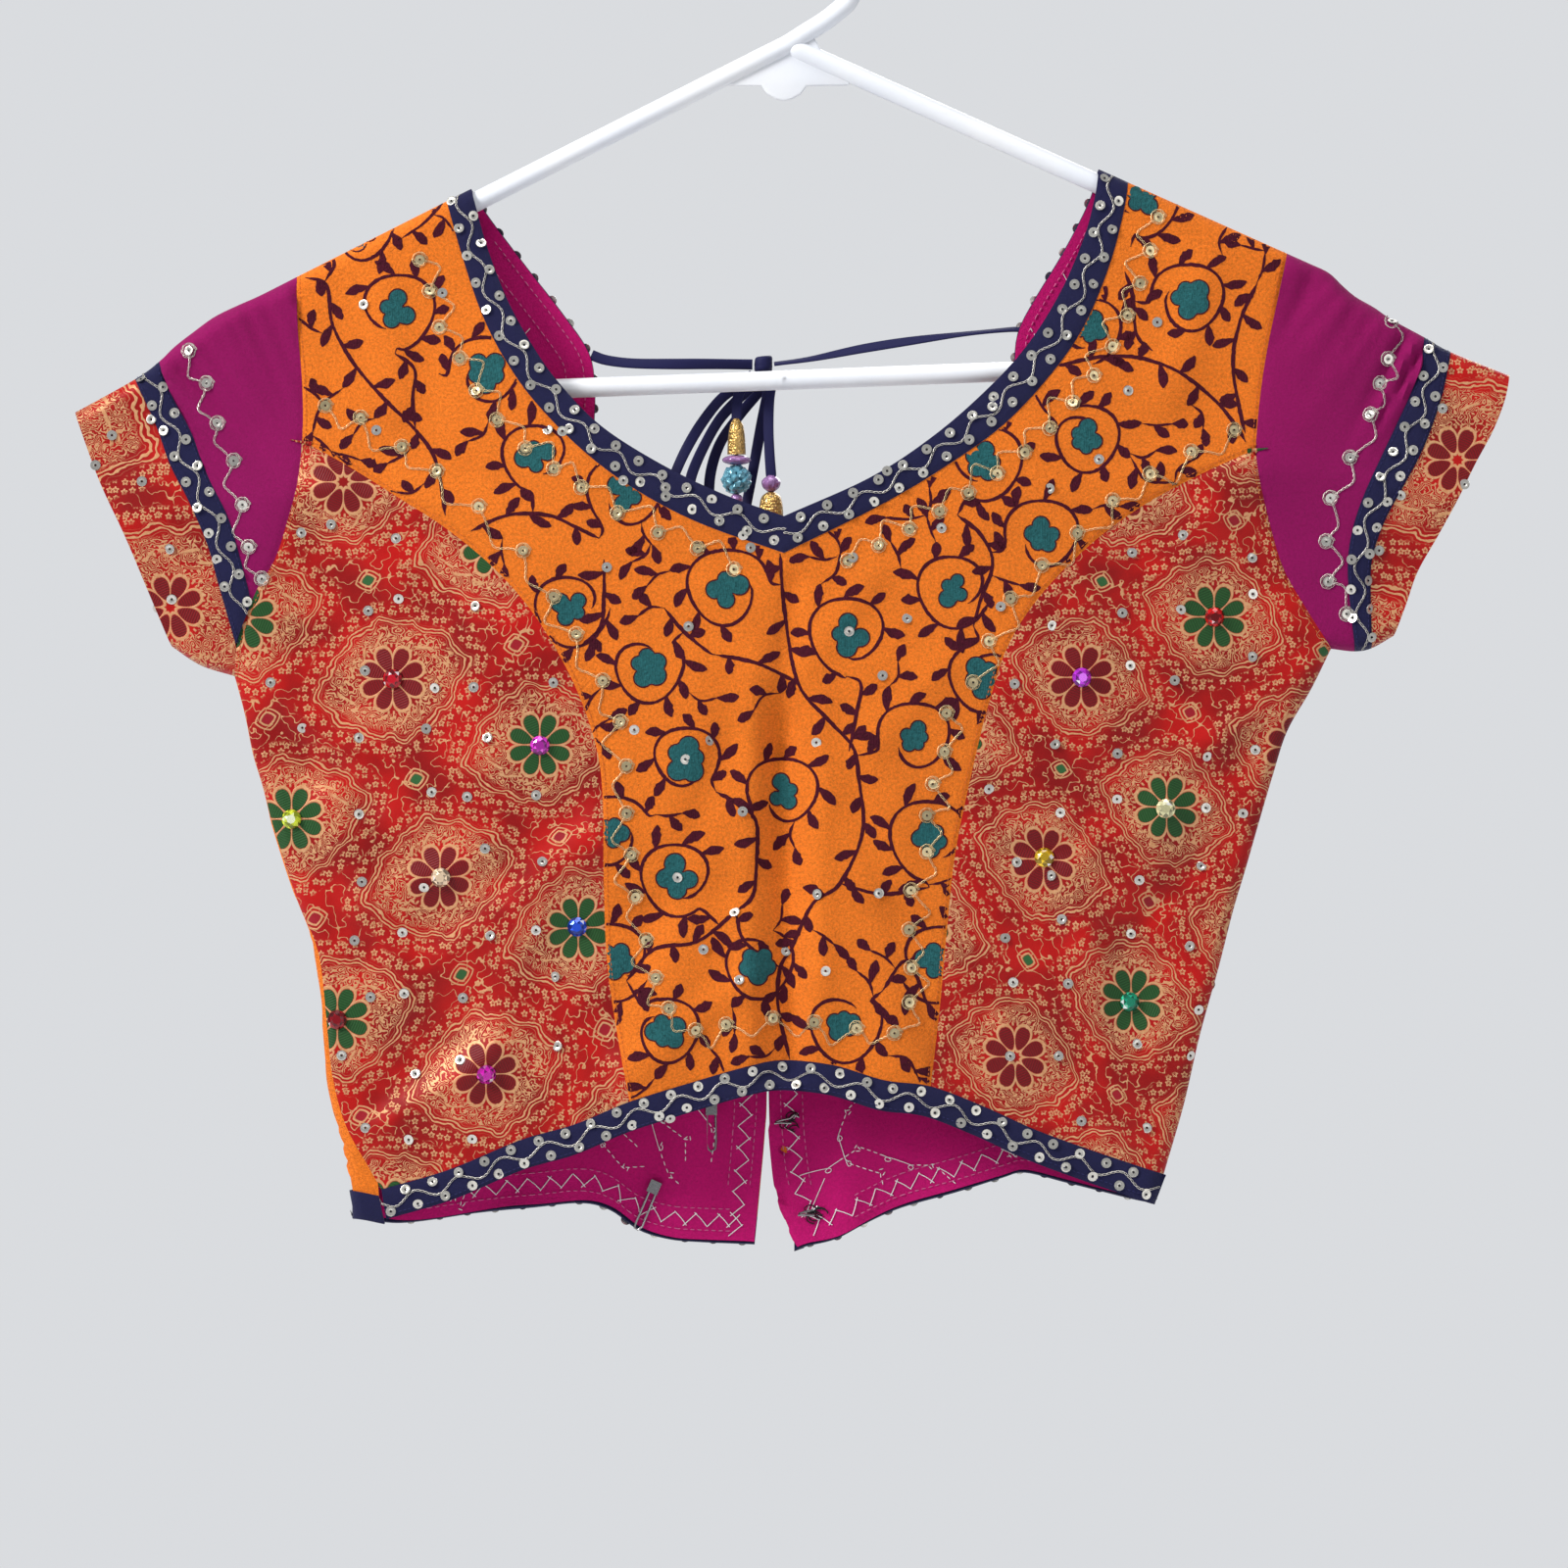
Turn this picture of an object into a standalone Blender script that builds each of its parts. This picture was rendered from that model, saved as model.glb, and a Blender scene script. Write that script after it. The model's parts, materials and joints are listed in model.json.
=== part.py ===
"""A choli blouse hanging on a white moulded hanger.

Metres, +Z up. The origin is the inside top of the hook. The front faces -Y, and +X is to the right of
someone who looks at the front. All sizes below are in millimetres and are scaled when a mesh is made.
"""

import math

import bmesh
import bpy
import numpy as np
from mathutils import Matrix, Vector
from mathutils.bvhtree import BVHTree

MM = 0.001
GAP = 0.3
SLEEVE_SEAM, NECK_SEAM = 0.24, 0.35

# Hanger
TUBE_R = 3.8
TUBE_STEP = 0.06
HOOK_R = 28.0
HOOK_MIDDLE = (0.4, -24.3)
HOOK_FROM_DEG, HOOK_TO_DEG = -35.0, 205.0
APEX = (0.4, -56.2)
LEFT_SLOPE, RIGHT_SLOPE = 0.505, 0.4476
BAR_MIDDLE_Z, BAR_SLOPE = -186.2, 0.038
END_R = 17.0
WEB_THICK = 2.6

# Cloth
FRONT_WALL = 1.2
BACK_WALL = 1.0
LINING_WALL = 1.0
BAND_LIFT = 0.5
BAND_WIDTH = 11.0
BACK_NECK_WIDTH = 9.0
HEM_BAND_WIDTH, HEM_SLANT = 11.6, (1.9, -4.3)
SHOULDER_OVER_ARM = FRONT_WALL + 0.35 + TUBE_R
ROLL_R = 5.8
ROLL_STEPS = (0.8, 3.6)
FRONT_ROLL, BACK_ROLL = 5.7, 6.9
FRONT_SWELL, BACK_SWELL = 11.0, 8.0
SWELL_REACH = 150.0
LINING_CLEAR = 7.0
LINING_IN, LINING_EASE = 1.3, 0.25
LINING_SIDE_EASE, LINING_RIM_EASE = 0.1, 0.4

# Steps of the walls' grids
NECK_STEPS = 11
HEM_STEPS = (10, 8, 8, 10)

# Tie and trimmings
TIE_R = 1.7
GEM_R, GEM_HIGH, GEM_SEAT = 3.7, 2.6, 0.45
WIRE_R = 0.45

# Soft folds: face, start x, start z, end x, end z, half width, height (out is positive)
FOLDS = (
    ("front", -1, -322, -1, -452, 9, -3.6),
    ("front", -128, -345, -112, -300, 40, 3.0),
    ("front", 118, -335, 102, -300, 38, 3.0),
    ("front", -146, -424, -72, -362, 10, 2.6),
    ("front", -160, -462, -92, -410, 11, -2.0),
    ("front", -32, -300, -48, -452, 13, 1.8),
    ("front", 30, -300, 42, -450, 13, 1.8),
    ("front", 86, -368, 112, -366, 5, -1.8),
    ("front", 162, -330, 118, -402, 10, 2.2),
    ("front", 140, -420, 104, -462, 12, -1.8),
    ("front", -176, -196, -128, -226, 10, -1.2),
    ("front", 172, -190, 122, -222, 10, -1.2),
    ("back", -60, -350, -78, -508, 16, 2.6),
    ("back", -118, -352, -132, -505, 13, -2.0),
    ("back", 52, -350, 46, -512, 15, 2.4),
    ("back", 122, -350, 116, -500, 13, 2.8),
    ("back", -150, -190, -118, -240, 12, -1.5),
    ("back", 148, -185, 116, -236, 12, -1.5),
)

# The right back tail has one pleat: left of this line it lies nearer the front
PLEAT_X, PLEAT_TOP_Z, PLEAT_STEP, PLEAT_SOFT = 84.0, -452.0, 3.6, 4.0

COLOURS = {
    "orange": (0.86, 0.22, 0.032, 1.0),
    "brocade": (0.56, 0.02, 0.015, 1.0),
    "magenta": (0.30, 0.005, 0.11, 1.0),
    "lining": (0.42, 0.006, 0.14, 1.0),
    "navy": (0.02, 0.02, 0.085, 1.0),
    "plastic": (0.82, 0.84, 0.87, 1.0),
    "metal": (0.62, 0.60, 0.57, 1.0),
    "gold_beads": (0.62, 0.40, 0.09, 1.0),
    "glass_beads": (0.10, 0.42, 0.52, 1.0),
    "crystal": (0.50, 0.34, 0.66, 1.0),
    "stone": (0.55, 0.30, 0.35, 1.0),
}


def left_arm_z(x):
    return APEX[1] - LEFT_SLOPE * (APEX[0] - x)


def right_arm_z(x):
    return APEX[1] - RIGHT_SLOPE * (x - APEX[0])


def shoulder_left_z(x):
    return left_arm_z(x) + SHOULDER_OVER_ARM * math.hypot(1, LEFT_SLOPE)


def shoulder_right_z(x):
    return right_arm_z(x) + SHOULDER_OVER_ARM * math.hypot(1, RIGHT_SLOPE)


# Where the sleeve's pieces end on the armhole, and how its last steps are cut
UNDERARM_CORNERS = {"left": ((-206.9, -272.8), (-213.0, -288.6)),
                    "right": ((208.2, -285.6), (210.0, -288.4))}
LAST_STEP, LAST_SHARE, CORNER_CUT = 3.5, 0.3, 0.2

# Outlines, each from top to bottom or from the neck outwards. Columns: x, z
EDGES = {
    "top_left": [(x, shoulder_left_z(x)) for x in (-122, -131.5, -155, -172, -189.6, -204)]
    + [(-212.5, -157.2), (-221.5, -161.6), (-229, -167.0), (-237, -173.2), (-243, -179.0),
       (-252.3, -185.8), (-275.5, -198.7)],
    "top_right": [(x, shoulder_right_z(x)) for x in (121.2, 132.6, 148, 170, 194.2, 203)]
    + [(210.5, -144.6), (216, -149.8), (221, -154.0), (228, -158.0), (235, -162.8), (247.4, -169.5),
       (257.6, -175.2), (280.4, -184.4)],
    "armhole_left": [(-189.6, shoulder_left_z(-189.6)), (-188.9, -168), (-187.3, -187.3), (-187.0, -206.7),
                     (-188.9, -226.1), (-192.7, -240.5), (-197.6, -255.4), (-204.4, -266.8),
                     (-208.9, -277.5), (-212.4, -288.0), (-213.8, -301.0)],
    "armhole_right": [(194.2, shoulder_right_z(194.2)), (190.4, -155), (187.3, -169.5), (184.7, -183.9),
                      (182.4, -203.3), (182.0, -218.1), (186.2, -238.3), (192.3, -258.8),
                      (200.6, -273.6), (211.3, -290.4)],
    "fold_left": [(-213.8, -301.0), (-209.8, -316.2), (-206.7, -331.4), (-202.9, -344), (-199.0, -360.2),
                  (-192.3, -381.5), (-184.7, -400.9), (-180.5, -426), (-178.6, -456), (-173.4, -478.4),
                  (-169.9, -495.9), (-168.0, -513.0)],
    "fold_right": [(211.3, -290.4), (203.7, -305.9), (194.4, -322.2), (188.9, -339), (183.2, -358.3),
                   (178.2, -375.8), (173.3, -392.2), (167.6, -414.6), (160.6, -439.7), (154.3, -467),
                   (147.6, -490.2), (143.0, -505.8)],
    "side_seam_left": [(-213.5, -301.0), (-209.5, -316.2), (-206.4, -331.4), (-202.6, -344),
                       (-198.4, -360.2), (-188.9, -389), (-181.0, -408.5), (-177.8, -436),
                       (-175.6, -456), (-170.6, -474.6), (-161.6, -491.0), (-156.6, -499.7)],
    "under_left": [(-213.8, -301.0), (-227.0, -296.8), (-238.0, -289.6)],
    "under_right": [(211.3, -290.4), (220.4, -291.4), (227.0, -290.2), (235.6, -285.4)],
    "brocade_left": [(-187.2, -210.1), (-169.1, -220), (-149.7, -232.2), (-130.3, -244.8), (-111, -261.2),
                     (-95.4, -280.0), (-81.7, -304.4), (-73.0, -329.5), (-70.6, -352), (-70.4, -380),
                     (-69.2, -410.4), (-66.1, -434), (-60.4, -465.5)],
    "brocade_right": [(182.0, -213.2), (160, -223.1), (136.5, -236.0), (115.5, -251.9), (97.0, -271.3),
                      (85.4, -289.8), (78.7, -310.1), (73.7, -329.5), (65.6, -367.8), (62.0, -400.9),
                      (59.3, -430.2), (55.9, -459)],
    "neck_outer_left": [(-131.5, shoulder_left_z(-131.5)), (-125.6, -137.6), (-118.0, -160.0),
                        (-109.1, -177.8), (-97.0, -195.0), (-77.5, -214.8), (-56.6, -230.0),
                        (-33.0, -242.2), (-0.8, -253.6)],
    "neck_inner_left": [(-122.0, shoulder_left_z(-122)), (-115.4, -135.7), (-107.2, -156.6),
                        (-97.7, -173.7), (-88.0, -187.4), (-71.5, -204.4), (-48.0, -219.4),
                        (-24.0, -231.0), (-0.8, -239.4)],
    "neck_outer_right": [(132.6, shoulder_right_z(132.6)), (130.8, -121.0), (125.4, -141.4),
                         (115.8, -164.6), (103.7, -182.8), (84.9, -203.2), (62.6, -219.5),
                         (36.0, -235.4), (-0.8, -253.6)],
    "neck_inner_right": [(121.2, shoulder_right_z(121.2)), (119.4, -116.3), (115.0, -132.2),
                         (105.7, -153.4), (92.6, -174.0), (76.3, -191.6), (56.6, -208.6),
                         (32.6, -224.4), (-0.8, -239.4)],
    "centre_front": [(-0.8, -253.6), (-0.8, -320), (-0.8, -380), (-0.8, -449.5)],
    "hem_top": [(-156.6, -499.7), (-130.3, -492.0), (-103, -480.6), (-81.7, -474.4), (-60.4, -465.5),
                (-33.4, -457.1), (-14.1, -451.6), (-0.8, -449.5), (18.6, -451.4), (38, -457.2),
                (55.9, -459.6), (76.8, -467.6), (96.1, -476.4), (115.5, -483.6), (134.9, -490.2),
                (147.2, -494.2)],
    "back_edge_left": [(-122.0, shoulder_left_z(-122)), (-115.4, -122.4), (-101.1, -141.4),
                       (-86.5, -160.2), (-76.4, -175.4), (-74.2, -190), (-74.4, -206), (-72.4, -230),
                       (-64.6, -259.2), (-48.3, -289.6), (-27.4, -310.5), (-7.2, -321.9)],
    "back_edge_right": [(121.2, shoulder_right_z(121.2)), (117.6, -116.6), (107.9, -135.7),
                        (96.8, -154.0), (90.2, -167.0), (88.6, -181), (87.8, -204.2), (83.6, -236.4),
                        (71.4, -270.6), (50.5, -297.2), (22, -314.3), (-6.4, -321.9)],
    "centre_back_left": [(-7.2, -321.9), (-7.2, -390), (-7.4, -460.9), (-8.2, -478.4), (-9.9, -497.8),
                         (-12.2, -522.1)],
    "centre_back_right": [(-6.4, -321.9), (-6.4, -390), (-6.2, -461.3), (-4.2, -490), (-0.8, -506.5),
                          (6.8, -522.9)],
    "back_hem_left": [(-180.6, -513.2), (-168.2, -511.2), (-149.7, -513.4), (-120.5, -509.6),
                      (-99.2, -507.7), (-80, -506.0), (-68.4, -508.8), (-57.5, -516.4), (-46, -520),
                      (-33.4, -521.2), (-12.2, -522.1)],
    "back_hem_right": [(143.0, -505.4), (135.3, -504.3), (110, -498.2), (93, -494.0), (84, -496.0),
                       (65.4, -501.8), (44.5, -507.9), (30.4, -514.1), (19, -520.0), (6.8, -522.9)],
    "band_in_left": [(-243, -179.0), (-237.9, -192.3), (-230.2, -206.7), (-223.4, -224.2),
                     (-215.8, -239.8), (-210.9, -256.5), (-208.0, -267.5)],
    "band_out_left": [(-252.3, -185.8), (-244.0, -203.7), (-238.3, -219.3), (-230.7, -234.1),
                      (-223.8, -250.4), (-219.8, -264.9), (-213.0, -288.6)],
    "cuff_hem_left": [(-275.5, -198.7), (-266, -225), (-256, -246.4), (-246.6, -269.0), (-238, -289.6)],
    "band_in_right": [(247.4, -169.5), (245.5, -181.3), (241.7, -191.9), (236, -204.3), (229.9, -217),
                      (223.8, -230.3), (219.3, -243.8), (217.4, -256.9), (218.1, -270.8),
                      (220.4, -291.4)],
    "band_out_right": [(257.6, -175.2), (254.4, -190.8), (250.4, -203.3), (245.3, -215.6),
                       (238.6, -228.0), (231.4, -241.6), (226.8, -256.0), (226.4, -270.7),
                       (227.0, -290.2)],
    "cuff_hem_right": [(280.4, -184.4), (278.2, -194.6), (273.6, -206.3), (266.8, -218.9),
                       (260.4, -231.8), (252.4, -246.6), (244.6, -260.5), (240.2, -273), (235.6, -285.4)],
}

# Stones: x, z. The first seven are on the left panel
STONES = (
    (-152.0, -302.1), (-95.0, -327.9), (-191.4, -356.4), (-133.4, -378.9), (-80.6, -397.9),
    (-173.7, -434.0), (-115.9, -454.9),
    (114.0, -301.7), (165.7, -278.2), (146.7, -352.3), (99.8, -371.3), (133.0, -427.1),
)

# Routes of the tie, as points from its exit to its end. Columns: x, y, z
TIE_ROUTES = {
    "tie_span_left": [(-75.6, 9.8, -176.0), (-70, 9.0, -178.0), (-60, 8.2, -179.3), (-45, 7.8, -179.6),
                      (-30, 7.6, -179.6), (-13.0, 7.6, -179.8)],
    "tie_span_right": [(-4.6, 7.6, -179.6), (10, 7.6, -177.6), (30, 7.8, -173.6), (50, 8.2, -170.4),
                       (70, 8.8, -167.8), (86, 9.8, -166.2), (91.4, 10.4, -166.0)],
    "bow_loop_left": [(-11.4, 9.6, -184.2), (-17, 10.0, -187.4), (-25, 10.2, -192.8), (-32.4, 9.6, -202),
                      (-38.4, 8.6, -212), (-43, 7.4, -222), (-47.4, 6.2, -234), (-50.4, 5.4, -245),
                      (-48, 5.0, -252.6), (-42, 5.0, -250), (-39.8, 5.4, -241), (-38.2, 6.2, -231),
                      (-36.4, 7.2, -222), (-31.6, 8.8, -211), (-25.8, 10.8, -201), (-19.0, 13.2, -193.4),
                      (-13.8, 14.0, -188.4), (-10.6, 13.6, -184.4)],
    "bow_loop_right": [(-5.8, 10.6, -184.2), (-7.0, 12.0, -190), (-9.0, 13.4, -200), (-11.6, 14.4, -214),
                       (-14.6, 14.8, -230), (-18.0, 14.8, -244), (-23.6, 14.4, -251.4),
                       (-28.4, 14.4, -246), (-29.8, 14.8, -234), (-29.4, 15.6, -222),
                       (-25.6, 16.8, -210), (-18.0, 17.8, -199), (-10.6, 18.0, -190),
                       (-7.0, 15.6, -184.8)],
    "tie_end_1": [(-12.6, 5.9, -183.6), (-15.6, 5.9, -186.6), (-18.0, 5.9, -190.4), (-19.0, 5.8, -195),
                  (-19.2, 5.8, -200.6)],
    "tie_end_2": [(-5.6, 6.4, -184.0), (-5.8, 6.2, -188), (-6.6, 6.1, -194), (-6.8, 6.0, -204),
                  (-6.4, 6.0, -214), (-5.8, 6.0, -222.6)],
}
KNOT_MIDDLE, KNOT_R = (-8.8, 9.2, -179.8), (3.6, 4.6, 3.4)
KNOT_TURNS_DEG = (-64, -34, 0, 34, 64)

# Tassels under the tie's ends. Profile columns: height under the end, radius
TASSELS = (
    ("tassel_1_cone", "tie_end_1", "gold_beads", ((-GAP, 1.2), (-3.0, 2.6), (-8.0, 3.3), (-14.2, 3.6))),
    ("tassel_1_beads", "tie_end_1", "glass_beads",
     ((-14.5, 4.4), (-16.0, 5.7), (-17.8, 5.4), (-19.6, 5.2), (-24.0, 6.3), (-28.2, 5.6), (-30.6, 4.0),
      (-33.6, 2.0), (-36.0, 0.9))),
    ("tassel_2_crystal", "tie_end_2", "crystal", ((-GAP, 1.2), (-2.4, 3.6), (-5.0, 3.2), (-6.6, 1.4))),
    ("tassel_2_dome", "tie_end_2", "gold_beads",
     ((-6.9, 1.6), (-8.6, 3.6), (-12.0, 4.5), (-17.5, 4.7), (-20.5, 3.6), (-23.4, 1.4))),
)

# Fasteners on the lining. Hook columns: x and z from its place, height above the cloth
HOOKS = (("hook_upper", 1.6, -474.4), ("hook_lower", 10.6, -510.0))
HOOK_WIRE = ((3.6, 2.0, 0), (1.6, 3.0, 0), (0, 1.6, 0), (-3.4, 0.8, 0.2), (-5.4, 0.2, 0.9),
             (-5.6, -0.4, 2.0), (-3.2, -0.2, 2.5), (0.6, -0.4, 2.3))
# Safety pins: name, wire as x and z, cap's middle and its turn in degrees
PINS = (
    ("safety_pin_1", ((-30.6, -470.0), (-30.8, -482.4), (-30.2, -484.9), (-28.9, -485.9), (-27.5, -484.7),
                      (-27.2, -482.0), (-27.4, -470.0)), (-29.0, -469.0, 0)),
    ("safety_pin_2", ((-52.8, -500.6), (-58.4, -513.6), (-58.9, -515.4), (-57.6, -516.2), (-55.9, -514.9),
                      (-55.2, -513.2), (-50.2, -501.2)), (-51.2, -499.6, 24)),
)
PIN_CAP = (4.4, 2.2, 5.0)


def clear_scene():
    for obj in list(bpy.data.objects):
        bpy.data.objects.remove(obj, do_unlink=True)


def new_collection(name):
    group = bpy.data.collections.new(name)
    bpy.context.scene.collection.children.link(group)
    return group


def material(name, metallic=0.0, roughness=0.7):
    made = bpy.data.materials.get(name) or bpy.data.materials.new(name)
    made.use_nodes = True
    shader = made.node_tree.nodes["Principled BSDF"]
    shader.inputs["Base Color"].default_value = COLOURS[name]
    shader.inputs["Metallic"].default_value = metallic
    shader.inputs["Roughness"].default_value = roughness
    return made


def smooth_line(points, per_span=8):
    """A Catmull-Rom curve through the points, as an array of close points."""
    p = np.array(points, float)
    p = np.vstack([2 * p[0] - p[1], p, 2 * p[-1] - p[-2]])
    t = (np.arange(per_span) / per_span)[:, None]
    out = []
    for a, b, c, d in zip(p[:-3], p[1:-2], p[2:-1], p[3:]):
        out.append(0.5 * (2 * b + (c - a) * t + (2 * a - 5 * b + 4 * c - d) * t**2
                          + (3 * b - a - 3 * c + d) * t**3))
    return np.vstack(out + [p[-2:-1]])


LINES = {name: smooth_line(points) for name, points in EDGES.items()}


def reach(line):
    """The distance along a line at each of its points."""
    return np.concatenate([[0.0], np.cumsum(np.linalg.norm(np.diff(line, axis=0), axis=1))])


def at(line, distances):
    """Points on a line at the given distances along it."""
    run = reach(line)
    return np.column_stack([np.interp(distances, run, line[:, k]) for k in range(line.shape[1])])


def nearest_run(line, point):
    """How far along a line the place nearest to the given point is."""
    along = np.diff(line, axis=0)
    lengths = np.linalg.norm(along, axis=1)
    t = np.clip(((point - line[:-1]) * along).sum(axis=1) / lengths**2, 0, 1)
    off = np.linalg.norm(line[:-1] + t[:, None] * along - point, axis=1)
    best = int(np.argmin(off))
    return lengths[:best].sum() + t[best] * lengths[best]


def stretch(line, start=None, end=None):
    """The part of a line between two of its points, given by places near them."""
    run = reach(line)
    a = 0.0 if start is None else nearest_run(line, start)
    b = run[-1] if end is None else nearest_run(line, end)
    inner = [r for r in run if min(a, b) < r < max(a, b)]
    stops = [a] + (inner if a < b else inner[::-1]) + [b]
    return at(line, stops)


def stops(length, steps, roll_start=False, roll_end=False):
    """Distances along an edge: even steps, with close ones where the cloth rolls over a fold."""
    near = [0.0] + (list(ROLL_STEPS) if roll_start else [])
    far = ([length - s for s in reversed(ROLL_STEPS)] if roll_end else []) + [length]
    even = np.linspace(near[-1], far[0], steps + 1)[1:-1]
    return np.array(near + list(even) + far)


def edge(*stretches):
    """Points of an edge made of stretches: (line, steps, roll at its start, roll at its end)."""
    out = []
    for line, steps, roll_start, roll_end in stretches:
        points = at(line, stops(reach(line)[-1], steps, roll_start, roll_end))
        out.append(points if not out else points[1:])
    return np.vstack(out)


CLOSED_EDGES = ("top_left", "top_right", "under_left", "under_right", "fold_left", "fold_right")


def fold_distance(points):
    """How far each point is, in the plane of the front, from the nearest folded edge."""
    best = np.full(len(points), 1e9)
    for name in CLOSED_EDGES:
        line = LINES[name]
        for a, b in zip(line[:-1], line[1:]):
            along = b - a
            t = np.clip(((points - a) @ along) / max(along @ along, 1e-12), 0, 1)
            best = np.minimum(best, np.linalg.norm(points - a - t[:, None] * along, axis=1))
    return best


def creases(points, face):
    """The height of the soft folds at each point."""
    total = np.zeros(len(points))
    for where, x0, z0, x1, z1, half_width, height in FOLDS:
        if where != face:
            continue
        a, along = np.array([x0, z0], float), np.array([x1 - x0, z1 - z0], float)
        t = np.clip(((points - a) @ along) / (along @ along), 0, 1)
        far = np.linalg.norm(points - a - t[:, None] * along, axis=1)
        total += height * np.exp(-((far / half_width) ** 2))
    if face == "back":
        low = np.clip((PLEAT_TOP_Z - points[:, 1]) / 30.0, 0, 1)
        right = 1 / (1 + np.exp(-(points[:, 0] - PLEAT_X) / PLEAT_SOFT))
        total += PLEAT_STEP * low * (right - 0.5) * (points[:, 0] > 0)
    return total


def depth(points, face):
    """How far the outer cloth stands from the hanger's plane."""
    d = fold_distance(points)
    roll, swell = (FRONT_ROLL, FRONT_SWELL) if face == "front" else (BACK_ROLL, BACK_SWELL)
    t = np.clip(d / SWELL_REACH, 0, 1)
    rolled = roll * np.sqrt(1 - (1 - np.minimum(d, ROLL_R) / ROLL_R) ** 2)
    return rolled + swell * t * t * (3 - 2 * t) + creases(points, face) * np.clip(d / 20.0, 0, 1)


def lift(grid, face, apart=GAP / 2):
    """A flat grid of (x, z) points, moved out to the cloth's place in space."""
    flat = grid.reshape(-1, 2)
    y = np.maximum(depth(flat, face), apart) * (-1 if face == "front" else 1)
    return np.column_stack([flat[:, 0], y, flat[:, 1]]).reshape(*grid.shape[:2], 3)


def patch(start, end, steps, top=None, bottom=None, roll_start=False, roll_end=False):
    """A grid of rows between two edges. The first and last rows follow the top and bottom lines."""
    rows = []
    for a, b in zip(start, end):
        s = stops(np.linalg.norm(b - a), steps, roll_start, roll_end) / max(np.linalg.norm(b - a), 1e-9)
        rows.append(a + s[:, None] * (b - a))
    grid = np.array(rows)
    share = (reach(start) / reach(start)[-1] + reach(end) / reach(end)[-1]) / 2
    for line, row, weight in ((top, 0, 1 - share), (bottom, -1, share)):
        if line is not None:
            shift = at(line, stops(reach(line)[-1], steps, roll_start, roll_end)) - grid[row]
            grid = grid + weight[:, None, None] * shift[None]
    return grid


def draw_in(grid, sides="tblr", amount=GAP / 2):
    """The grid with its named border rows and columns moved in, square to the border, by half a seam gap."""
    out = grid.copy()
    borders = {"t": ((0, slice(None)), (1, slice(None))), "b": ((-1, slice(None)), (-2, slice(None))),
               "l": ((slice(None), 0), (slice(None), 1)), "r": ((slice(None), -1), (slice(None), -2))}
    for side in sides:
        border, inner = (grid[k] for k in borders[side])
        along = np.gradient(border, axis=0)
        square = np.column_stack([-along[:, 1], along[:, 0]])
        square /= np.maximum(np.linalg.norm(square, axis=1, keepdims=True), 1e-9)
        inward = np.sign(((inner - border) * square).sum())
        out[borders[side][0]] += amount * inward * square
    return out


def grid_faces(rows, columns, ring=False):
    """The triangles of a grid, all cut the same way. A ring joins its last row to its first."""
    faces = []
    for i in range(rows if ring else rows - 1):
        for j in range(columns - 1):
            a, b = i * columns + j, (i + 1) % rows * columns + j
            faces += [(a, a + 1, b + 1), (a, b + 1, b)]
    return faces


def shell(name, group, blocks, wall, colour, out_from=(0, 0, 0), raised=0.0, keep=None, ring=False):
    """A closed wall from blocks of points on its outer face, with its thickness inwards.

    out_from is a place inside the garment that the outer face looks away from. keep limits the inner
    face to one side of the hanger's plane, so that two walls never cross at a seam.
    """
    flat = bmesh.new()
    for block in blocks:
        verts = [flat.verts.new(p) for p in block.reshape(-1, 3)]
        for face in grid_faces(block.shape[0], block.shape[1], ring):
            flat.faces.new([verts[k] for k in face])
    bmesh.ops.remove_doubles(flat, verts=flat.verts, dist=1e-4)
    bmesh.ops.recalc_face_normals(flat, faces=flat.faces)
    flat.normal_update()
    away = sum((f.calc_center_median() - Vector(out_from)).dot(f.normal) * f.calc_area() for f in flat.faces)
    if away < 0:
        bmesh.ops.reverse_faces(flat, faces=flat.faces)
        flat.normal_update()
    flat.verts.index_update()
    outer = [v.co + raised * v.normal for v in flat.verts]
    inner = []
    for v in flat.verts:
        p = v.co - wall * v.normal
        if keep == "front":
            p.y = min(p.y, -GAP / 2)
        if keep == "back":
            p.y = max(p.y, GAP / 2)
        inner.append(p)
    count = len(outer)
    faces = [[v.index for v in f.verts] for f in flat.faces]
    closed = list(faces) + [[k + count for k in reversed(f)] for f in faces]
    for e in flat.edges:
        if e.is_boundary:
            loop = e.link_loops[0]
            a, b = loop.vert.index, loop.link_loop_next.vert.index
            closed.append([b, a, a + count, b + count])
    flat.free()
    mesh = bpy.data.meshes.new(name)
    mesh.from_pydata([p * MM for p in outer + inner], [], closed)
    mesh.update()
    return add(name, mesh, group, colour)


def add(name, mesh, group, colour, metallic=0.0, roughness=0.7):
    obj = bpy.data.objects.new(name, mesh)
    group.objects.link(obj)
    obj.data.materials.append(material(colour, metallic, roughness))
    return obj


def tube(name, points, radius, group, colour, sides_level=2, metallic=0.0):
    """A round tube along a line, as a curve object."""
    curve = bpy.data.curves.new(name, "CURVE")
    curve.dimensions = "3D"
    curve.bevel_depth = radius * MM
    curve.bevel_resolution = sides_level
    curve.use_fill_caps = True
    spline = curve.splines.new("POLY")
    spline.points.add(len(points) - 1)
    for point, place in zip(spline.points, points):
        point.co = (place[0] * MM, place[1] * MM, place[2] * MM, 1.0)
    return add(name, curve, group, colour, metallic)


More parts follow.
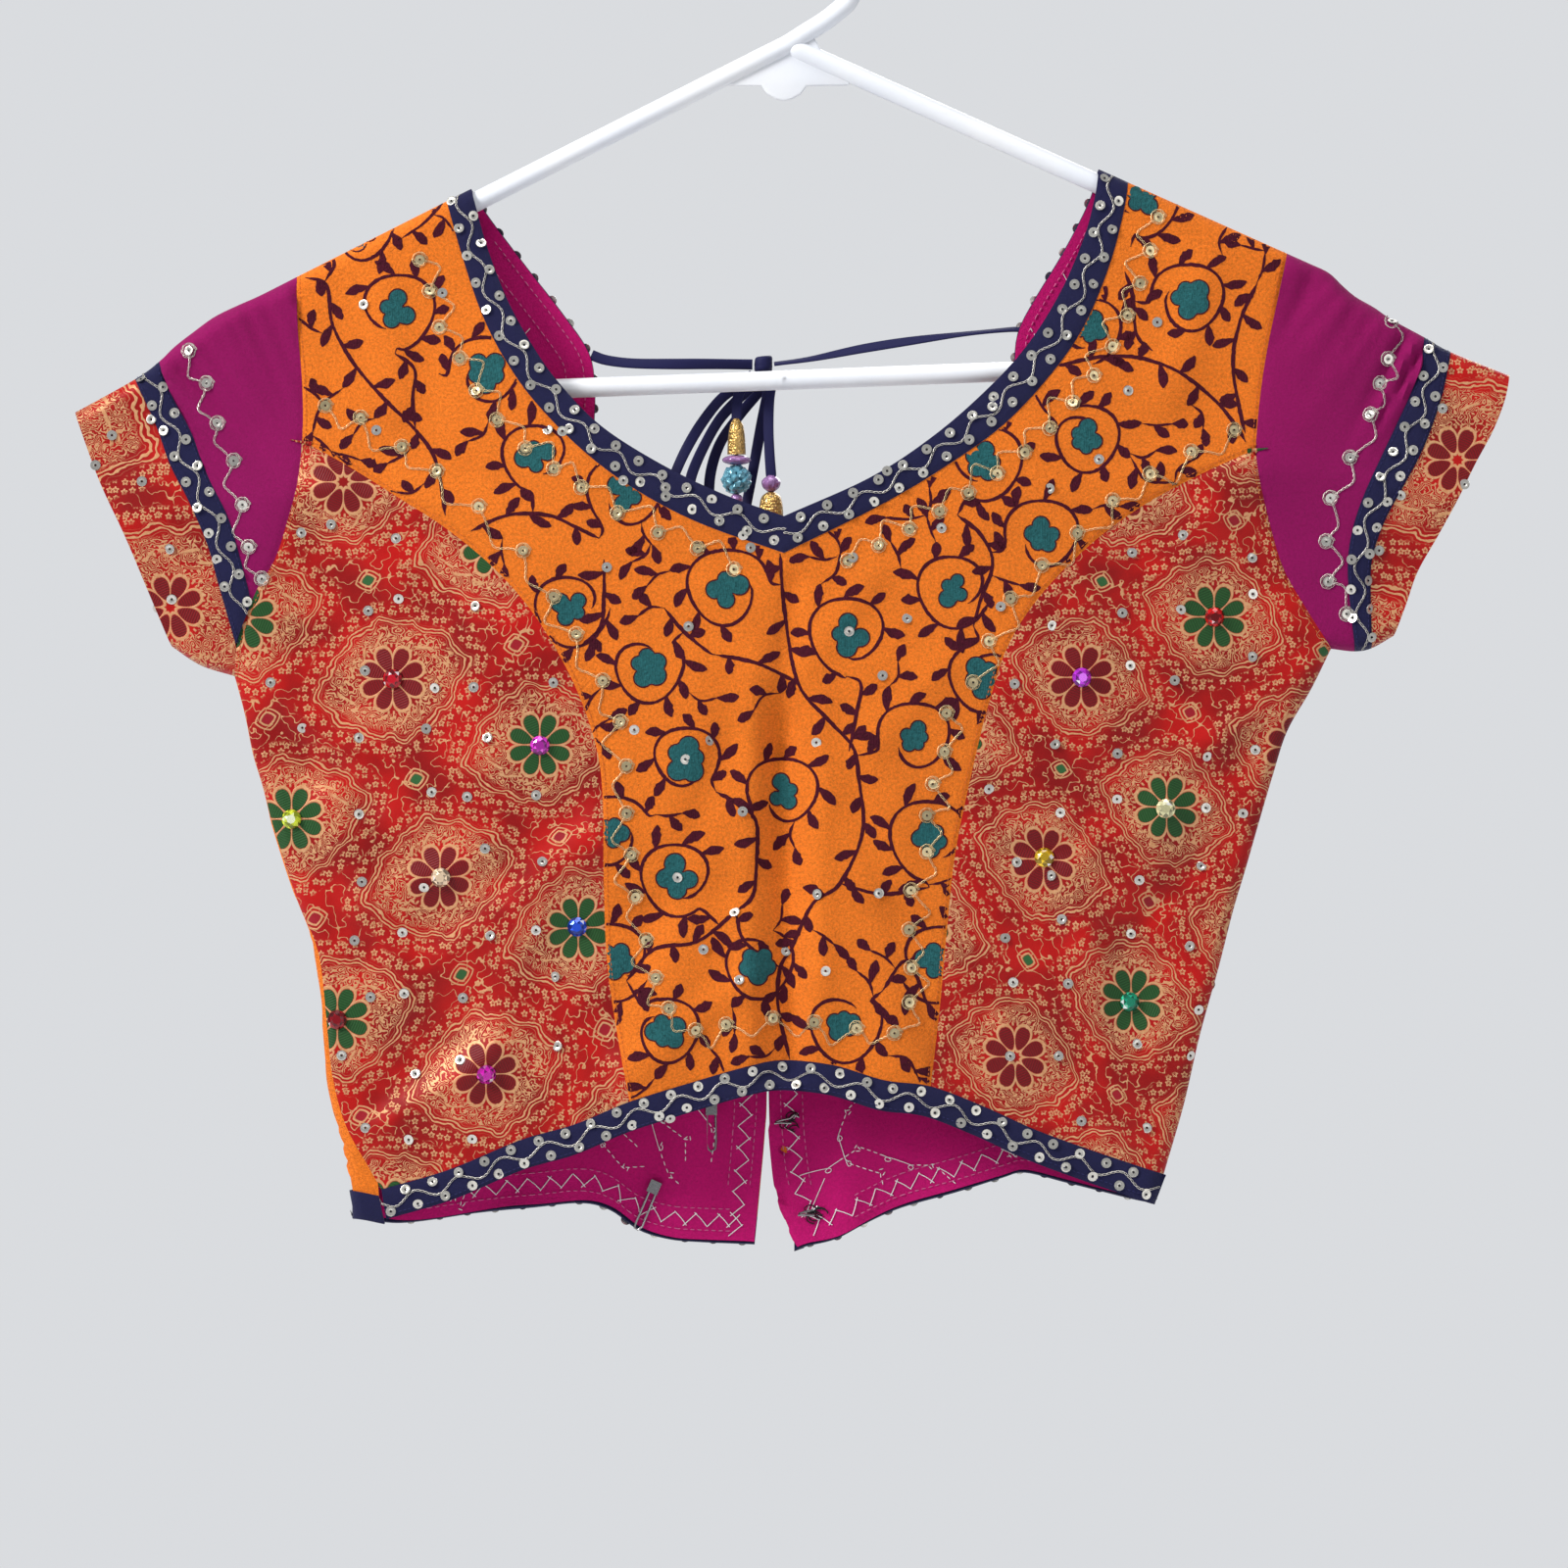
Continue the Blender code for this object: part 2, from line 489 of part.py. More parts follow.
def to_mesh(obj):
    """The curve object as a mesh object with welded caps."""
    graph = bpy.context.evaluated_depsgraph_get()
    mesh = bpy.data.meshes.new_from_object(obj.evaluated_get(graph))
    work = bmesh.new()
    work.from_mesh(mesh)
    bmesh.ops.remove_doubles(work, verts=work.verts, dist=1e-6)
    bmesh.ops.recalc_face_normals(work, faces=work.faces)
    work.to_mesh(mesh)
    work.free()
    name, groups = obj.name, list(obj.users_collection)
    placed = obj.matrix_world.copy()
    bpy.data.objects.remove(obj, do_unlink=True)
    made = bpy.data.objects.new(name, mesh)
    made.matrix_world = placed
    for group in groups:
        group.objects.link(made)
    return made


def join(obj, other, cutters):
    """Adds another mesh object to this one with a Boolean union."""
    for group in list(other.users_collection):
        group.objects.unlink(other)
    cutters.objects.link(other)
    other.hide_render = True
    other.display_type = "WIRE"
    union = obj.modifiers.new("join_" + other.name, "BOOLEAN")
    union.operation = "UNION"
    union.object = other


def arc(middle, radius, start_deg, end_deg, steps):
    """Points in the hanger's plane on an arc."""
    turns = np.radians(np.linspace(start_deg, end_deg, steps + 1))
    return [(middle[0] + radius * math.cos(t), 0.0, middle[1] + radius * math.sin(t)) for t in turns]


def end_turn(arm_z, slope, side):
    """The bend from an arm to the bar: its middle and where it starts and ends, in degrees."""
    arm_angle = math.atan(slope)
    bar_angle = side * math.atan(BAR_SLOPE)
    corner_x = (BAR_MIDDLE_Z - arm_z(0.0)) / (-side * slope - BAR_SLOPE)
    half = (arm_angle + bar_angle) / 2
    back = END_R / math.tan(half)
    x = corner_x - side * back * math.cos(arm_angle)
    middle = (x - side * END_R * math.sin(arm_angle), arm_z(x) - END_R * math.cos(arm_angle))
    if side < 0:
        return middle, 90 + math.degrees(arm_angle), 270 - math.degrees(bar_angle) * side
    return middle, 90 - math.degrees(arm_angle), -90 + math.degrees(bar_angle)


def build_hanger(parts, cutters):
    left_middle, left_from, left_to = end_turn(left_arm_z, LEFT_SLOPE, -1)
    right_middle, right_from, right_to = end_turn(right_arm_z, RIGHT_SLOPE, 1)
    hook = arc(HOOK_MIDDLE, HOOK_R, HOOK_TO_DEG, HOOK_FROM_DEG, 20)
    neck = smooth_line([hook[-1], (15.6, 0, -46.6), (6.4, 0, -52.4), (APEX[0], 0, APEX[1]),
                        (-12, 0, left_arm_z(-12))], 3)[1:]
    route = hook + [tuple(p) for p in neck] + arc(left_middle, END_R, left_from, left_to, 12)
    route.append((2.0, 0.0, BAR_MIDDLE_Z + 2.0 * BAR_SLOPE))
    hanger = to_mesh(tube("hanger", route, TUBE_R, parts, "plastic", 3))
    route = [(1.2, 0.0, right_arm_z(1.2))] + arc(right_middle, END_R, right_from, right_to, 12)
    route.append((-2.0, 0.0, BAR_MIDDLE_Z - 2.0 * BAR_SLOPE))
    join(hanger, to_mesh(tube("right_arm", route, TUBE_R + TUBE_STEP, parts, "plastic", 3)), cutters)
    outline = [(-25.5, left_arm_z(-25.5)), (-24, -72.0), (-9.5, -72.2), (-7.2, -75.4), (-3.6, -77.4),
               (-0.8, -77.9), (2.2, -77.4), (5.8, -75.4), (8.0, -72.2), (24.3, -72.0),
               (26.6, right_arm_z(26.6)), (16.0, right_arm_z(16.0)), (12.0, -55.0), (9.0, -50.6)]
    curve = bpy.data.curves.new("web", "CURVE")
    curve.dimensions = "2D"
    curve.fill_mode = "BOTH"
    curve.extrude = WEB_THICK / 2 * MM
    spline = curve.splines.new("POLY")
    spline.points.add(len(outline) - 1)
    spline.use_cyclic_u = True
    for point, (x, z) in zip(spline.points, outline):
        point.co = (x * MM, z * MM, 0.0, 1.0)
    web = add("web", curve, parts, "plastic")
    web.rotation_euler = (math.radians(90), 0, 0)
    bpy.context.view_layer.update()
    join(hanger, to_mesh(web), cutters)
    if not hanger.data.materials:
        hanger.data.materials.append(material("plastic"))


def armhole_edge(side):
    """The armhole from the shoulder to the underarm, in the steps that body and sleeve share.

    Returns the points above the brocade, and those from there down.
    """
    line, corner = LINES["armhole_" + side], LINES["brocade_" + side][0]
    upper = edge((stretch(line, None, corner), 4, True, False))
    cuts = UNDERARM_CORNERS[side]
    lower = edge((stretch(line, corner, cuts[0]), 4, False, False),
                 (stretch(line, cuts[0], cuts[1]), 1, False, False),
                 (stretch(line, cuts[1], None), 1, False, False))
    lower[0] = upper[-1]
    return upper, lower


def neck_edge(side):
    """The front's neck edge under the band, from shoulder to V, in the steps that both pieces share."""
    return edge((LINES["neck_outer_" + side], NECK_STEPS, True, False))


def seam_edge(side):
    """The seam between the centre panel and a brocade side."""
    return edge((LINES["brocade_" + side], 17, False, False))


def side_edge(side):
    """The side seam of front and back, below the underarm."""
    line = LINES["side_seam_left"] if side == "left" else LINES["fold_right"]
    return edge((stretch(line, None, LINES["hem_top"][0 if side == "left" else -1]), 11, False, False))


def hem_stretch(x_start, x_end, steps):
    line = LINES["hem_top"]
    wanted = np.linspace(x_start, x_end, steps + 1)
    return np.column_stack([wanted, np.interp(wanted, line[:, 0], line[:, 1])])


def front_centre_half(side):
    """One half of the centre panel, from its outer seam to the neck and the centre line."""
    seam, neck = seam_edge(side), neck_edge(side)
    outer = np.vstack([armhole_edge(side)[0], seam[1:]])
    inner = np.vstack([neck, edge((LINES["centre_front"], len(outer) - len(neck), False, False))[1:]])
    bottom = hem_stretch(seam[-1][0], inner[-1][0], 12)
    grid = patch(outer, inner, 7, stretch(LINES["top_" + side], outer[0], neck[0]), bottom)
    grid = draw_in(grid, "blr")
    grid[len(neck):, -1] = inner[len(neck):]
    grid[-1, -1, 1] += GAP / 2
    return lift(grid, "front")


def build_front(parts):
    shell("front_centre", parts, [front_centre_half("left"), front_centre_half("right")], FRONT_WALL,
          "orange", (0, 60, -300), keep="front")
    for side in ("left", "right"):
        inner, arm, side_line = seam_edge(side), armhole_edge(side)[1], side_edge(side)
        inner[0] += (inner[1] - inner[0]) * CORNER_CUT
        arm[0] += (arm[1] - arm[0]) * CORNER_CUT
        outer = np.vstack([arm, side_line[1:]])
        bottom = hem_stretch(outer[-1][0], inner[-1][0], 12)
        grid = draw_in(patch(outer, inner, 7, None, bottom, roll_start=True))
        if side == "right":
            grid[len(arm) - 1:, 0] = outer[len(arm) - 1:]
            grid[-1, 0, 1] += GAP / 2
        shell("front_side_" + side, parts, [lift(grid, "front")], FRONT_WALL, "brocade", (0, 60, -300),
              keep="front")
        neck, inner_line = neck_edge(side), LINES["neck_inner_" + side]
        band = patch(neck, edge((inner_line, NECK_STEPS, True, False)), 2,
                     stretch(LINES["top_" + side], neck[0], inner_line[0]))
        shell("neck_binding_" + side, parts, [lift(draw_in(band, "bl"), "front")], FRONT_WALL, "navy",
              (0, 60, -300), BAND_LIFT, keep="front")
    ends = [LINES[k][-1][0] for k in ("side_seam_left", "brocade_left", "centre_front", "brocade_right")]
    ends.append(LINES["hem_top"][-1][0])
    top = np.vstack([hem_stretch(a, b, steps)[1 if k else 0:]
                     for k, (a, b, steps) in enumerate(zip(ends[:-1], ends[1:], HEM_STEPS))])
    low = np.column_stack([top[:, 0] + np.linspace(*HEM_SLANT, len(top)), top[:, 1] - HEM_BAND_WIDTH])
    band = draw_in(patch(top, low, 2), "tbl")
    shell("hem_binding_front", parts, [lift(band, "front")], FRONT_WALL, "navy", (0, 60, -300), BAND_LIFT,
          keep="front")


def unfolded_lift(grid):
    """The left back's points in space. Those left of the fold lie on the front, where the back wraps."""
    fold = LINES["fold_left"]
    flat = grid.reshape(-1, 2)
    fold_x = np.interp(-flat[:, 1], -fold[:, 1], fold[:, 0])
    wrapped = (flat[:, 1] < fold[0][1]) & (flat[:, 0] < fold_x)
    real = flat.copy()
    real[wrapped, 0] = 2 * fold_x[wrapped] - flat[wrapped, 0]
    y = np.where(wrapped, -depth(real, "front"), np.maximum(depth(real, "back"), GAP / 2))
    return np.column_stack([real[:, 0], y, real[:, 1]]).reshape(*grid.shape[:2], 3)


def offset_line(line, amount):
    """A line beside another. A positive amount goes to the right of its direction."""
    way = np.gradient(line, axis=0)
    way /= np.linalg.norm(way, axis=1, keepdims=True)
    return line + amount * np.column_stack([way[:, 1], -way[:, 0]])


def back_lines(side):
    """The back's outer and inner edges, its neck edge and its hem, under the bands."""
    turn = 1 if side == "left" else -1
    neck = offset_line(LINES["back_edge_" + side], turn * BACK_NECK_WIDTH)
    top = LINES["top_" + side]
    neck = np.vstack([at(top, [nearest_run(top, neck[0])]), neck[2:]])
    hem = LINES["back_hem_" + side] + [0, BAND_WIDTH]
    centre = LINES["centre_back_" + side]
    cut = at(centre, [nearest_run(centre, hem[-1])])[0]
    hem[-1] = cut
    neck[-1] = at(centre, [BACK_NECK_WIDTH])[0]
    return neck, hem, stretch(centre, neck[-1], cut)


def back_patch(side):
    """The back's points, flat. The left one runs on past the fold, where it wraps to the front."""
    neck, hem, centre = back_lines(side)
    arm, side_line = np.vstack([armhole_edge(side)[0], armhole_edge(side)[1][1:]]), side_edge(side)
    if side == "left":
        fold = LINES["fold_left"]
        side_line[:, 0] = 2 * np.interp(-side_line[:, 1], -fold[:, 1], fold[:, 0]) - side_line[:, 0]
    side_line[-1] = hem[0]
    outer = np.vstack([arm, side_line[1:]])
    centre_steps = len(outer) - NECK_STEPS - 1 - len(ROLL_STEPS)
    inner = edge((neck, NECK_STEPS, True, False), (centre, centre_steps, False, False))
    top = stretch(LINES["top_" + side], outer[0], neck[0])
    return patch(outer, inner, 9, top, hem, roll_start=True)


def build_back(parts):
    inside = (0, -60, -300)
    for side in ("left", "right"):
        raise_up = unfolded_lift if side == "left" else lambda g: lift(g, "back")
        keep = None if side == "left" else "back"
        grid = back_patch(side)
        panel = draw_in(draw_in(grid, "bl"), "r", NECK_SEAM)
        panel[NECK_STEPS + len(ROLL_STEPS), -1, 1] -= GAP
        shell("back_" + side, parts, [raise_up(panel)], BACK_WALL, "orange", inside, keep=keep)
        low = grid[-1] - [0, BAND_WIDTH]
        low[-1] = LINES["back_hem_" + side][-1]
        band = draw_in(patch(grid[-1], low, 2), "tbl")
        shell("back_hem_" + side, parts, [raise_up(band)], BACK_WALL, "navy", inside, BAND_LIFT, keep=keep)
        neck, _, _ = back_lines(side)
        edge_line = LINES["back_edge_" + side]
        band = patch(edge((neck, NECK_STEPS, True, False)), edge((edge_line, NECK_STEPS, True, False)), 2,
                     stretch(LINES["top_" + side], neck[0], edge_line[0]))
        shell("back_neck_" + side, parts, [lift(draw_in(band, "bl"), "back")], BACK_WALL, "navy", inside,
              BAND_LIFT, keep="back")
        build_lining(parts, side, inside)


def build_lining(parts, side, inside):
    """The lining is made from the back's own points, moved in. It stops short of the side and shoulder."""
    grid = back_patch(side)
    low = grid[-1] - [0, BAND_WIDTH - LINING_IN]
    low[-1] = LINES["back_hem_" + side][-1] + [0, LINING_IN]
    first = len(ROLL_STEPS)
    grid = np.vstack([grid[first:], [(grid[-1] + low) / 2, low]])[:, first + 1:]
    grid[0] -= [0, LINING_CLEAR - ROLL_STEPS[-1]]
    grid[:, 0] += (grid[:, 1] - grid[:, 0]) * LINING_SIDE_EASE
    neck_rows = NECK_STEPS + 1
    edge_line = LINES["back_edge_" + side]
    seam, rim = grid[:, -1].copy(), grid[:, -1].copy()
    for k in range(len(grid)):
        if k < neck_rows:
            rim[k] = at(edge_line, [nearest_run(edge_line, seam[k])])[0]
        else:
            seam[k] += (grid[k, -2] - seam[k]) * LINING_RIM_EASE
        way = seam[k] - rim[k]
        rim[k] += way / np.linalg.norm(way) * LINING_IN
    grid = np.concatenate([grid[:, :-1], seam[:, None], rim[:, None]], axis=1)
    shell("lining_" + side, parts, [inset(lift(grid, "back"), BACK_WALL + GAP + LINING_EASE)], LINING_WALL,
          "lining", inside, keep="back")


def inset(grid, amount):
    """A back grid moved in along its own normals."""
    across = np.gradient(grid, axis=1)
    down = np.gradient(grid, axis=0)
    normal = np.cross(across, down)
    normal /= np.linalg.norm(normal, axis=2, keepdims=True)
    normal *= np.sign(normal[..., 1:2])
    return grid - amount * normal


def sleeve_shell(name, parts, inner, outer, steps, colour, top, bottom=None, raised=0.0, tube_form=True):
    """A sleeve piece: a front and a back that share the top fold, and the lower one where it is a tube."""
    grid = patch(inner, outer, steps, top, bottom)
    grid = draw_in(grid, "lr" if tube_form else "blr", SLEEVE_SEAM)
    front, back = lift(grid, "front", 0.0), lift(grid, "back", 0.0)
    whole = np.vstack([front[::-1], back[1:-1] if tube_form else back[1:]])
    middle = grid.mean(axis=(0, 1))
    shell(name, parts, [whole], FRONT_WALL, colour, (middle[0], 0, middle[1]), raised, ring=tube_form)


def sleeve_edge(line, steps, tube_form):
    """An edge round half a sleeve, from the top fold down. On a tube it ends in one short step."""
    if not tube_form:
        return edge((line, steps, True, False))
    run = reach(line)[-1]
    return np.vstack([edge((stretch(line, None, at(line, [run - LAST_STEP])[0]), steps - 1, True, False)),
                      line[-1:]])


def build_sleeves(parts):
    for side in ("left", "right"):
        top, under = LINES["top_" + side], LINES["under_" + side]
        upper, lower = armhole_edge(side)
        armhole = np.vstack([upper, lower[1:]])
        open_end = side == "left"
        band_in = sleeve_edge(LINES["band_in_" + side], 8 if open_end else 10, not open_end)
        band_out = sleeve_edge(LINES["band_out_" + side], 9 if open_end else 10, not open_end)
        cuff_line = LINES["cuff_hem_" + side]
        cuff = sleeve_edge(cuff_line, 11 if open_end else 10, True)
        cuff_in = band_out
        under_rows = [stretch(under, a[-1], b[-1]) for a, b in ((armhole, band_in), (band_in, band_out))]
        if open_end:
            near_end = armhole[-1] + (armhole[-2] - armhole[-1]) * LAST_SHARE
            cuff_in = np.vstack([band_out, [near_end], armhole[-1:]])
            armhole, under_rows = armhole[:-2], [None, None]
            band_lower = np.vstack([band_in, armhole[-1:]])
        else:
            band_lower = band_in
        sleeve_shell("sleeve_cap_" + side, parts, armhole, band_in, 4, "magenta",
                     stretch(top, armhole[0], band_in[0]), under_rows[0], tube_form=not open_end)
        sleeve_shell("sleeve_band_" + side, parts, band_lower, band_out, 1, "navy",
                     stretch(top, band_in[0], band_out[0]), under_rows[1], BAND_LIFT, not open_end)
        sleeve_shell("sleeve_cuff_" + side, parts, cuff_in, cuff, 3, "brocade",
                     stretch(top, band_out[0], cuff[0]), stretch(under, cuff_in[-1], None))


def surface_at(obj, x, z):
    """The place and normal where a line along +Y first meets a cloth wall, in millimetres.

    A place just past the cloth's edge takes the depth of the nearest point of the wall.
    """
    tree = BVHTree.FromPolygons([v.co for v in obj.data.vertices], [p.vertices for p in obj.data.polygons])
    start = Vector((x * MM, -1, z * MM))
    place, normal, _, _ = tree.ray_cast(start, Vector((0, 1, 0)))
    if place is None:
        front_y = min(v.co.y for v in obj.data.vertices)
        place = tree.find_nearest(Vector((start.x, front_y, start.z)))[0]
        return Vector((x, place.y / MM, z)), Vector((0, -1, 0))
    return place / MM, normal if normal.y < 0 else -normal


def turned(name, profile, sides, group, colour, metallic=0.0, roughness=0.3):
    """A solid of stacked rings. Profile columns: height, radius."""
    work = bmesh.new()
    rings = []
    for height, radius in profile:
        rings.append([work.verts.new((radius * math.cos(t) * MM, radius * math.sin(t) * MM, height * MM))
                      for t in np.linspace(0, 2 * math.pi, sides, endpoint=False)])
    for low, high in zip(rings[:-1], rings[1:]):
        for k in range(sides):
            n = (k + 1) % sides
            work.faces.new((low[k], low[n], high[n], high[k]))
    work.faces.new(rings[0][::-1])
    work.faces.new(rings[-1])
    bmesh.ops.recalc_face_normals(work, faces=work.faces)
    mesh = bpy.data.meshes.new(name)
    work.to_mesh(mesh)
    work.free()
    return add(name, mesh, group, colour, metallic, roughness)


def build_stones(parts):
    profile = ((0.0, GEM_R * 0.86), (0.8, GEM_R), (GEM_HIGH, GEM_R * 0.5))
    for number, (x, z) in enumerate(STONES, 1):
        panel = bpy.data.objects["front_side_left" if x < 0 else "front_side_right"]
        place, normal = surface_at(panel, x, z)
        stone = turned(f"gem_{number:02d}", profile, 8, parts, "stone", 0.0, 0.1)
        seat = (place + normal * GEM_SEAT) * MM
        stone.matrix_world = Matrix.Translation(seat) @ normal.to_track_quat("Z", "Y").to_matrix().to_4x4()


def build_tie(parts):
    for name, points in TIE_ROUTES.items():
        line = smooth_line(points, 6)
        length = reach(line)[-1]
        steps = max(4, round(length / (6 * TIE_R)))
        tube(name, at(line, np.linspace(0, length, steps + 1)), TIE_R, parts, "navy")
    knot = turned("tie_knot", [(KNOT_R[2] * math.sin(t), KNOT_R[0] * math.cos(t))
                               for t in np.radians(KNOT_TURNS_DEG)], 10, parts, "navy")
    knot.scale = (1, KNOT_R[1] / KNOT_R[0], 1)
    knot.location = Vector(KNOT_MIDDLE) * MM
    for name, hung_from, colour, profile in TASSELS:
        piece = turned(name, profile, 10, parts, colour)
        piece.location = Vector(TIE_ROUTES[hung_from][-1]) * MM


def wire_on(name, lining, route, parts, cutters, cap=None):
    """A bent wire that lies on the lining's inner face. Route columns: x, z, height above the face."""
    points = []
    for x, z, height in route:
        place, normal = surface_at(lining, x, z)
        points.append(place + normal * (height + WIRE_R + GAP))
    made = to_mesh(tube(name, points, WIRE_R, parts, "metal", 2, 1.0))
    if cap is not None:
        place, normal = surface_at(lining, cap[0], cap[1])
        bpy.ops.mesh.primitive_cube_add(size=1.0)
        block = bpy.context.active_object
        block.name = name + "_cap"
        block.data.transform(Matrix.Diagonal([side * MM for side in PIN_CAP] + [1.0]))
        block.data.transform(Matrix.Rotation(math.radians(cap[2]), 4, "Y"))
        block.data.transform(Matrix.Translation((place + normal * (PIN_CAP[1] / 2 + GAP)) * MM))
        join(made, block, cutters)


def build_fasteners(parts, cutters):
    left, right = bpy.data.objects["lining_left"], bpy.data.objects["lining_right"]
    for name, x, z in HOOKS:
        wire_on(name, right, [(x + dx, z + dz, height) for dx, dz, height in HOOK_WIRE], parts, cutters)
    for name, wire, cap in PINS:
        wire_on(name, left, [(x, z, 0) for x, z in wire], parts, cutters, cap)


def main():
    clear_scene()
    parts, cutters = new_collection("choli_blouse"), new_collection("cutters")
    build_hanger(parts, cutters)
    build_front(parts)
    build_back(parts)
    build_sleeves(parts)
    build_stones(parts)
    build_tie(parts)
    build_fasteners(parts, cutters)


main()
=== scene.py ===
"""Looks for a choli blouse on a white moulded hanger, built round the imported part.

Sizes are in millimetres inside the classes and become metres when a mesh is made. The front faces -Y.
Cloth is made on the same form as its solid: outlines in the plane of the hanger, moved out by Drape.
"""

from __future__ import annotations

import json
import logging
import math
from dataclasses import dataclass, field
from enum import Enum
from typing import Iterable, Sequence

import bmesh
import bpy
import numpy as np
from mathutils import Matrix, Vector
from mathutils.bvhtree import BVHTree

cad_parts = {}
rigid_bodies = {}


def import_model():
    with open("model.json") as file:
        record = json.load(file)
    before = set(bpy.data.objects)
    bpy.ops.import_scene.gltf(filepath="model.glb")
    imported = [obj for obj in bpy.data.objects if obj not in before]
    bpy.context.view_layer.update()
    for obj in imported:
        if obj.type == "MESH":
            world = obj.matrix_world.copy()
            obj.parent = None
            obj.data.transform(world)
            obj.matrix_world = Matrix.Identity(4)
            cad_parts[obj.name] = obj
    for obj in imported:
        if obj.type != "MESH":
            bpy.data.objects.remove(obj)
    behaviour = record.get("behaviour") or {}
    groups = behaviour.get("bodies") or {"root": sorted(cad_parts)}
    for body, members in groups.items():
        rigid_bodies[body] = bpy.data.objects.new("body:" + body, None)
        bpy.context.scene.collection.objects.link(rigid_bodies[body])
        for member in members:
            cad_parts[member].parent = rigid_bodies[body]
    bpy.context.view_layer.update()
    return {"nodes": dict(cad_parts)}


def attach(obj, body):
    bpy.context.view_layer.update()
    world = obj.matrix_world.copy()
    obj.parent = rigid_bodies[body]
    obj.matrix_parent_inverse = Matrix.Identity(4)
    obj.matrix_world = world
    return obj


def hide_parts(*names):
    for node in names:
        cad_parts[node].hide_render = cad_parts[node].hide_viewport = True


LOG = logging.getLogger("choli")
MM = 0.001
Grid = np.ndarray
Line = np.ndarray

# Hanger
TUBE_R, HOOK_R, HOOK_MIDDLE = 3.8, 28.0, (0.4, -24.3)
APEX, LEFT_SLOPE, RIGHT_SLOPE = (0.4, -56.2), 0.505, 0.4476
BAR_MIDDLE_Z, BAR_SLOPE, END_R, WEB_THICK = -186.2, 0.038, 17.0, 2.6

# Form of the cloth, as in the part's source
FRONT_WALL, BACK_WALL = 1.2, 1.0
BACK_NECK_WIDTH, BAND_WIDTH = 9.0, 11.0
HEM_BAND_WIDTH, HEM_SLANT = 11.6, (1.9, -4.3)
SHOULDER_OVER_ARM = FRONT_WALL + 0.35 + TUBE_R
ROLL_R, FRONT_ROLL, BACK_ROLL = 5.8, 5.7, 6.9
FRONT_SWELL, BACK_SWELL, SWELL_REACH = 11.0, 8.0, 150.0
PLEAT_X, PLEAT_TOP_Z, PLEAT_STEP, PLEAT_SOFT = 84.0, -452.0, 3.6, 4.0
LINING_IN, RIM_IN, LINING_CLEAR = 1.3, 0.3, 6.0
FINE_LIFT = 1.9

# Thickness of the thin shells, and how far off the cloth is felt for when trimmings are set on it
PANEL_SHELL, BAND_SHELL, SLEEVE_BAND_SHELL, LINING_SHELL = 0.7, 1.4, 1.3, 0.6
FEEL_FROM = 200.0

# The view's frame: x of the rail's middle, y of the rail, and the size of a step
VIEW_MIDDLE, VIEW_TOP, VIEW_STEP = 802, -102, 0.38

UNDERARM_CORNERS = {"left": ((-206.9, -272.8), (-213.0, -288.6)),
                    "right": ((208.2, -285.6), (210.0, -288.4))}
KNOT_MIDDLE, KNOT_R = (-8.8, 9.2, -179.8), (3.6, 4.6, 3.4)

# Soft folds: face, start x, start z, end x, end z, half width, height (out is positive)
FOLDS = (
    ("front", -1, -322, -1, -452, 9, -3.6),
    ("front", -128, -345, -112, -300, 40, 3.0),
    ("front", 118, -335, 102, -300, 38, 3.0),
    ("front", -146, -424, -72, -362, 10, 2.6),
    ("front", -160, -462, -92, -410, 11, -2.0),
    ("front", -32, -300, -48, -452, 13, 1.8),
    ("front", 30, -300, 42, -450, 13, 1.8),
    ("front", 86, -368, 112, -366, 5, -1.8),
    ("front", 162, -330, 118, -402, 10, 2.2),
    ("front", 140, -420, 104, -462, 12, -1.8),
    ("front", -176, -196, -128, -226, 10, -1.2),
    ("front", 172, -190, 122, -222, 10, -1.2),
    ("back", -60, -350, -78, -508, 16, 2.6),
    ("back", -118, -352, -132, -505, 13, -2.0),
    ("back", 52, -350, 46, -512, 15, 2.4),
    ("back", 122, -350, 116, -500, 13, 2.8),
    ("back", -150, -190, -118, -240, 12, -1.5),
    ("back", 148, -185, 116, -236, 12, -1.5),
)

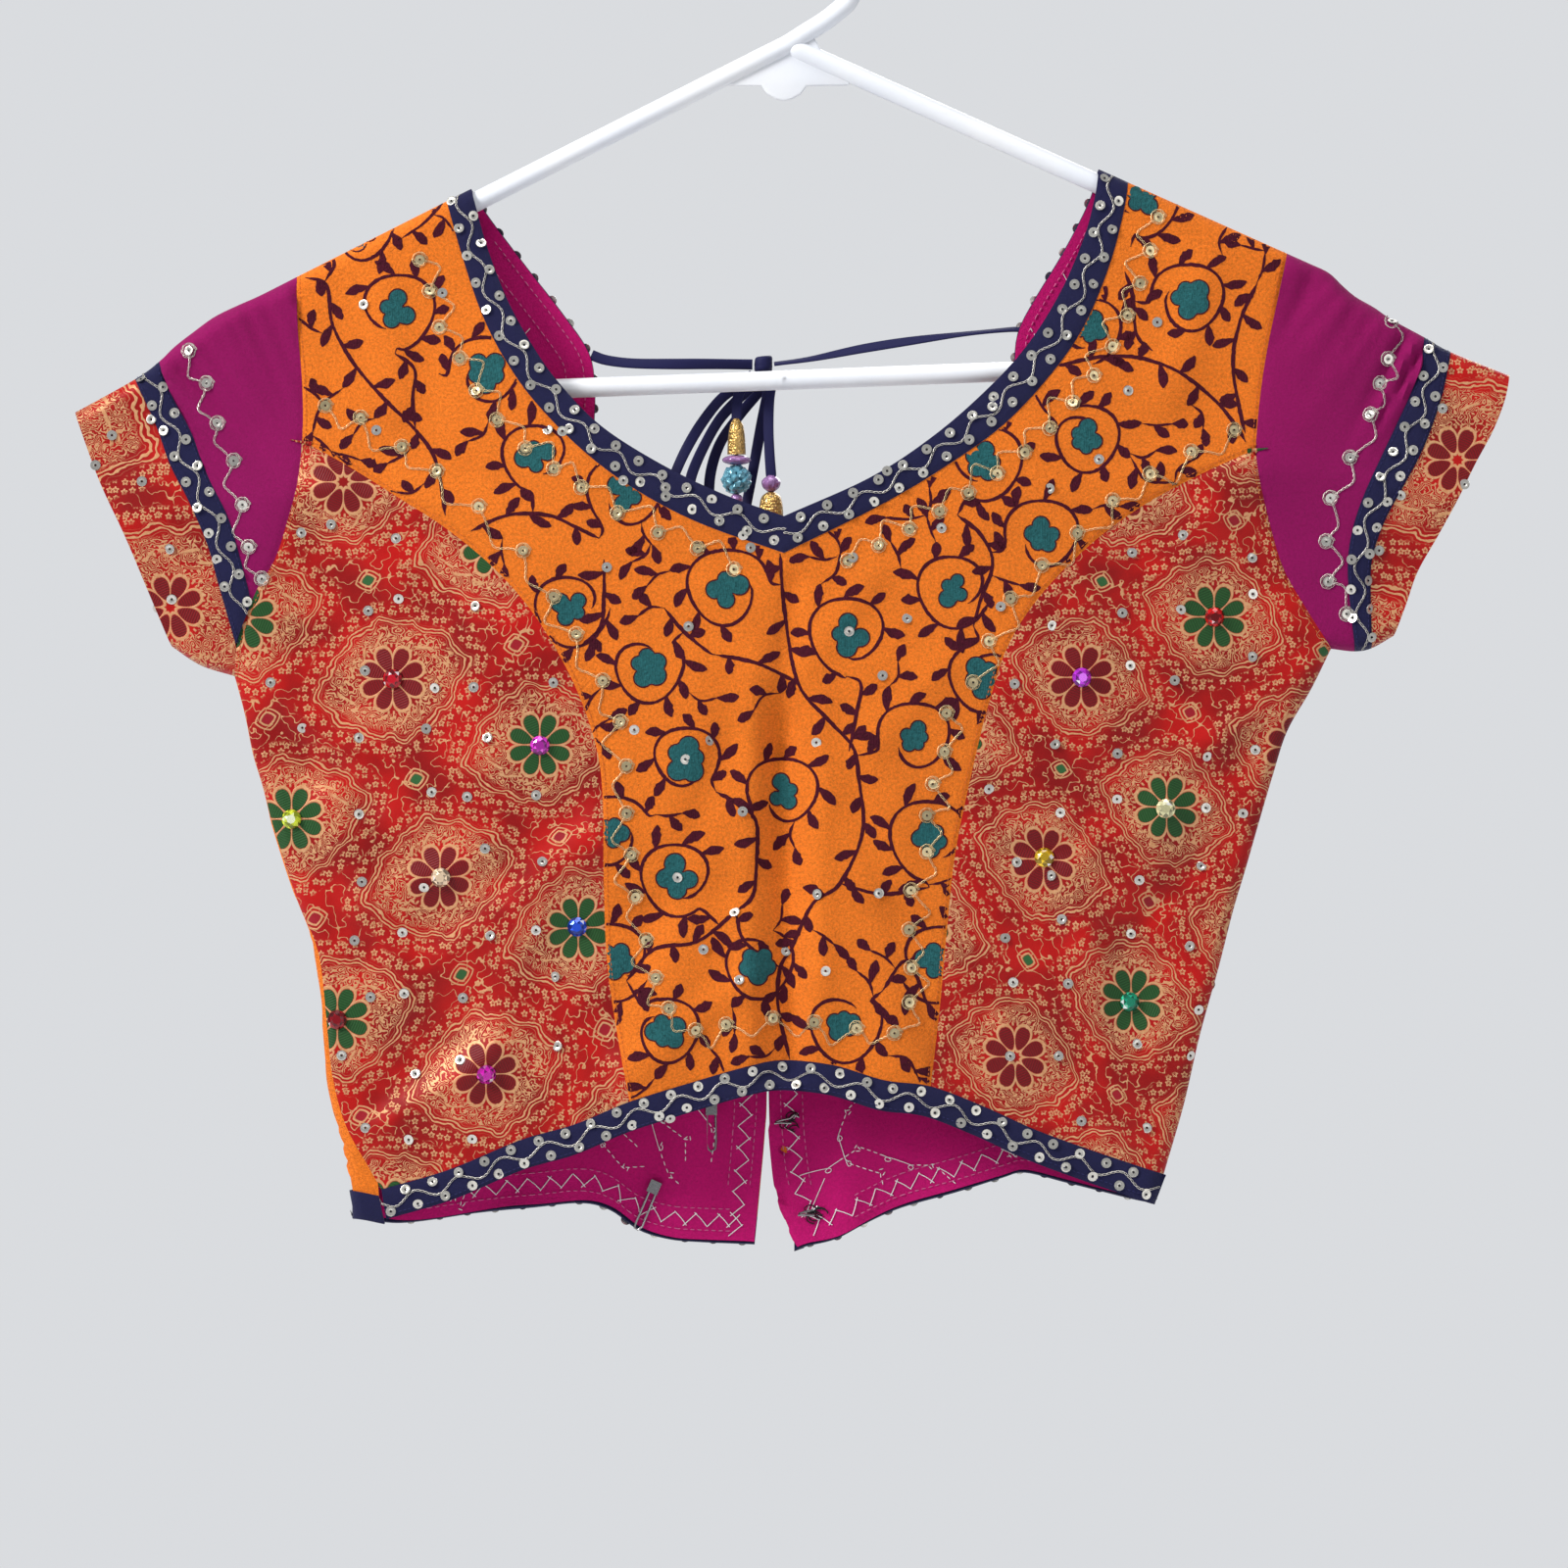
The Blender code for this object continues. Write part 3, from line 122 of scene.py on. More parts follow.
# Smaller creases, placed one by one: the same columns
FINE_FOLDS = (
    ("front", 3, -266, -3, -330, 5, -1.1),
    ("front", -3, -330, 3, -452, 4.5, -1.3),
    ("front", -13, -300, -15, -450, 6, 1.0),
    ("front", 14, -310, 13, -440, 6, 0.9),
    ("front", -24, -330, -70, -442, 7, -0.9),
    ("front", 26, -340, 60, -446, 7, -0.9),
    ("front", -98, -398, -128, -470, 9, 1.1),
    ("front", -176, -350, -150, -410, 8, 1.2),
    ("front", 112, -300, 150, -352, 8, 1.0),
    ("front", 110, -380, 128, -470, 8, 1.2),
    ("front", -205, -300, -168, -332, 7, 1.3),
    ("front", -199, -322, -160, -350, 6, -1.1),
    ("front", 204, -296, 170, -326, 7, 1.3),
    ("front", 190, -322, 154, -344, 6, -1.0),
    ("front", -176, -232, -150, -262, 9, 1.1),
    ("front", 174, -226, 150, -262, 9, 1.2),
    ("front", -168, -390, -118, -372, 7, 1.0),
    ("front", -64, -300, -20, -352, 8, 0.9),
    ("front", 62, -296, 20, -344, 8, 0.8),
    ("front", -60, -396, -14, -380, 9, -0.9),
    ("front", 58, -402, 12, -388, 9, -0.8),
    ("front", -58, -452, -14, -418, 6, 1.0),
    ("front", 54, -448, 14, -416, 6, 1.0),
    ("front", -30, -268, -4, -300, 7, 0.9),
    ("front", 34, -262, 6, -300, 7, 0.9),
    ("front", -170, -484, -110, -446, 6, 1.1),
    ("front", 134, -480, 84, -438, 6, 1.1),
    ("front", 160, -372, 128, -404, 5, -0.9),
    ("front", 84, -400, 116, -432, 7, 0.9),
    ("front", -156, -150, -150, -196, 8, 0.9),
    ("front", 164, -140, 150, -190, 8, 0.9),
    ("back", -176, -240, -120, -300, 14, 1.8),
    ("back", -184, -330, -120, -372, 12, -1.5),
    ("back", -150, -420, -90, -440, 11, 1.3),
    ("back", 172, -240, 112, -306, 14, 1.7),
    ("back", 180, -326, 110, -376, 12, -1.5),
    ("back", 140, -420, 70, -446, 11, 1.4),
    ("back", -34, -340, -40, -505, 9, -1.4),
    ("back", 24, -345, 22, -510, 9, -1.5),
    ("back", 86, -350, 82, -450, 9, -1.3),
    ("back", -96, -350, -106, -500, 9, 1.5),
    ("back", -160, -150, -150, -185, 10, 0.9),
    ("back", 160, -146, 150, -182, 10, 0.9),
)


def arm_z(x: float) -> float:
    """The height of the middle of the hanger's arm at x."""
    return APEX[1] - (LEFT_SLOPE if x < APEX[0] else RIGHT_SLOPE) * abs(x - APEX[0])


def shoulder_z(x: float) -> float:
    """The height of the shoulder's fold over the arm at x."""
    slope = LEFT_SLOPE if x < APEX[0] else RIGHT_SLOPE
    return arm_z(x) + SHOULDER_OVER_ARM * math.hypot(1, slope)


# Outlines in the hanger's plane. Columns: x, z
EDGES = {
    "top_left": [(x, shoulder_z(x)) for x in (-122, -131.5, -155, -172, -189.6, -204)]
    + [(-212.5, -157.2), (-221.5, -161.6), (-229, -167.0), (-237, -173.2), (-243, -179.0),
       (-252.3, -185.8), (-275.5, -198.7)],
    "top_right": [(x, shoulder_z(x)) for x in (121.2, 132.6, 148, 170, 194.2, 203)]
    + [(210.5, -144.6), (216, -149.8), (221, -154.0), (228, -158.0), (235, -162.8), (247.4, -169.5),
       (257.6, -175.2), (280.4, -184.4)],
    "armhole_left": [(-189.6, shoulder_z(-189.6)), (-188.9, -168), (-187.3, -187.3), (-187.0, -206.7),
                     (-188.9, -226.1), (-192.7, -240.5), (-197.6, -255.4), (-204.4, -266.8),
                     (-208.9, -277.5), (-212.4, -288.0), (-213.8, -301.0)],
    "armhole_right": [(194.2, shoulder_z(194.2)), (190.4, -155), (187.3, -169.5), (184.7, -183.9),
                      (182.4, -203.3), (182.0, -218.1), (186.2, -238.3), (192.3, -258.8),
                      (200.6, -273.6), (211.3, -290.4)],
    "fold_left": [(-213.8, -301.0), (-209.8, -316.2), (-206.7, -331.4), (-202.9, -344), (-199.0, -360.2),
                  (-192.3, -381.5), (-184.7, -400.9), (-180.5, -426), (-178.6, -456), (-173.4, -478.4),
                  (-169.9, -495.9), (-168.0, -513.0)],
    "fold_right": [(211.3, -290.4), (203.7, -305.9), (194.4, -322.2), (188.9, -339), (183.2, -358.3),
                   (178.2, -375.8), (173.3, -392.2), (167.6, -414.6), (160.6, -439.7), (154.3, -467),
                   (147.6, -490.2), (143.0, -505.8)],
    "side_seam_left": [(-213.5, -301.0), (-209.5, -316.2), (-206.4, -331.4), (-202.6, -344),
                       (-198.4, -360.2), (-188.9, -389), (-181.0, -408.5), (-177.8, -436),
                       (-175.6, -456), (-170.6, -474.6), (-161.6, -491.0), (-156.6, -499.7)],
    "under_left": [(-213.8, -301.0), (-227.0, -296.8), (-238.0, -289.6)],
    "under_right": [(211.3, -290.4), (220.4, -291.4), (227.0, -290.2), (235.6, -285.4)],
    "brocade_left": [(-187.2, -210.1), (-169.1, -220), (-149.7, -232.2), (-130.3, -244.8), (-111, -261.2),
                     (-95.4, -280.0), (-81.7, -304.4), (-73.0, -329.5), (-70.6, -352), (-70.4, -380),
                     (-69.2, -410.4), (-66.1, -434), (-60.4, -465.5)],
    "brocade_right": [(182.0, -213.2), (160, -223.1), (136.5, -236.0), (115.5, -251.9), (97.0, -271.3),
                      (85.4, -289.8), (78.7, -310.1), (73.7, -329.5), (65.6, -367.8), (62.0, -400.9),
                      (59.3, -430.2), (55.9, -459)],
    "neck_outer_left": [(-131.5, shoulder_z(-131.5)), (-125.6, -137.6), (-118.0, -160.0),
                        (-109.1, -177.8), (-97.0, -195.0), (-77.5, -214.8), (-56.6, -230.0),
                        (-33.0, -242.2), (-0.8, -253.6)],
    "neck_inner_left": [(-122.0, shoulder_z(-122)), (-115.4, -135.7), (-107.2, -156.6),
                        (-97.7, -173.7), (-88.0, -187.4), (-71.5, -204.4), (-48.0, -219.4),
                        (-24.0, -231.0), (-0.8, -239.4)],
    "neck_outer_right": [(132.6, shoulder_z(132.6)), (130.8, -121.0), (125.4, -141.4),
                         (115.8, -164.6), (103.7, -182.8), (84.9, -203.2), (62.6, -219.5),
                         (36.0, -235.4), (-0.8, -253.6)],
    "neck_inner_right": [(121.2, shoulder_z(121.2)), (119.4, -116.3), (115.0, -132.2),
                         (105.7, -153.4), (92.6, -174.0), (76.3, -191.6), (56.6, -208.6),
                         (32.6, -224.4), (-0.8, -239.4)],
    "centre_front": [(-0.8, -253.6), (-0.8, -320), (-0.8, -380), (-0.8, -449.5)],
    "hem_top": [(-156.6, -499.7), (-130.3, -492.0), (-103, -480.6), (-81.7, -474.4), (-60.4, -465.5),
                (-33.4, -457.1), (-14.1, -451.6), (-0.8, -449.5), (18.6, -451.4), (38, -457.2),
                (55.9, -459.6), (76.8, -467.6), (96.1, -476.4), (115.5, -483.6), (134.9, -490.2),
                (147.2, -494.2)],
    "back_edge_left": [(-122.0, shoulder_z(-122)), (-115.4, -122.4), (-101.1, -141.4),
                       (-86.5, -160.2), (-76.4, -175.4), (-74.2, -190), (-74.4, -206), (-72.4, -230),
                       (-64.6, -259.2), (-48.3, -289.6), (-27.4, -310.5), (-7.2, -321.9)],
    "back_edge_right": [(121.2, shoulder_z(121.2)), (117.6, -116.6), (107.9, -135.7),
                        (96.8, -154.0), (90.2, -167.0), (88.6, -181), (87.8, -204.2), (83.6, -236.4),
                        (71.4, -270.6), (50.5, -297.2), (22, -314.3), (-6.4, -321.9)],
    "centre_back_left": [(-7.2, -321.9), (-7.2, -390), (-7.4, -460.9), (-8.2, -478.4), (-9.9, -497.8),
                         (-12.2, -522.1)],
    "centre_back_right": [(-6.4, -321.9), (-6.4, -390), (-6.2, -461.3), (-4.2, -490), (-0.8, -506.5),
                          (6.8, -522.9)],
    "back_hem_left": [(-180.6, -513.2), (-168.2, -511.2), (-149.7, -513.4), (-120.5, -509.6),
                      (-99.2, -507.7), (-80, -506.0), (-68.4, -508.8), (-57.5, -516.4), (-46, -520),
                      (-33.4, -521.2), (-12.2, -522.1)],
    "back_hem_right": [(143.0, -505.4), (135.3, -504.3), (110, -498.2), (93, -494.0), (84, -496.0),
                       (65.4, -501.8), (44.5, -507.9), (30.4, -514.1), (19, -520.0), (6.8, -522.9)],
    "band_in_left": [(-243, -179.0), (-237.9, -192.3), (-230.2, -206.7), (-223.4, -224.2),
                     (-215.8, -239.8), (-210.9, -256.5), (-208.0, -267.5)],
    "band_out_left": [(-252.3, -185.8), (-244.0, -203.7), (-238.3, -219.3), (-230.7, -234.1),
                      (-223.8, -250.4), (-219.8, -264.9), (-213.0, -288.6)],
    "cuff_hem_left": [(-275.5, -198.7), (-266, -225), (-256, -246.4), (-246.6, -269.0), (-238, -289.6)],
    "band_in_right": [(247.4, -169.5), (245.5, -181.3), (241.7, -191.9), (236, -204.3), (229.9, -217),
                      (223.8, -230.3), (219.3, -243.8), (217.4, -256.9), (218.1, -270.8),
                      (220.4, -291.4)],
    "band_out_right": [(257.6, -175.2), (254.4, -190.8), (250.4, -203.3), (245.3, -215.6),
                       (238.6, -228.0), (231.4, -241.6), (226.8, -256.0), (226.4, -270.7),
                       (227.0, -290.2)],
    "cuff_hem_right": [(280.4, -184.4), (278.2, -194.6), (273.6, -206.3), (266.8, -218.9),
                       (260.4, -231.8), (252.4, -246.6), (244.6, -260.5), (240.2, -273), (235.6, -285.4)],
}

# Routes of the tie. Columns: x, y, z
TIE_ROUTES = {
    "tie_span_left": [(-75.6, 9.8, -176.0), (-70, 9.0, -178.0), (-60, 8.2, -179.3), (-45, 7.8, -179.6),
                      (-30, 7.6, -179.6), (-13.0, 7.6, -179.8)],
    "tie_span_right": [(-4.6, 7.6, -179.6), (10, 7.6, -177.6), (30, 7.8, -173.6), (50, 8.2, -170.4),
                       (70, 8.8, -167.8), (86, 9.8, -166.2), (91.4, 10.4, -166.0)],
    "bow_loop_left": [(-11.4, 9.6, -184.2), (-17, 10.0, -187.4), (-25, 10.2, -192.8), (-32.4, 9.6, -202),
                      (-38.4, 8.6, -212), (-43, 7.4, -222), (-47.4, 6.2, -234), (-50.4, 5.4, -245),
                      (-48, 5.0, -252.6), (-42, 5.0, -250), (-39.8, 5.4, -241), (-38.2, 6.2, -231),
                      (-36.4, 7.2, -222), (-31.6, 8.8, -211), (-25.8, 10.8, -201), (-19.0, 13.2, -193.4),
                      (-13.8, 14.0, -188.4), (-10.6, 13.6, -184.4)],
    "bow_loop_right": [(-5.8, 10.6, -184.2), (-7.0, 12.0, -190), (-9.0, 13.4, -200), (-11.6, 14.4, -214),
                       (-14.6, 14.8, -230), (-18.0, 14.8, -244), (-23.6, 14.4, -251.4),
                       (-28.4, 14.4, -246), (-29.8, 14.8, -234), (-29.4, 15.6, -222),
                       (-25.6, 16.8, -210), (-18.0, 17.8, -199), (-10.6, 18.0, -190),
                       (-7.0, 15.6, -184.8)],
    "tie_end_1": [(-12.6, 5.9, -183.6), (-15.6, 5.9, -186.6), (-18.0, 5.9, -190.4), (-19.0, 5.8, -195),
                  (-19.2, 5.8, -200.6)],
    "tie_end_2": [(-5.6, 6.4, -184.0), (-5.8, 6.2, -188), (-6.6, 6.1, -194), (-6.8, 6.0, -204),
                  (-6.4, 6.0, -214), (-5.8, 6.0, -222.6)],
}

# Stones: x, z, colour. The first seven are on the left panel
STONES = (
    (-152.0, -302.1, (0.42, 0.002, 0.012)), (-95.0, -327.9, (0.60, 0.03, 0.50)),
    (-191.4, -356.4, (0.52, 0.60, 0.02)), (-133.4, -378.9, (0.72, 0.52, 0.34)),
    (-80.6, -397.9, (0.01, 0.07, 0.62)), (-173.7, -434.0, (0.22, 0.001, 0.006)),
    (-115.9, -454.9, (0.52, 0.006, 0.34)), (114.0, -301.7, (0.40, 0.02, 0.52)),
    (165.7, -278.2, (0.50, 0.002, 0.004)), (146.7, -352.3, (0.74, 0.66, 0.36)),
    (99.8, -371.3, (0.74, 0.44, 0.01)), (133.0, -427.1, (0.003, 0.30, 0.16)),
)

# Tassels under the tie's ends. Profile columns: height under the end, radius
CONE = ((-0.3, 1.2), (-3.0, 2.6), (-8.0, 3.3), (-14.2, 3.6))
DOME = ((-6.9, 1.6), (-8.6, 3.6), (-12.0, 4.5), (-17.5, 4.7), (-20.5, 3.6), (-23.4, 1.4))
CRYSTAL = ((-0.3, 1.2), (-2.4, 3.6), (-5.0, 3.2), (-6.6, 1.4))

# Where the hooks are sewn on the right lining. Columns: x, z
HOOKS = ((1.6, -474.4), (10.6, -510.0))


class Side(Enum):
    """The blouse's two sides, as seen from the front."""

    LEFT = "left"
    RIGHT = "right"


class Face(Enum):
    """Which way a layer of cloth looks: its value is the sign of Y there."""

    FRONT = -1
    BACK = 1


class Hold(Enum):
    HUNG = "hung"
    STRETCHED = "stretched"


def smooth_line(points: Sequence[Sequence[float]], per_span: int = 8) -> Line:
    """A Catmull-Rom curve through the points.

    Args:
        points: the curve's own points, in order.
        per_span: how many points to make between two of them.

    Returns:
        The close points as rows.
    """
    p = np.array(points, float)
    p = np.vstack([2 * p[0] - p[1], p, 2 * p[-1] - p[-2]])
    t = (np.arange(per_span) / per_span)[:, None]
    out = []
    for a, b, c, d in zip(p[:-3], p[1:-2], p[2:-1], p[3:]):
        out.append(0.5 * (2 * b + (c - a) * t + (2 * a - 5 * b + 4 * c - d) * t**2
                          + (3 * b - a - 3 * c + d) * t**3))
    return np.vstack(out + [p[-2:-1]])


LINES = {name: smooth_line(points) for name, points in EDGES.items()}
CLOSED_EDGES = ("top_left", "top_right", "under_left", "under_right", "fold_left", "fold_right")
SEWN_EDGES = ("brocade_left", "brocade_right", "armhole_left", "armhole_right")


def reach(line: Line) -> np.ndarray:
    """The distance along a line at each of its points."""
    return np.concatenate([[0.0], np.cumsum(np.linalg.norm(np.diff(line, axis=0), axis=1))])


def at(line: Line, distances: Sequence[float]) -> Line:
    """Points on a line at the given distances along it."""
    run = reach(line)
    return np.column_stack([np.interp(distances, run, line[:, k]) for k in range(line.shape[1])])


def nearest_run(line: Line, point: Sequence[float]) -> float:
    """How far along a line the place nearest to a point is."""
    along = np.diff(line, axis=0)
    lengths = np.linalg.norm(along, axis=1)
    t = np.clip(((np.asarray(point) - line[:-1]) * along).sum(axis=1) / lengths**2, 0, 1)
    off = np.linalg.norm(line[:-1] + t[:, None] * along - point, axis=1)
    best = int(np.argmin(off))
    return float(lengths[:best].sum() + t[best] * lengths[best])


def stretch(line: Line, start: Sequence[float] | None = None, end: Sequence[float] | None = None) -> Line:
    """The part of a line between two places near it, either of which may be left out."""
    run = reach(line)
    a = 0.0 if start is None else nearest_run(line, start)
    b = float(run[-1]) if end is None else nearest_run(line, end)
    inner = [r for r in run if min(a, b) < r < max(a, b)]
    return at(line, [a] + (inner if a < b else inner[::-1]) + [b])


def beside(line: Line, amount: float) -> Line:
    """A line beside another. A positive amount goes to the right of its direction."""
    way = np.gradient(line, axis=0)
    way /= np.maximum(np.linalg.norm(way, axis=1, keepdims=True), 1e-9)
    return line + amount * np.column_stack([way[:, 1], -way[:, 0]])


def near_line(points: Line, line: Line) -> tuple[np.ndarray, np.ndarray]:
    """The distance of each point from a line, and how far along the line its nearest place is."""
    best, where = np.full(len(points), 1e9), np.zeros(len(points))
    run = reach(line)
    for k, (a, b) in enumerate(zip(line[:-1], line[1:])):
        along = b - a
        size = max(float(along @ along), 1e-12)
        t = np.clip(((points - a) @ along) / size, 0, 1)
        off = np.hypot(points[:, 0] - a[0] - t * along[0], points[:, 1] - a[1] - t * along[1])
        closer = off < best
        best[closer] = off[closer]
        where[closer] = run[k] + t[closer] * math.sqrt(size)
    return best, where


def inside(points: Line, outline: Line) -> np.ndarray:
    """Whether each point lies in a closed outline."""
    x, z = points[:, 0], points[:, 1]
    result = np.zeros(len(points), bool)
    for (ax, az), (bx, bz) in zip(outline, np.roll(outline, -1, axis=0)):
        if az != bz:
            crosses = (az > z) != (bz > z)
            result ^= crosses & (x < ax + (z - az) * (bx - ax) / (bz - az))
    return result


@dataclass(frozen=True)
class Crease:
    """One soft fold of the cloth, straight, with a smooth cross-section and fading ends."""

    face: Face
    start: tuple[float, float]
    end: tuple[float, float]
    half_width: float
    height: float

    def lift(self, points: Line) -> np.ndarray:
        """How far the fold moves the cloth out at each point."""
        a, along = np.array(self.start), np.subtract(self.end, self.start)
        t = np.clip(((points - a) @ along) / (along @ along), 0, 1)
        far = np.linalg.norm(points - a - t[:, None] * along, axis=1)
        return self.height * np.exp(-((far / self.half_width) ** 2))


@dataclass
class Drape:
    """The hung form of the blouse: how far each layer stands from the hanger's plane."""

    creases: list[Crease] = field(default_factory=list)
    seam_drop: float = 0.55
    seam_width: float = 1.5
    pucker: float = 0.2
    pucker_pitch: float = 6.5
    sway: float = 0.45

    def fold_distance(self, points: Line) -> np.ndarray:
        """How far each point is from the nearest folded edge."""
        return np.min([near_line(points, LINES[name])[0] for name in CLOSED_EDGES], axis=0)

    def seams(self, points: Line) -> np.ndarray:
        """The groove and the small puckers along the sewn edges."""
        total = np.zeros(len(points))
        for name in SEWN_EDGES:
            far, run = near_line(points, LINES[name])
            total -= self.seam_drop * np.exp(-((far / self.seam_width) ** 2))
            wave = np.sin(2 * math.pi * run / self.pucker_pitch + 1.7 * np.sin(run / 23.0))
            total += self.pucker * wave * np.exp(-far / 5.0)
        return total

    def sways(self, points: Line, face: Face) -> np.ndarray:
        """Slow uneven waves of limp cloth."""
        x, z = points[:, 0], points[:, 1] + face.value * 37.0
        return self.sway * (np.sin(0.061 * x + 0.9 * np.sin(0.023 * z) + 0.4) * np.cos(0.031 * z + 0.8)
                            + 0.6 * np.sin(0.118 * x - 0.042 * z + 1.3 * np.sin(0.037 * z)))

    def out(self, points: Line, face: Face) -> np.ndarray:
        """How far the cloth stands out at each point."""
        d = self.fold_distance(points)
        front = face is Face.FRONT
        roll, swell = (FRONT_ROLL, FRONT_SWELL) if front else (BACK_ROLL, BACK_SWELL)
        t = np.clip(d / SWELL_REACH, 0, 1)
        rolled = roll * np.sqrt(1 - (1 - np.minimum(d, ROLL_R) / ROLL_R) ** 2)
        soft = np.sum([c.lift(points) for c in self.creases if c.face is face], axis=0)
        if not front:
            low = np.clip((PLEAT_TOP_Z - points[:, 1]) / 30.0, 0, 1)
            right = 1 / (1 + np.exp(-(points[:, 0] - PLEAT_X) / PLEAT_SOFT))
            soft = soft + PLEAT_STEP * low * (right - 0.5) * (points[:, 0] > 0)
        near_fold = np.clip(d / 20.0, 0, 1)
        fine = self.sways(points, face) * near_fold + self.seams(points) * np.clip(d / 3.0, 0, 1)
        return rolled + swell * t * t * (3 - 2 * t) + soft * near_fold + fine

    def place(self, points: Line, face: Face, up: float | np.ndarray = 0.0) -> np.ndarray:
        """Points in space on a layer, moved out by a height above it."""
        y = face.value * (np.maximum(self.out(points, face), 0.0) + up)
        return np.column_stack([points[:, 0], y, points[:, 1]])

    def outward(self, points: Line, face: Face) -> np.ndarray:
        """The layer's own direction outwards at each point."""
        step = 0.4
        here = self.out(points, face)
        slope_x = (self.out(points + [step, 0], face) - here) / step
        slope_z = (self.out(points + [0, step], face) - here) / step
        way = np.column_stack([-slope_x, np.full(len(points), face.value, float), -slope_z])
        return way / np.linalg.norm(way, axis=1, keepdims=True)

    def wrapped(self, points: Line, up: float | np.ndarray = 0.0) -> np.ndarray:
        """Like place, on the left back, whose points past the fold lie on the front."""
        fold = LINES["fold_left"]
        fold_x = np.interp(-points[:, 1], -fold[:, 1], fold[:, 0])
        past = (points[:, 1] < fold[0][1]) & (points[:, 0] < fold_x)
        real = points.copy()
        real[past, 0] = 2 * fold_x[past] - points[past, 0]
        up = np.broadcast_to(np.asarray(up, float), past.shape)
        return np.where(past[:, None], self.place(real, Face.FRONT, up), self.place(real, Face.BACK, up))


DRAPE = Drape([Crease(Face.FRONT if f[0] == "front" else Face.BACK, (f[1], f[2]), (f[3], f[4]), f[5],
                      f[6] * lift) for table, lift in ((FOLDS, 1.0), (FINE_FOLDS, FINE_LIFT)) for f in table])


ROLLS = (0.15, 0.5, 1.1, 2.0, 3.2, 4.6)
ROLL_STEPS = len(ROLLS) + 1


def stops(length: float, steps: int, roll_start: bool = False, roll_end: bool = False) -> np.ndarray:
    """Distances along an edge: even steps, with close ones where the cloth rolls over a fold."""
    near = [0.0] + (list(ROLLS) if roll_start else [])
    far = ([length - s for s in reversed(ROLLS)] if roll_end else []) + [length]
    return np.array(near + list(np.linspace(near[-1], far[0], steps + 1)[1:-1]) + far)


def edge(*stretches: tuple[Line, int, bool]) -> Line:
    """Points of an edge made of stretches: line, steps, and whether it starts with a roll."""
    out: list[Line] = []
    for line, steps, roll in stretches:
        points = at(line, stops(reach(line)[-1], steps, roll))
        out.append(points if not out else points[1:])
    return np.vstack(out)


def patch(start: Line, end: Line, steps: int, top: Line | None = None, bottom: Line | None = None,
          roll: bool = False) -> Grid:
    """A grid of rows between two edges.

    Args:
        start: the edge at each row's first point.
        end: the edge at each row's last point.
        steps: how many steps a row has.
        top: the line that the first row follows.
        bottom: the line that the last row follows.
        roll: whether the rows start with the close steps of a folded edge.

    Returns:
        The flat points, rows by columns by two.
    """
    rows = []
    for a, b in zip(start, end):
        size = max(float(np.linalg.norm(b - a)), 1e-9)
        rows.append(a + (stops(size, steps, roll) / size)[:, None] * (b - a))
    grid = np.array(rows)
    share = (reach(start) / reach(start)[-1] + reach(end) / reach(end)[-1]) / 2
    for line, row, weight in ((top, 0, 1 - share), (bottom, -1, share)):
        if line is not None:
            shift = at(line, stops(reach(line)[-1], steps, roll)) - grid[row]
            grid = grid + weight[:, None, None] * shift[None]
    return grid


def link(name: str, data: bpy.types.ID) -> bpy.types.Object:
    """A new object of a mesh, camera or lamp in the scene."""
    made = bpy.data.objects.new(name, data)
    bpy.context.scene.collection.objects.link(made)
    return made


def shade(mesh: bpy.types.Mesh, sharp_deg: float = 50.0) -> None:
    """Smooth shading with sharp edges past an angle."""
    mesh.shade_smooth()
    mesh.set_sharp_from_angle(angle=math.radians(sharp_deg))


def mesh_of(name: str, points: np.ndarray, faces: Sequence[Sequence[int]], sharp_deg: float = 50.0,
            scale: float = MM) -> bpy.types.Object:
    """An object from points and faces, smooth shaded."""
    mesh = bpy.data.meshes.new(name)
    mesh.from_pydata((np.asarray(points) * scale).tolist(), [], [list(f) for f in faces])
    mesh.update()
    shade(mesh, sharp_deg)
    return link(name, mesh)


def from_bmesh(name: str, work: bmesh.types.BMesh, sharp_deg: float | None = 50.0) -> bpy.types.Object:
    """An object from a bmesh, which is freed. It stays flat shaded where no angle is given."""
    mesh = bpy.data.meshes.new(name)
    work.to_mesh(mesh)
    work.free()
    if sharp_deg is not None:
        shade(mesh, sharp_deg)
    return link(name, mesh)


def grid_faces(rows: int, columns: int, ring: bool = False, first: int = 0) -> np.ndarray:
    """The quads of a grid. A ring joins its last row to its first."""
    i, j = np.meshgrid(np.arange(rows if ring else rows - 1), np.arange(columns - 1), indexing="ij")
    a = first + (i * columns + j).ravel()
    b = first + ((i + 1) % rows * columns + j).ravel()
    return np.column_stack([a, a + 1, b + 1, b])


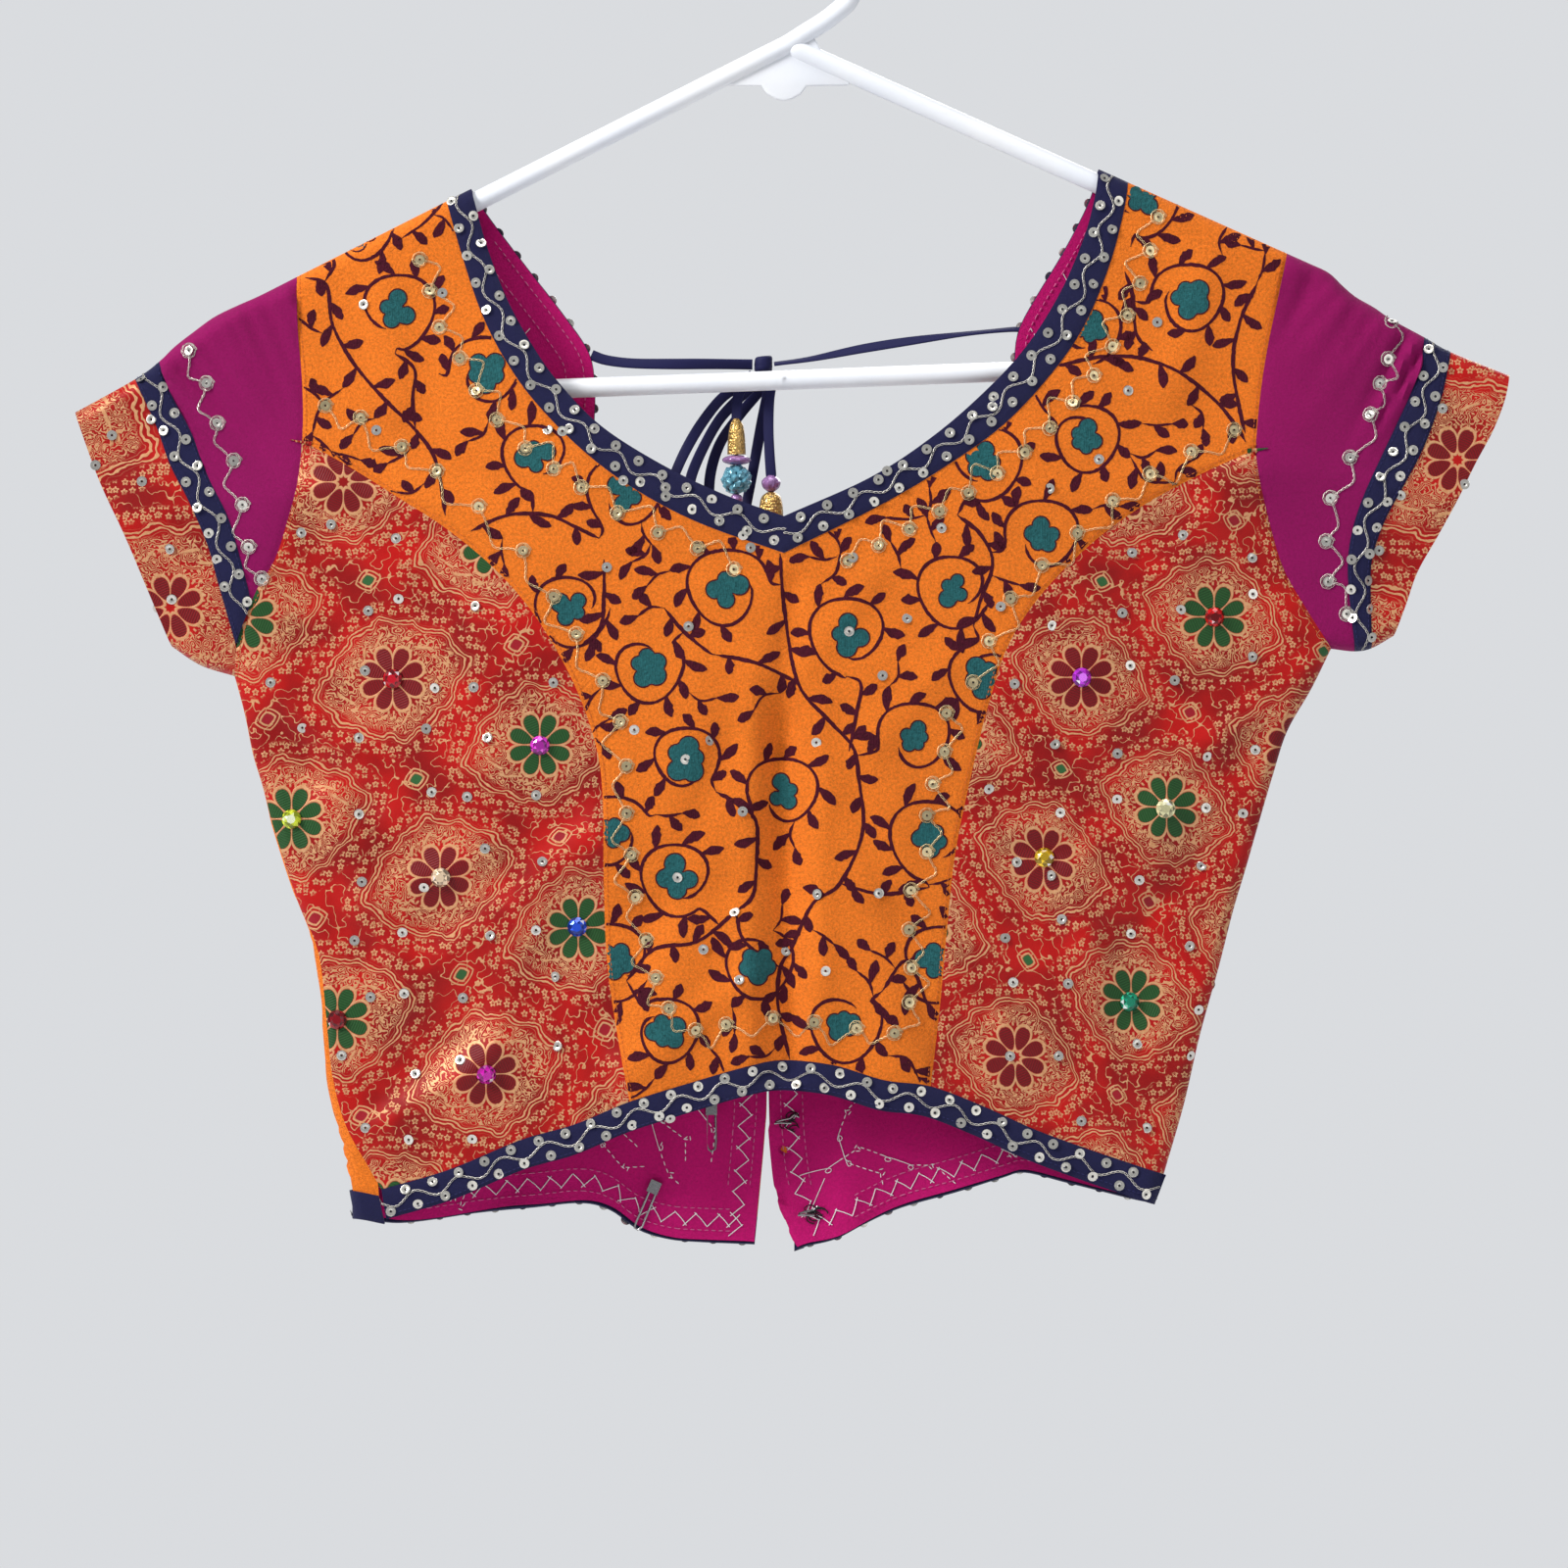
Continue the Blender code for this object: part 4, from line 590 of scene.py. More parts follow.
@dataclass
class Cloth:
    """One cut piece of cloth as a thin closed shell.

    The outer points come in blocks, each a grid with its flat cut. A pattern that is laid a little off
    the cut gives its own places, a grid for each block.
    """

    name: str
    blocks: list[tuple[Grid, Grid]] = field(default_factory=list)
    thickness: float = 0.7
    ring: bool = False
    inner_point: tuple[float, float, float] = (0.0, 0.0, -300.0)
    clamp: Face | None = None
    pattern: list[Grid] | None = None

    def build(self) -> bpy.types.Object:
        """The closed shell with its pattern's places as a UV map in metres."""
        work = bmesh.new()
        uv_layer = work.loops.layers.uv.new("cloth")
        for (points, _), laid in zip(self.blocks, self.pattern or [flat for _, flat in self.blocks]):
            rows, columns = points.shape[:2]
            verts = [work.verts.new(p) for p in points.reshape(-1, 3)]
            places = laid.reshape(-1, 2)
            for quad in grid_faces(rows, columns, self.ring):
                face = work.faces.new([verts[k] for k in quad])
                for loop, k in zip(face.loops, quad):
                    loop[uv_layer].uv = places[k] * MM
        bmesh.ops.remove_doubles(work, verts=work.verts, dist=2e-3)
        bmesh.ops.recalc_face_normals(work, faces=work.faces)
        away = sum((f.calc_center_median() - Vector(self.inner_point)).dot(f.normal) * f.calc_area()
                   for f in work.faces)
        if away < 0:
            bmesh.ops.reverse_faces(work, faces=work.faces)
        work.normal_update()
        outer = list(work.verts)
        within = {}
        for v in outer:
            p = v.co - self.thickness * v.normal
            if self.clamp is not None:
                p.y = self.clamp.value * max(self.clamp.value * p.y, 0.02)
            within[v] = p
        faces, borders = list(work.faces), [e for e in work.edges if e.is_boundary]
        low = {v: work.verts.new(p) for v, p in within.items()}
        for f in faces:
            back = work.faces.new([low[v] for v in reversed(f.verts)])
            for loop, source in zip(back.loops, reversed(list(f.loops))):
                loop[uv_layer].uv = source[uv_layer].uv
        for e in borders:
            loop = e.link_loops[0]
            a, b = loop.vert, loop.link_loop_next.vert
            side = work.faces.new([b, a, low[a], low[b]])
            for corner, source in zip(side.loops, (loop.link_loop_next, loop, loop, loop.link_loop_next)):
                corner[uv_layer].uv = source[uv_layer].uv
        for v in work.verts:
            v.co *= MM
        return from_bmesh(self.name, work)

    def flat_area(self) -> float:
        """The cut area in square metres, from the flat places."""
        total = 0.0
        for _, flat in self.blocks:
            rows, columns = flat.shape[:2]
            q = flat.reshape(-1, 2)[grid_faces(rows, columns)]
            a, b = q[:, 2] - q[:, 0], q[:, 3] - q[:, 1]
            total += float(np.abs(a[:, 0] * b[:, 1] - a[:, 1] * b[:, 0]).sum()) / 2
        return total * MM * MM


def dressed(piece: bpy.types.Object, material: bpy.types.Material) -> bpy.types.Object:
    """A piece with its finish."""
    piece.data.materials.append(material)
    return piece


def declare(piece: bpy.types.Object, slot: str, *nodes: str) -> bpy.types.Object:
    """Gives a piece its body, hides the nodes that it stands for and logs its faces."""
    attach(piece, "root")
    if nodes:
        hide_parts(*nodes)
    LOG.info("%s: %d faces", piece.name, len(piece.data.polygons))
    return piece


def sheet(cloth: Cloth, slot: str, material: bpy.types.Material, node: str) -> bpy.types.Object:
    """Builds, dresses and declares one cut piece of cloth.

    Args:
        cloth: the piece's points.
        slot: the piece's material slot; it is not used.
        material: its finish.
        node: the node that it replaces.

    Returns:
        The finished object.
    """
    piece = declare(dressed(cloth.build(), material), slot, node)
    round(cloth.flat_area(), 5)
    return piece


def bind(node: str, points: Grid, flat: Grid, looks: "Looks", inner_point: tuple[float, float, float],
         clamp: Face | None, rests_on: str) -> None:
    """Makes and declares one navy band.

    Args:
        node: the node that it replaces.
        points: its outer points in space.
        flat: its flat cut.
        looks: the finishes.
        inner_point: a place inside the garment, to tell in from out.
        clamp: the layer that its inside stays in, if it has one.
        rests_on: the piece that it is sewn to; it is not used.
    """
    band = Cloth(f"{node}_cloth", [(points, flat)], BAND_SHELL, inner_point=inner_point, clamp=clamp)
    sheet(band, "navy", looks.navy, node)


@dataclass(frozen=True)
class Lattice:
    """The repeat of the woven pattern: its start, its two axes, all in millimetres."""

    origin: tuple[float, float]
    axis_a: tuple[float, float]
    axis_h: tuple[float, float]

    def rows(self) -> tuple[np.ndarray, np.ndarray]:
        """The rows that turn a place into steps along the two axes."""
        inverse = np.linalg.inv(np.column_stack([self.axis_a, self.axis_h]))
        return inverse[0], inverse[1]


LATTICES = {
    ("front", Side.LEFT): Lattice((-152.0, -302.1), (18.6, -76.4), (96.9, 28.5)),
    ("front", Side.RIGHT): Lattice((114.0, -301.7), (-15.2, -74.5), (85.1, -26.6)),
    ("cuff", Side.LEFT): Lattice((-238.3, -274.4), (50.0, 100.0), (160.0, -52.0)),
    ("cuff", Side.RIGHT): Lattice((259.9, -217.4), (-50.0, 100.0), (160.0, 52.0)),
}


FINE = 7
NECK_STEPS = 11 * FINE
ARM_UPPER, ARM_LOWER = 4 * FINE, (4 * FINE, FINE, FINE)
BROCADE_STEPS, SIDE_STEPS = 17 * FINE, 11 * FINE


def armhole_edge(side: Side) -> tuple[Line, Line]:
    """The armhole from the shoulder down: the points above the brocade, and those below."""
    line, corner = LINES["armhole_" + side.value], LINES["brocade_" + side.value][0]
    upper = edge((stretch(line, None, corner), ARM_UPPER, True))
    cuts = UNDERARM_CORNERS[side.value]
    lower = edge((stretch(line, corner, cuts[0]), ARM_LOWER[0], False),
                 (stretch(line, cuts[0], cuts[1]), ARM_LOWER[1], False),
                 (stretch(line, cuts[1], None), ARM_LOWER[2], False))
    lower[0] = upper[-1]
    return upper, lower


def seam_edge(side: Side) -> Line:
    """The seam between the centre panel and a brocade side."""
    return edge((LINES["brocade_" + side.value], BROCADE_STEPS, False))


def neck_edge(side: Side) -> Line:
    """The front's neck edge under the band."""
    return edge((LINES["neck_outer_" + side.value], NECK_STEPS, True))


def side_edge(side: Side) -> Line:
    """The side seam of front and back below the underarm."""
    line = LINES["side_seam_left" if side is Side.LEFT else "fold_right"]
    return edge((stretch(line, None, LINES["hem_top"][0 if side is Side.LEFT else -1]), SIDE_STEPS, False))


def hem_stretch(x_start: float, x_end: float, steps: int) -> Line:
    """Points of the front hem's upper line between two places."""
    line = LINES["hem_top"]
    wanted = np.linspace(x_start, x_end, steps + 1)
    return np.column_stack([wanted, np.interp(wanted, line[:, 0], line[:, 1])])


def band_height(columns: int, rise: float = 0.75, floor: float = 0.25) -> np.ndarray:
    """The height of a turned-in band across its width."""
    t = np.linspace(-1, 1, columns)
    return floor + rise * (1 - np.abs(t) ** 5)


def unwarp(grid: Grid, side: Side) -> Grid:
    """The pattern's places on a brocade panel, eased so that its flowers meet the stones."""
    lattice = LATTICES[("front", side)]
    anchors = np.array([s[:2] for s in STONES if (s[0] < 0) == (side is Side.LEFT)]
                       + [(-171.0, -226.1) if side is Side.LEFT else (89.3, -448.0)])
    steps = (anchors - lattice.origin) @ np.array(lattice.rows()).T
    whole, half = np.round(steps), np.floor(steps) + 0.5
    nearer = np.abs(steps - whole).sum(axis=1) < np.abs(steps - half).sum(axis=1)
    steps = np.where(nearer[:, None], whole, half)
    nodes = lattice.origin + steps @ np.array([lattice.axis_a, lattice.axis_h])
    flat = grid.reshape(-1, 2)
    gaps = np.linalg.norm(flat[:, None] - anchors[None], axis=2)
    weights = np.exp(-((gaps / 34.0) ** 2)) + 1e-6
    shift = (weights[..., None] * (nodes - anchors)[None]).sum(axis=1) / weights.sum(axis=1, keepdims=True)
    return (flat + shift).reshape(grid.shape)


@dataclass
class FrontBody:
    """The front: printed centre, brocade sides, neck band and hem band."""

    columns: int = 52
    band_columns: int = 9
    inner_point: tuple[float, float, float] = (0.0, 60.0, -300.0)

    def lifted(self, grid: Grid, up: np.ndarray | float = 0.0) -> Grid:
        """A flat grid as points in space on the front."""
        flat = grid.reshape(-1, 2)
        up = np.broadcast_to(up, grid.shape[:2]).reshape(-1)
        return DRAPE.place(flat, Face.FRONT, up).reshape(*grid.shape[:2], 3)

    def centre_half(self, side: Side) -> Grid:
        """One half of the centre panel, flat."""
        seam, neck = seam_edge(side), neck_edge(side)
        outer = np.vstack([armhole_edge(side)[0], seam[1:]])
        inner = np.vstack([neck, edge((LINES["centre_front"], len(outer) - len(neck), False))[1:]])
        bottom = hem_stretch(seam[-1][0], inner[-1][0], 12)
        return patch(outer, inner, self.columns, stretch(LINES["top_" + side.value], outer[0], neck[0]),
                     bottom)

    def side_grid(self, side: Side) -> Grid:
        """One brocade side, flat."""
        outer = np.vstack([armhole_edge(side)[1], side_edge(side)[1:]])
        inner = seam_edge(side)
        bottom = hem_stretch(outer[-1][0], inner[-1][0], 12)
        return patch(outer, inner, self.columns, None, bottom, roll=True)

    def neck_grid(self, side: Side) -> Grid:
        """One half of the neck band, flat."""
        neck, inner = neck_edge(side), LINES["neck_inner_" + side.value]
        return patch(neck, edge((inner, NECK_STEPS, True)), self.band_columns - 1,
                     stretch(LINES["top_" + side.value], neck[0], inner[0]))

    def hem_grid(self) -> Grid:
        """The hem band, flat."""
        line = LINES["hem_top"]
        top = at(line, np.linspace(0, reach(line)[-1], 36 * FINE))
        low = np.column_stack([top[:, 0] + np.linspace(*HEM_SLANT, len(top)), top[:, 1] - HEM_BAND_WIDTH])
        return patch(top, low, self.band_columns - 1)

    def build(self, looks: "Looks") -> None:
        """Makes and declares every piece of the front."""
        layer = {"inner_point": self.inner_point, "clamp": Face.FRONT}
        high, centre_name = band_height(self.band_columns), "front_centre_cloth"
        centre = Cloth(centre_name, [(self.lifted(g), g) for g in map(self.centre_half, Side)],
                       PANEL_SHELL, **layer)
        sheet(centre, "orange_print", looks.crepe, "front_centre")
        for side in Side:
            node, grid, band = f"front_side_{side.value}", self.side_grid(side), self.neck_grid(side)
            panel = Cloth(f"{node}_cloth", [(self.lifted(grid), grid)], PANEL_SHELL,
                          pattern=[unwarp(grid, side)], **layer)
            sheet(panel, "brocade", looks.brocade[side], node)
            bind(f"neck_binding_{side.value}", self.lifted(band, high), band, looks, rests_on=centre_name,
                 **layer)
        hem = self.hem_grid()
        bind("hem_binding_front", self.lifted(hem, high), hem, looks, rests_on=centre_name, **layer)


@dataclass
class BackBody:
    """The back: two printed panels with their lining, neck bands and hem bands."""

    columns: int = 64
    band_columns: int = 8
    inner_point: tuple[float, float, float] = (0.0, -60.0, -300.0)

    def lines(self, side: Side) -> tuple[Line, Line, Line]:
        """The neck edge, the hem's upper line and the centre edge under the bands."""
        turn = 1 if side is Side.LEFT else -1
        neck = beside(LINES["back_edge_" + side.value], turn * BACK_NECK_WIDTH)
        top = LINES["top_" + side.value]
        neck = np.vstack([at(top, [nearest_run(top, neck[0])]), neck[2:]])
        hem = LINES["back_hem_" + side.value] + [0, BAND_WIDTH]
        centre = LINES["centre_back_" + side.value]
        cut = at(centre, [nearest_run(centre, hem[-1])])[0]
        hem[-1] = cut
        neck[-1] = at(centre, [BACK_NECK_WIDTH])[0]
        return neck, hem, stretch(centre, neck[-1], cut)

    def panel_grid(self, side: Side) -> Grid:
        """One back panel, flat. The left one runs on past the fold."""
        neck, hem, centre = self.lines(side)
        arm, side_line = np.vstack([armhole_edge(side)[0], armhole_edge(side)[1][1:]]), side_edge(side)
        if side is Side.LEFT:
            fold = LINES["fold_left"]
            side_line[:, 0] = 2 * np.interp(-side_line[:, 1], -fold[:, 1], fold[:, 0]) - side_line[:, 0]
        side_line[-1] = hem[0]
        outer = np.vstack([arm, side_line[1:]])
        inner = edge((neck, NECK_STEPS, True))
        inner = np.vstack([inner, edge((centre, len(outer) - len(inner), False))[1:]])
        return patch(outer, inner, self.columns, stretch(LINES["top_" + side.value], outer[0], neck[0]), hem,
                     roll=True)

    def lifted(self, grid: Grid, side: Side, up: np.ndarray | float = 0.0) -> Grid:
        """A flat grid as points in space on the back."""
        flat = grid.reshape(-1, 2)
        up = np.broadcast_to(up, grid.shape[:2]).reshape(-1)
        made = DRAPE.wrapped(flat, up) if side is Side.LEFT else DRAPE.place(flat, Face.BACK, up)
        return made.reshape(*grid.shape[:2], 3)

    def hem_grid(self, side: Side) -> Grid:
        """The hem band of one back, flat."""
        upper = self.panel_grid(side)[-1]
        upper = at(upper, np.linspace(0, reach(upper)[-1], 24 * FINE))
        low = upper - [0, BAND_WIDTH]
        low[-1] = LINES["back_hem_" + side.value][-1]
        return patch(upper, low, self.band_columns - 1)

    def neck_grid(self, side: Side) -> Grid:
        """The neck band of one back, flat."""
        neck = self.lines(side)[0]
        rim = LINES["back_edge_" + side.value]
        return patch(edge((neck, NECK_STEPS, True)), edge((rim, NECK_STEPS, True)), self.band_columns - 1,
                     stretch(LINES["top_" + side.value], neck[0], rim[0]))

    def lining_grid(self, side: Side) -> Grid:
        """The lining of one back, flat: the back's own shape, stopping short of side and shoulder."""
        panel = self.panel_grid(side)
        top_row = int(np.argmax(reach(panel[:, -1]) > LINING_CLEAR))
        rim_line = np.vstack([LINES["back_edge_" + side.value], LINES["centre_back_" + side.value][1:]])
        low = panel[-1] - [0, BAND_WIDTH - LINING_IN]
        rows = panel[top_row:, 8:]
        rows = np.vstack([rows, [(rows[-1] + low[8:]) / 2, low[8:]]])
        start, end = rows[:, 0], rows[:, -1].copy()
        first = nearest_run(rim_line, end[0])
        runs = np.linspace(first, reach(rim_line)[-1] - LINING_IN, len(end))
        turn = 1 if side is Side.LEFT else -1
        end = at(beside(rim_line, turn * RIM_IN), runs)
        grid = patch(start, end, self.columns - 8, None, np.vstack([low[8:-1], end[-1:]]))
        if side is Side.LEFT:
            fold = LINES["fold_left"]
            first, last = grid[:, :1, 0], grid[:, -1:, 0]
            limit = np.interp(-grid[:, :1, 1], -fold[:, 1], fold[:, 0]) + 1.0
            share = np.where(grid[:, :1, 1] < fold[0][1], np.minimum(1, (last - limit) / (last - first)), 1)
            grid[:, :, 0] = last - (last - grid[:, :, 0]) * share
        return grid

    def lining_surface(self, grid: Grid, deeper: float = 0.0) -> Grid:
        """The lining's points in space: the back's, moved in by its wall."""
        flat = grid.reshape(-1, 2)
        apart = BACK_WALL + 0.6 + deeper
        points = DRAPE.place(flat, Face.BACK) - apart * DRAPE.outward(flat, Face.BACK)
        points[:, 1] = np.maximum(points[:, 1], 0.4)
        return points.reshape(*grid.shape[:2], 3)

    def build(self, looks: "Looks") -> None:
        """Makes and declares every piece of the back."""
        high = band_height(self.band_columns)
        for side in Side:
            name, panel_name = side.value, f"back_{side.value}_cloth"
            clamp = None if side is Side.LEFT else Face.BACK
            grid, inner = self.panel_grid(side), self.lining_grid(side)
            panel = Cloth(panel_name, [(self.lifted(grid, side), grid)], PANEL_SHELL,
                          inner_point=self.inner_point, clamp=clamp)
            sheet(panel, "orange_print", looks.crepe, f"back_{name}")
            for part, band, layer in (("hem", self.hem_grid(side), clamp),
                                      ("neck", self.neck_grid(side), Face.BACK)):
                bind(f"back_{part}_{name}", self.lifted(band, side, high), band, looks, self.inner_point,
                     layer, panel_name)
            lining = Cloth(f"lining_{name}_cloth", [(self.lining_surface(inner), inner)], LINING_SHELL,
                           inner_point=self.inner_point, clamp=Face.BACK)
            sheet(lining, "lining", looks.lining, f"lining_{name}")


@dataclass
class Sleeve:
    """One sleeve: gathered cap, navy band and brocade cuff, flat with its fold on top."""

    side: Side
    gather_height: float = 2.9
    gather_reach: float = 62.0

    def even(self, line: Line, count: int) -> Line:
        """So many points on a line, close where it starts over the top fold and even after that."""
        length = float(reach(line)[-1])
        close = stops(length, count - ROLL_STEPS, True)[:ROLL_STEPS]
        return at(line, np.concatenate([close, np.linspace(ROLLS[-1], length, count - ROLL_STEPS + 1)[1:]]))

    def gathers(self, points: Line) -> np.ndarray:
        """The height of the cap's soft gathers, which start at the shoulder's fold."""
        line = LINES["top_" + self.side.value]
        far, run = near_line(points, line)
        pitch = 11.5 + 2.5 * np.sin(run / 17.0)
        wave = np.sin(2 * math.pi * run / pitch + 0.02 * far) + 0.4 * np.sin(2 * math.pi * run / 7.3 + 1.1)
        ease = np.clip(far / 5.0, 0, 1) * np.clip(1 - far / self.gather_reach, 0, 1) ** 1.3
        return self.gather_height * (0.6 * wave + 0.4) * ease

    def shells(self) -> dict[str, list[tuple[Grid, Grid]]]:
        """The blocks of cap, band and cuff, by piece."""
        name = self.side.value
        top, under = LINES["top_" + name], LINES["under_" + name]
        upper, lower = armhole_edge(self.side)
        armhole = np.vstack([upper, lower[1:]])
        open_end = self.side is Side.LEFT
        rows = len(armhole) if not open_end else len(armhole) - 2 * FINE
        arm = self.even(stretch(LINES["armhole_" + name], None, armhole[rows - 1]), rows)
        band_in, band_out, cuff = (self.even(LINES[f"{k}_{name}"], rows)
                                   for k in ("band_in", "band_out", "cuff_hem"))
        band_start, cuff_in = band_in, band_out
        if open_end:
            band_start = self.even(np.vstack([LINES["band_in_" + name], [armhole[rows - 1]]]), rows)
            cuff_in = self.even(np.vstack([LINES["band_out_" + name], LINES["armhole_" + name][-7:]]), rows)
        bottoms: list[Line | None] = [None, None]
        if not open_end:
            bottoms = [stretch(under, a[-1], b[-1]) for a, b in ((arm, band_in), (band_in, band_out))]
        cap = patch(arm, band_in, 26, stretch(top, arm[0], band_in[0]), bottoms[0])
        band = patch(band_start, band_out, 8, stretch(top, band_in[0], band_out[0]), bottoms[1])
        outer_cuff = patch(cuff_in, cuff, 20, stretch(top, band_out[0], cuff[0]),
                           stretch(under, cuff_in[-1], None))
        out = {}
        for piece, grid in (("cap", cap), ("band", band), ("cuff", outer_cuff)):
            flat = grid.reshape(-1, 2)
            up = np.zeros(len(flat))
            if piece == "cap":
                up = self.gathers(flat)
            if piece == "band":
                up = np.tile(band_height(grid.shape[1]), grid.shape[0]) * np.clip(
                    DRAPE.fold_distance(flat) / 1.5, 0, 1)
            front = DRAPE.place(flat, Face.FRONT, up).reshape(*grid.shape[:2], 3)
            back = DRAPE.place(flat, Face.BACK, up * 0.8).reshape(*grid.shape[:2], 3)
            stop = -1 if piece == "cuff" or not open_end else None
            out[piece] = [(np.vstack([front[::-1], back[1:stop]]), np.vstack([grid[::-1], grid[1:stop]]))]
        return out

    def build(self, looks: "Looks") -> None:
        name, open_end = self.side.value, self.side is Side.LEFT
        finishes = {"cap": looks.magenta, "band": looks.navy, "cuff": looks.cuff[self.side]}
        slots = {"cap": "magenta", "band": "navy", "cuff": "brocade"}
        for piece, blocks in self.shells().items():
            middle = blocks[0][0].mean(axis=(0, 1))
            thickness = SLEEVE_BAND_SHELL if piece == "band" else PANEL_SHELL
            shell = Cloth(f"sleeve_{piece}_{name}_cloth", blocks, thickness,
                          ring=piece == "cuff" or not open_end, inner_point=(middle[0], 0, middle[2]))
            sheet(shell, slots[piece], finishes[piece], f"sleeve_{piece}_{name}")


def sweep(points: np.ndarray, across: np.ndarray, profile: Line, widths: np.ndarray | None = None,
          closed_ends: bool = True) -> tuple[np.ndarray, list[list[int]]]:
    """A profile carried along a path.

    Args:
        points: the path in space.
        across: at each path point, the direction of the profile's first axis.
        profile: the closed profile. Columns: across, up.
        widths: a scale of the profile at each path point.
        closed_ends: whether both ends get a cap.

    Returns:
        The points and the faces.
    """
    way = np.gradient(points, axis=0)
    way /= np.maximum(np.linalg.norm(way, axis=1, keepdims=True), 1e-9)
    side = across - (across * way).sum(axis=1, keepdims=True) * way
    side /= np.maximum(np.linalg.norm(side, axis=1, keepdims=True), 1e-9)
    up = np.cross(way, side)
    scale = np.ones(len(points)) if widths is None else widths
    rings = (points[:, None] + scale[:, None, None]
             * (profile[None, :, :1] * side[:, None] + profile[None, :, 1:] * up[:, None]))
    count, size = len(points), len(profile)
    faces = []
    for i in range(count - 1):
        for k in range(size):
            n = (k + 1) % size
            faces.append([i * size + k, i * size + n, (i + 1) * size + n, (i + 1) * size + k])
    if closed_ends:
        faces.append(list(range(size))[::-1])
        faces.append([(count - 1) * size + k for k in range(size)])
    return rings.reshape(-1, 3), faces


def circle(radius: float, sides: int) -> Line:
    """A round profile."""
    return around((0, 0), radius, np.linspace(0, 2 * math.pi, sides, endpoint=False))


def around(middle: Sequence[float], radii: float | np.ndarray, turns: np.ndarray) -> Line:
    """Points round a middle, each with its own radius and angle."""
    ways = np.column_stack([np.cos(turns), np.sin(turns)])
    return middle + np.broadcast_to(radii, turns.shape)[:, None] * ways


def face_out(obj: bpy.types.Object) -> bpy.types.Object:
    """Merges an object's doubled points and turns its faces outwards."""
    work = bmesh.new()
    work.from_mesh(obj.data)
    bmesh.ops.remove_doubles(work, verts=work.verts, dist=1e-6)
    bmesh.ops.recalc_face_normals(work, faces=work.faces)
    work.to_mesh(obj.data)
    work.free()
    return obj


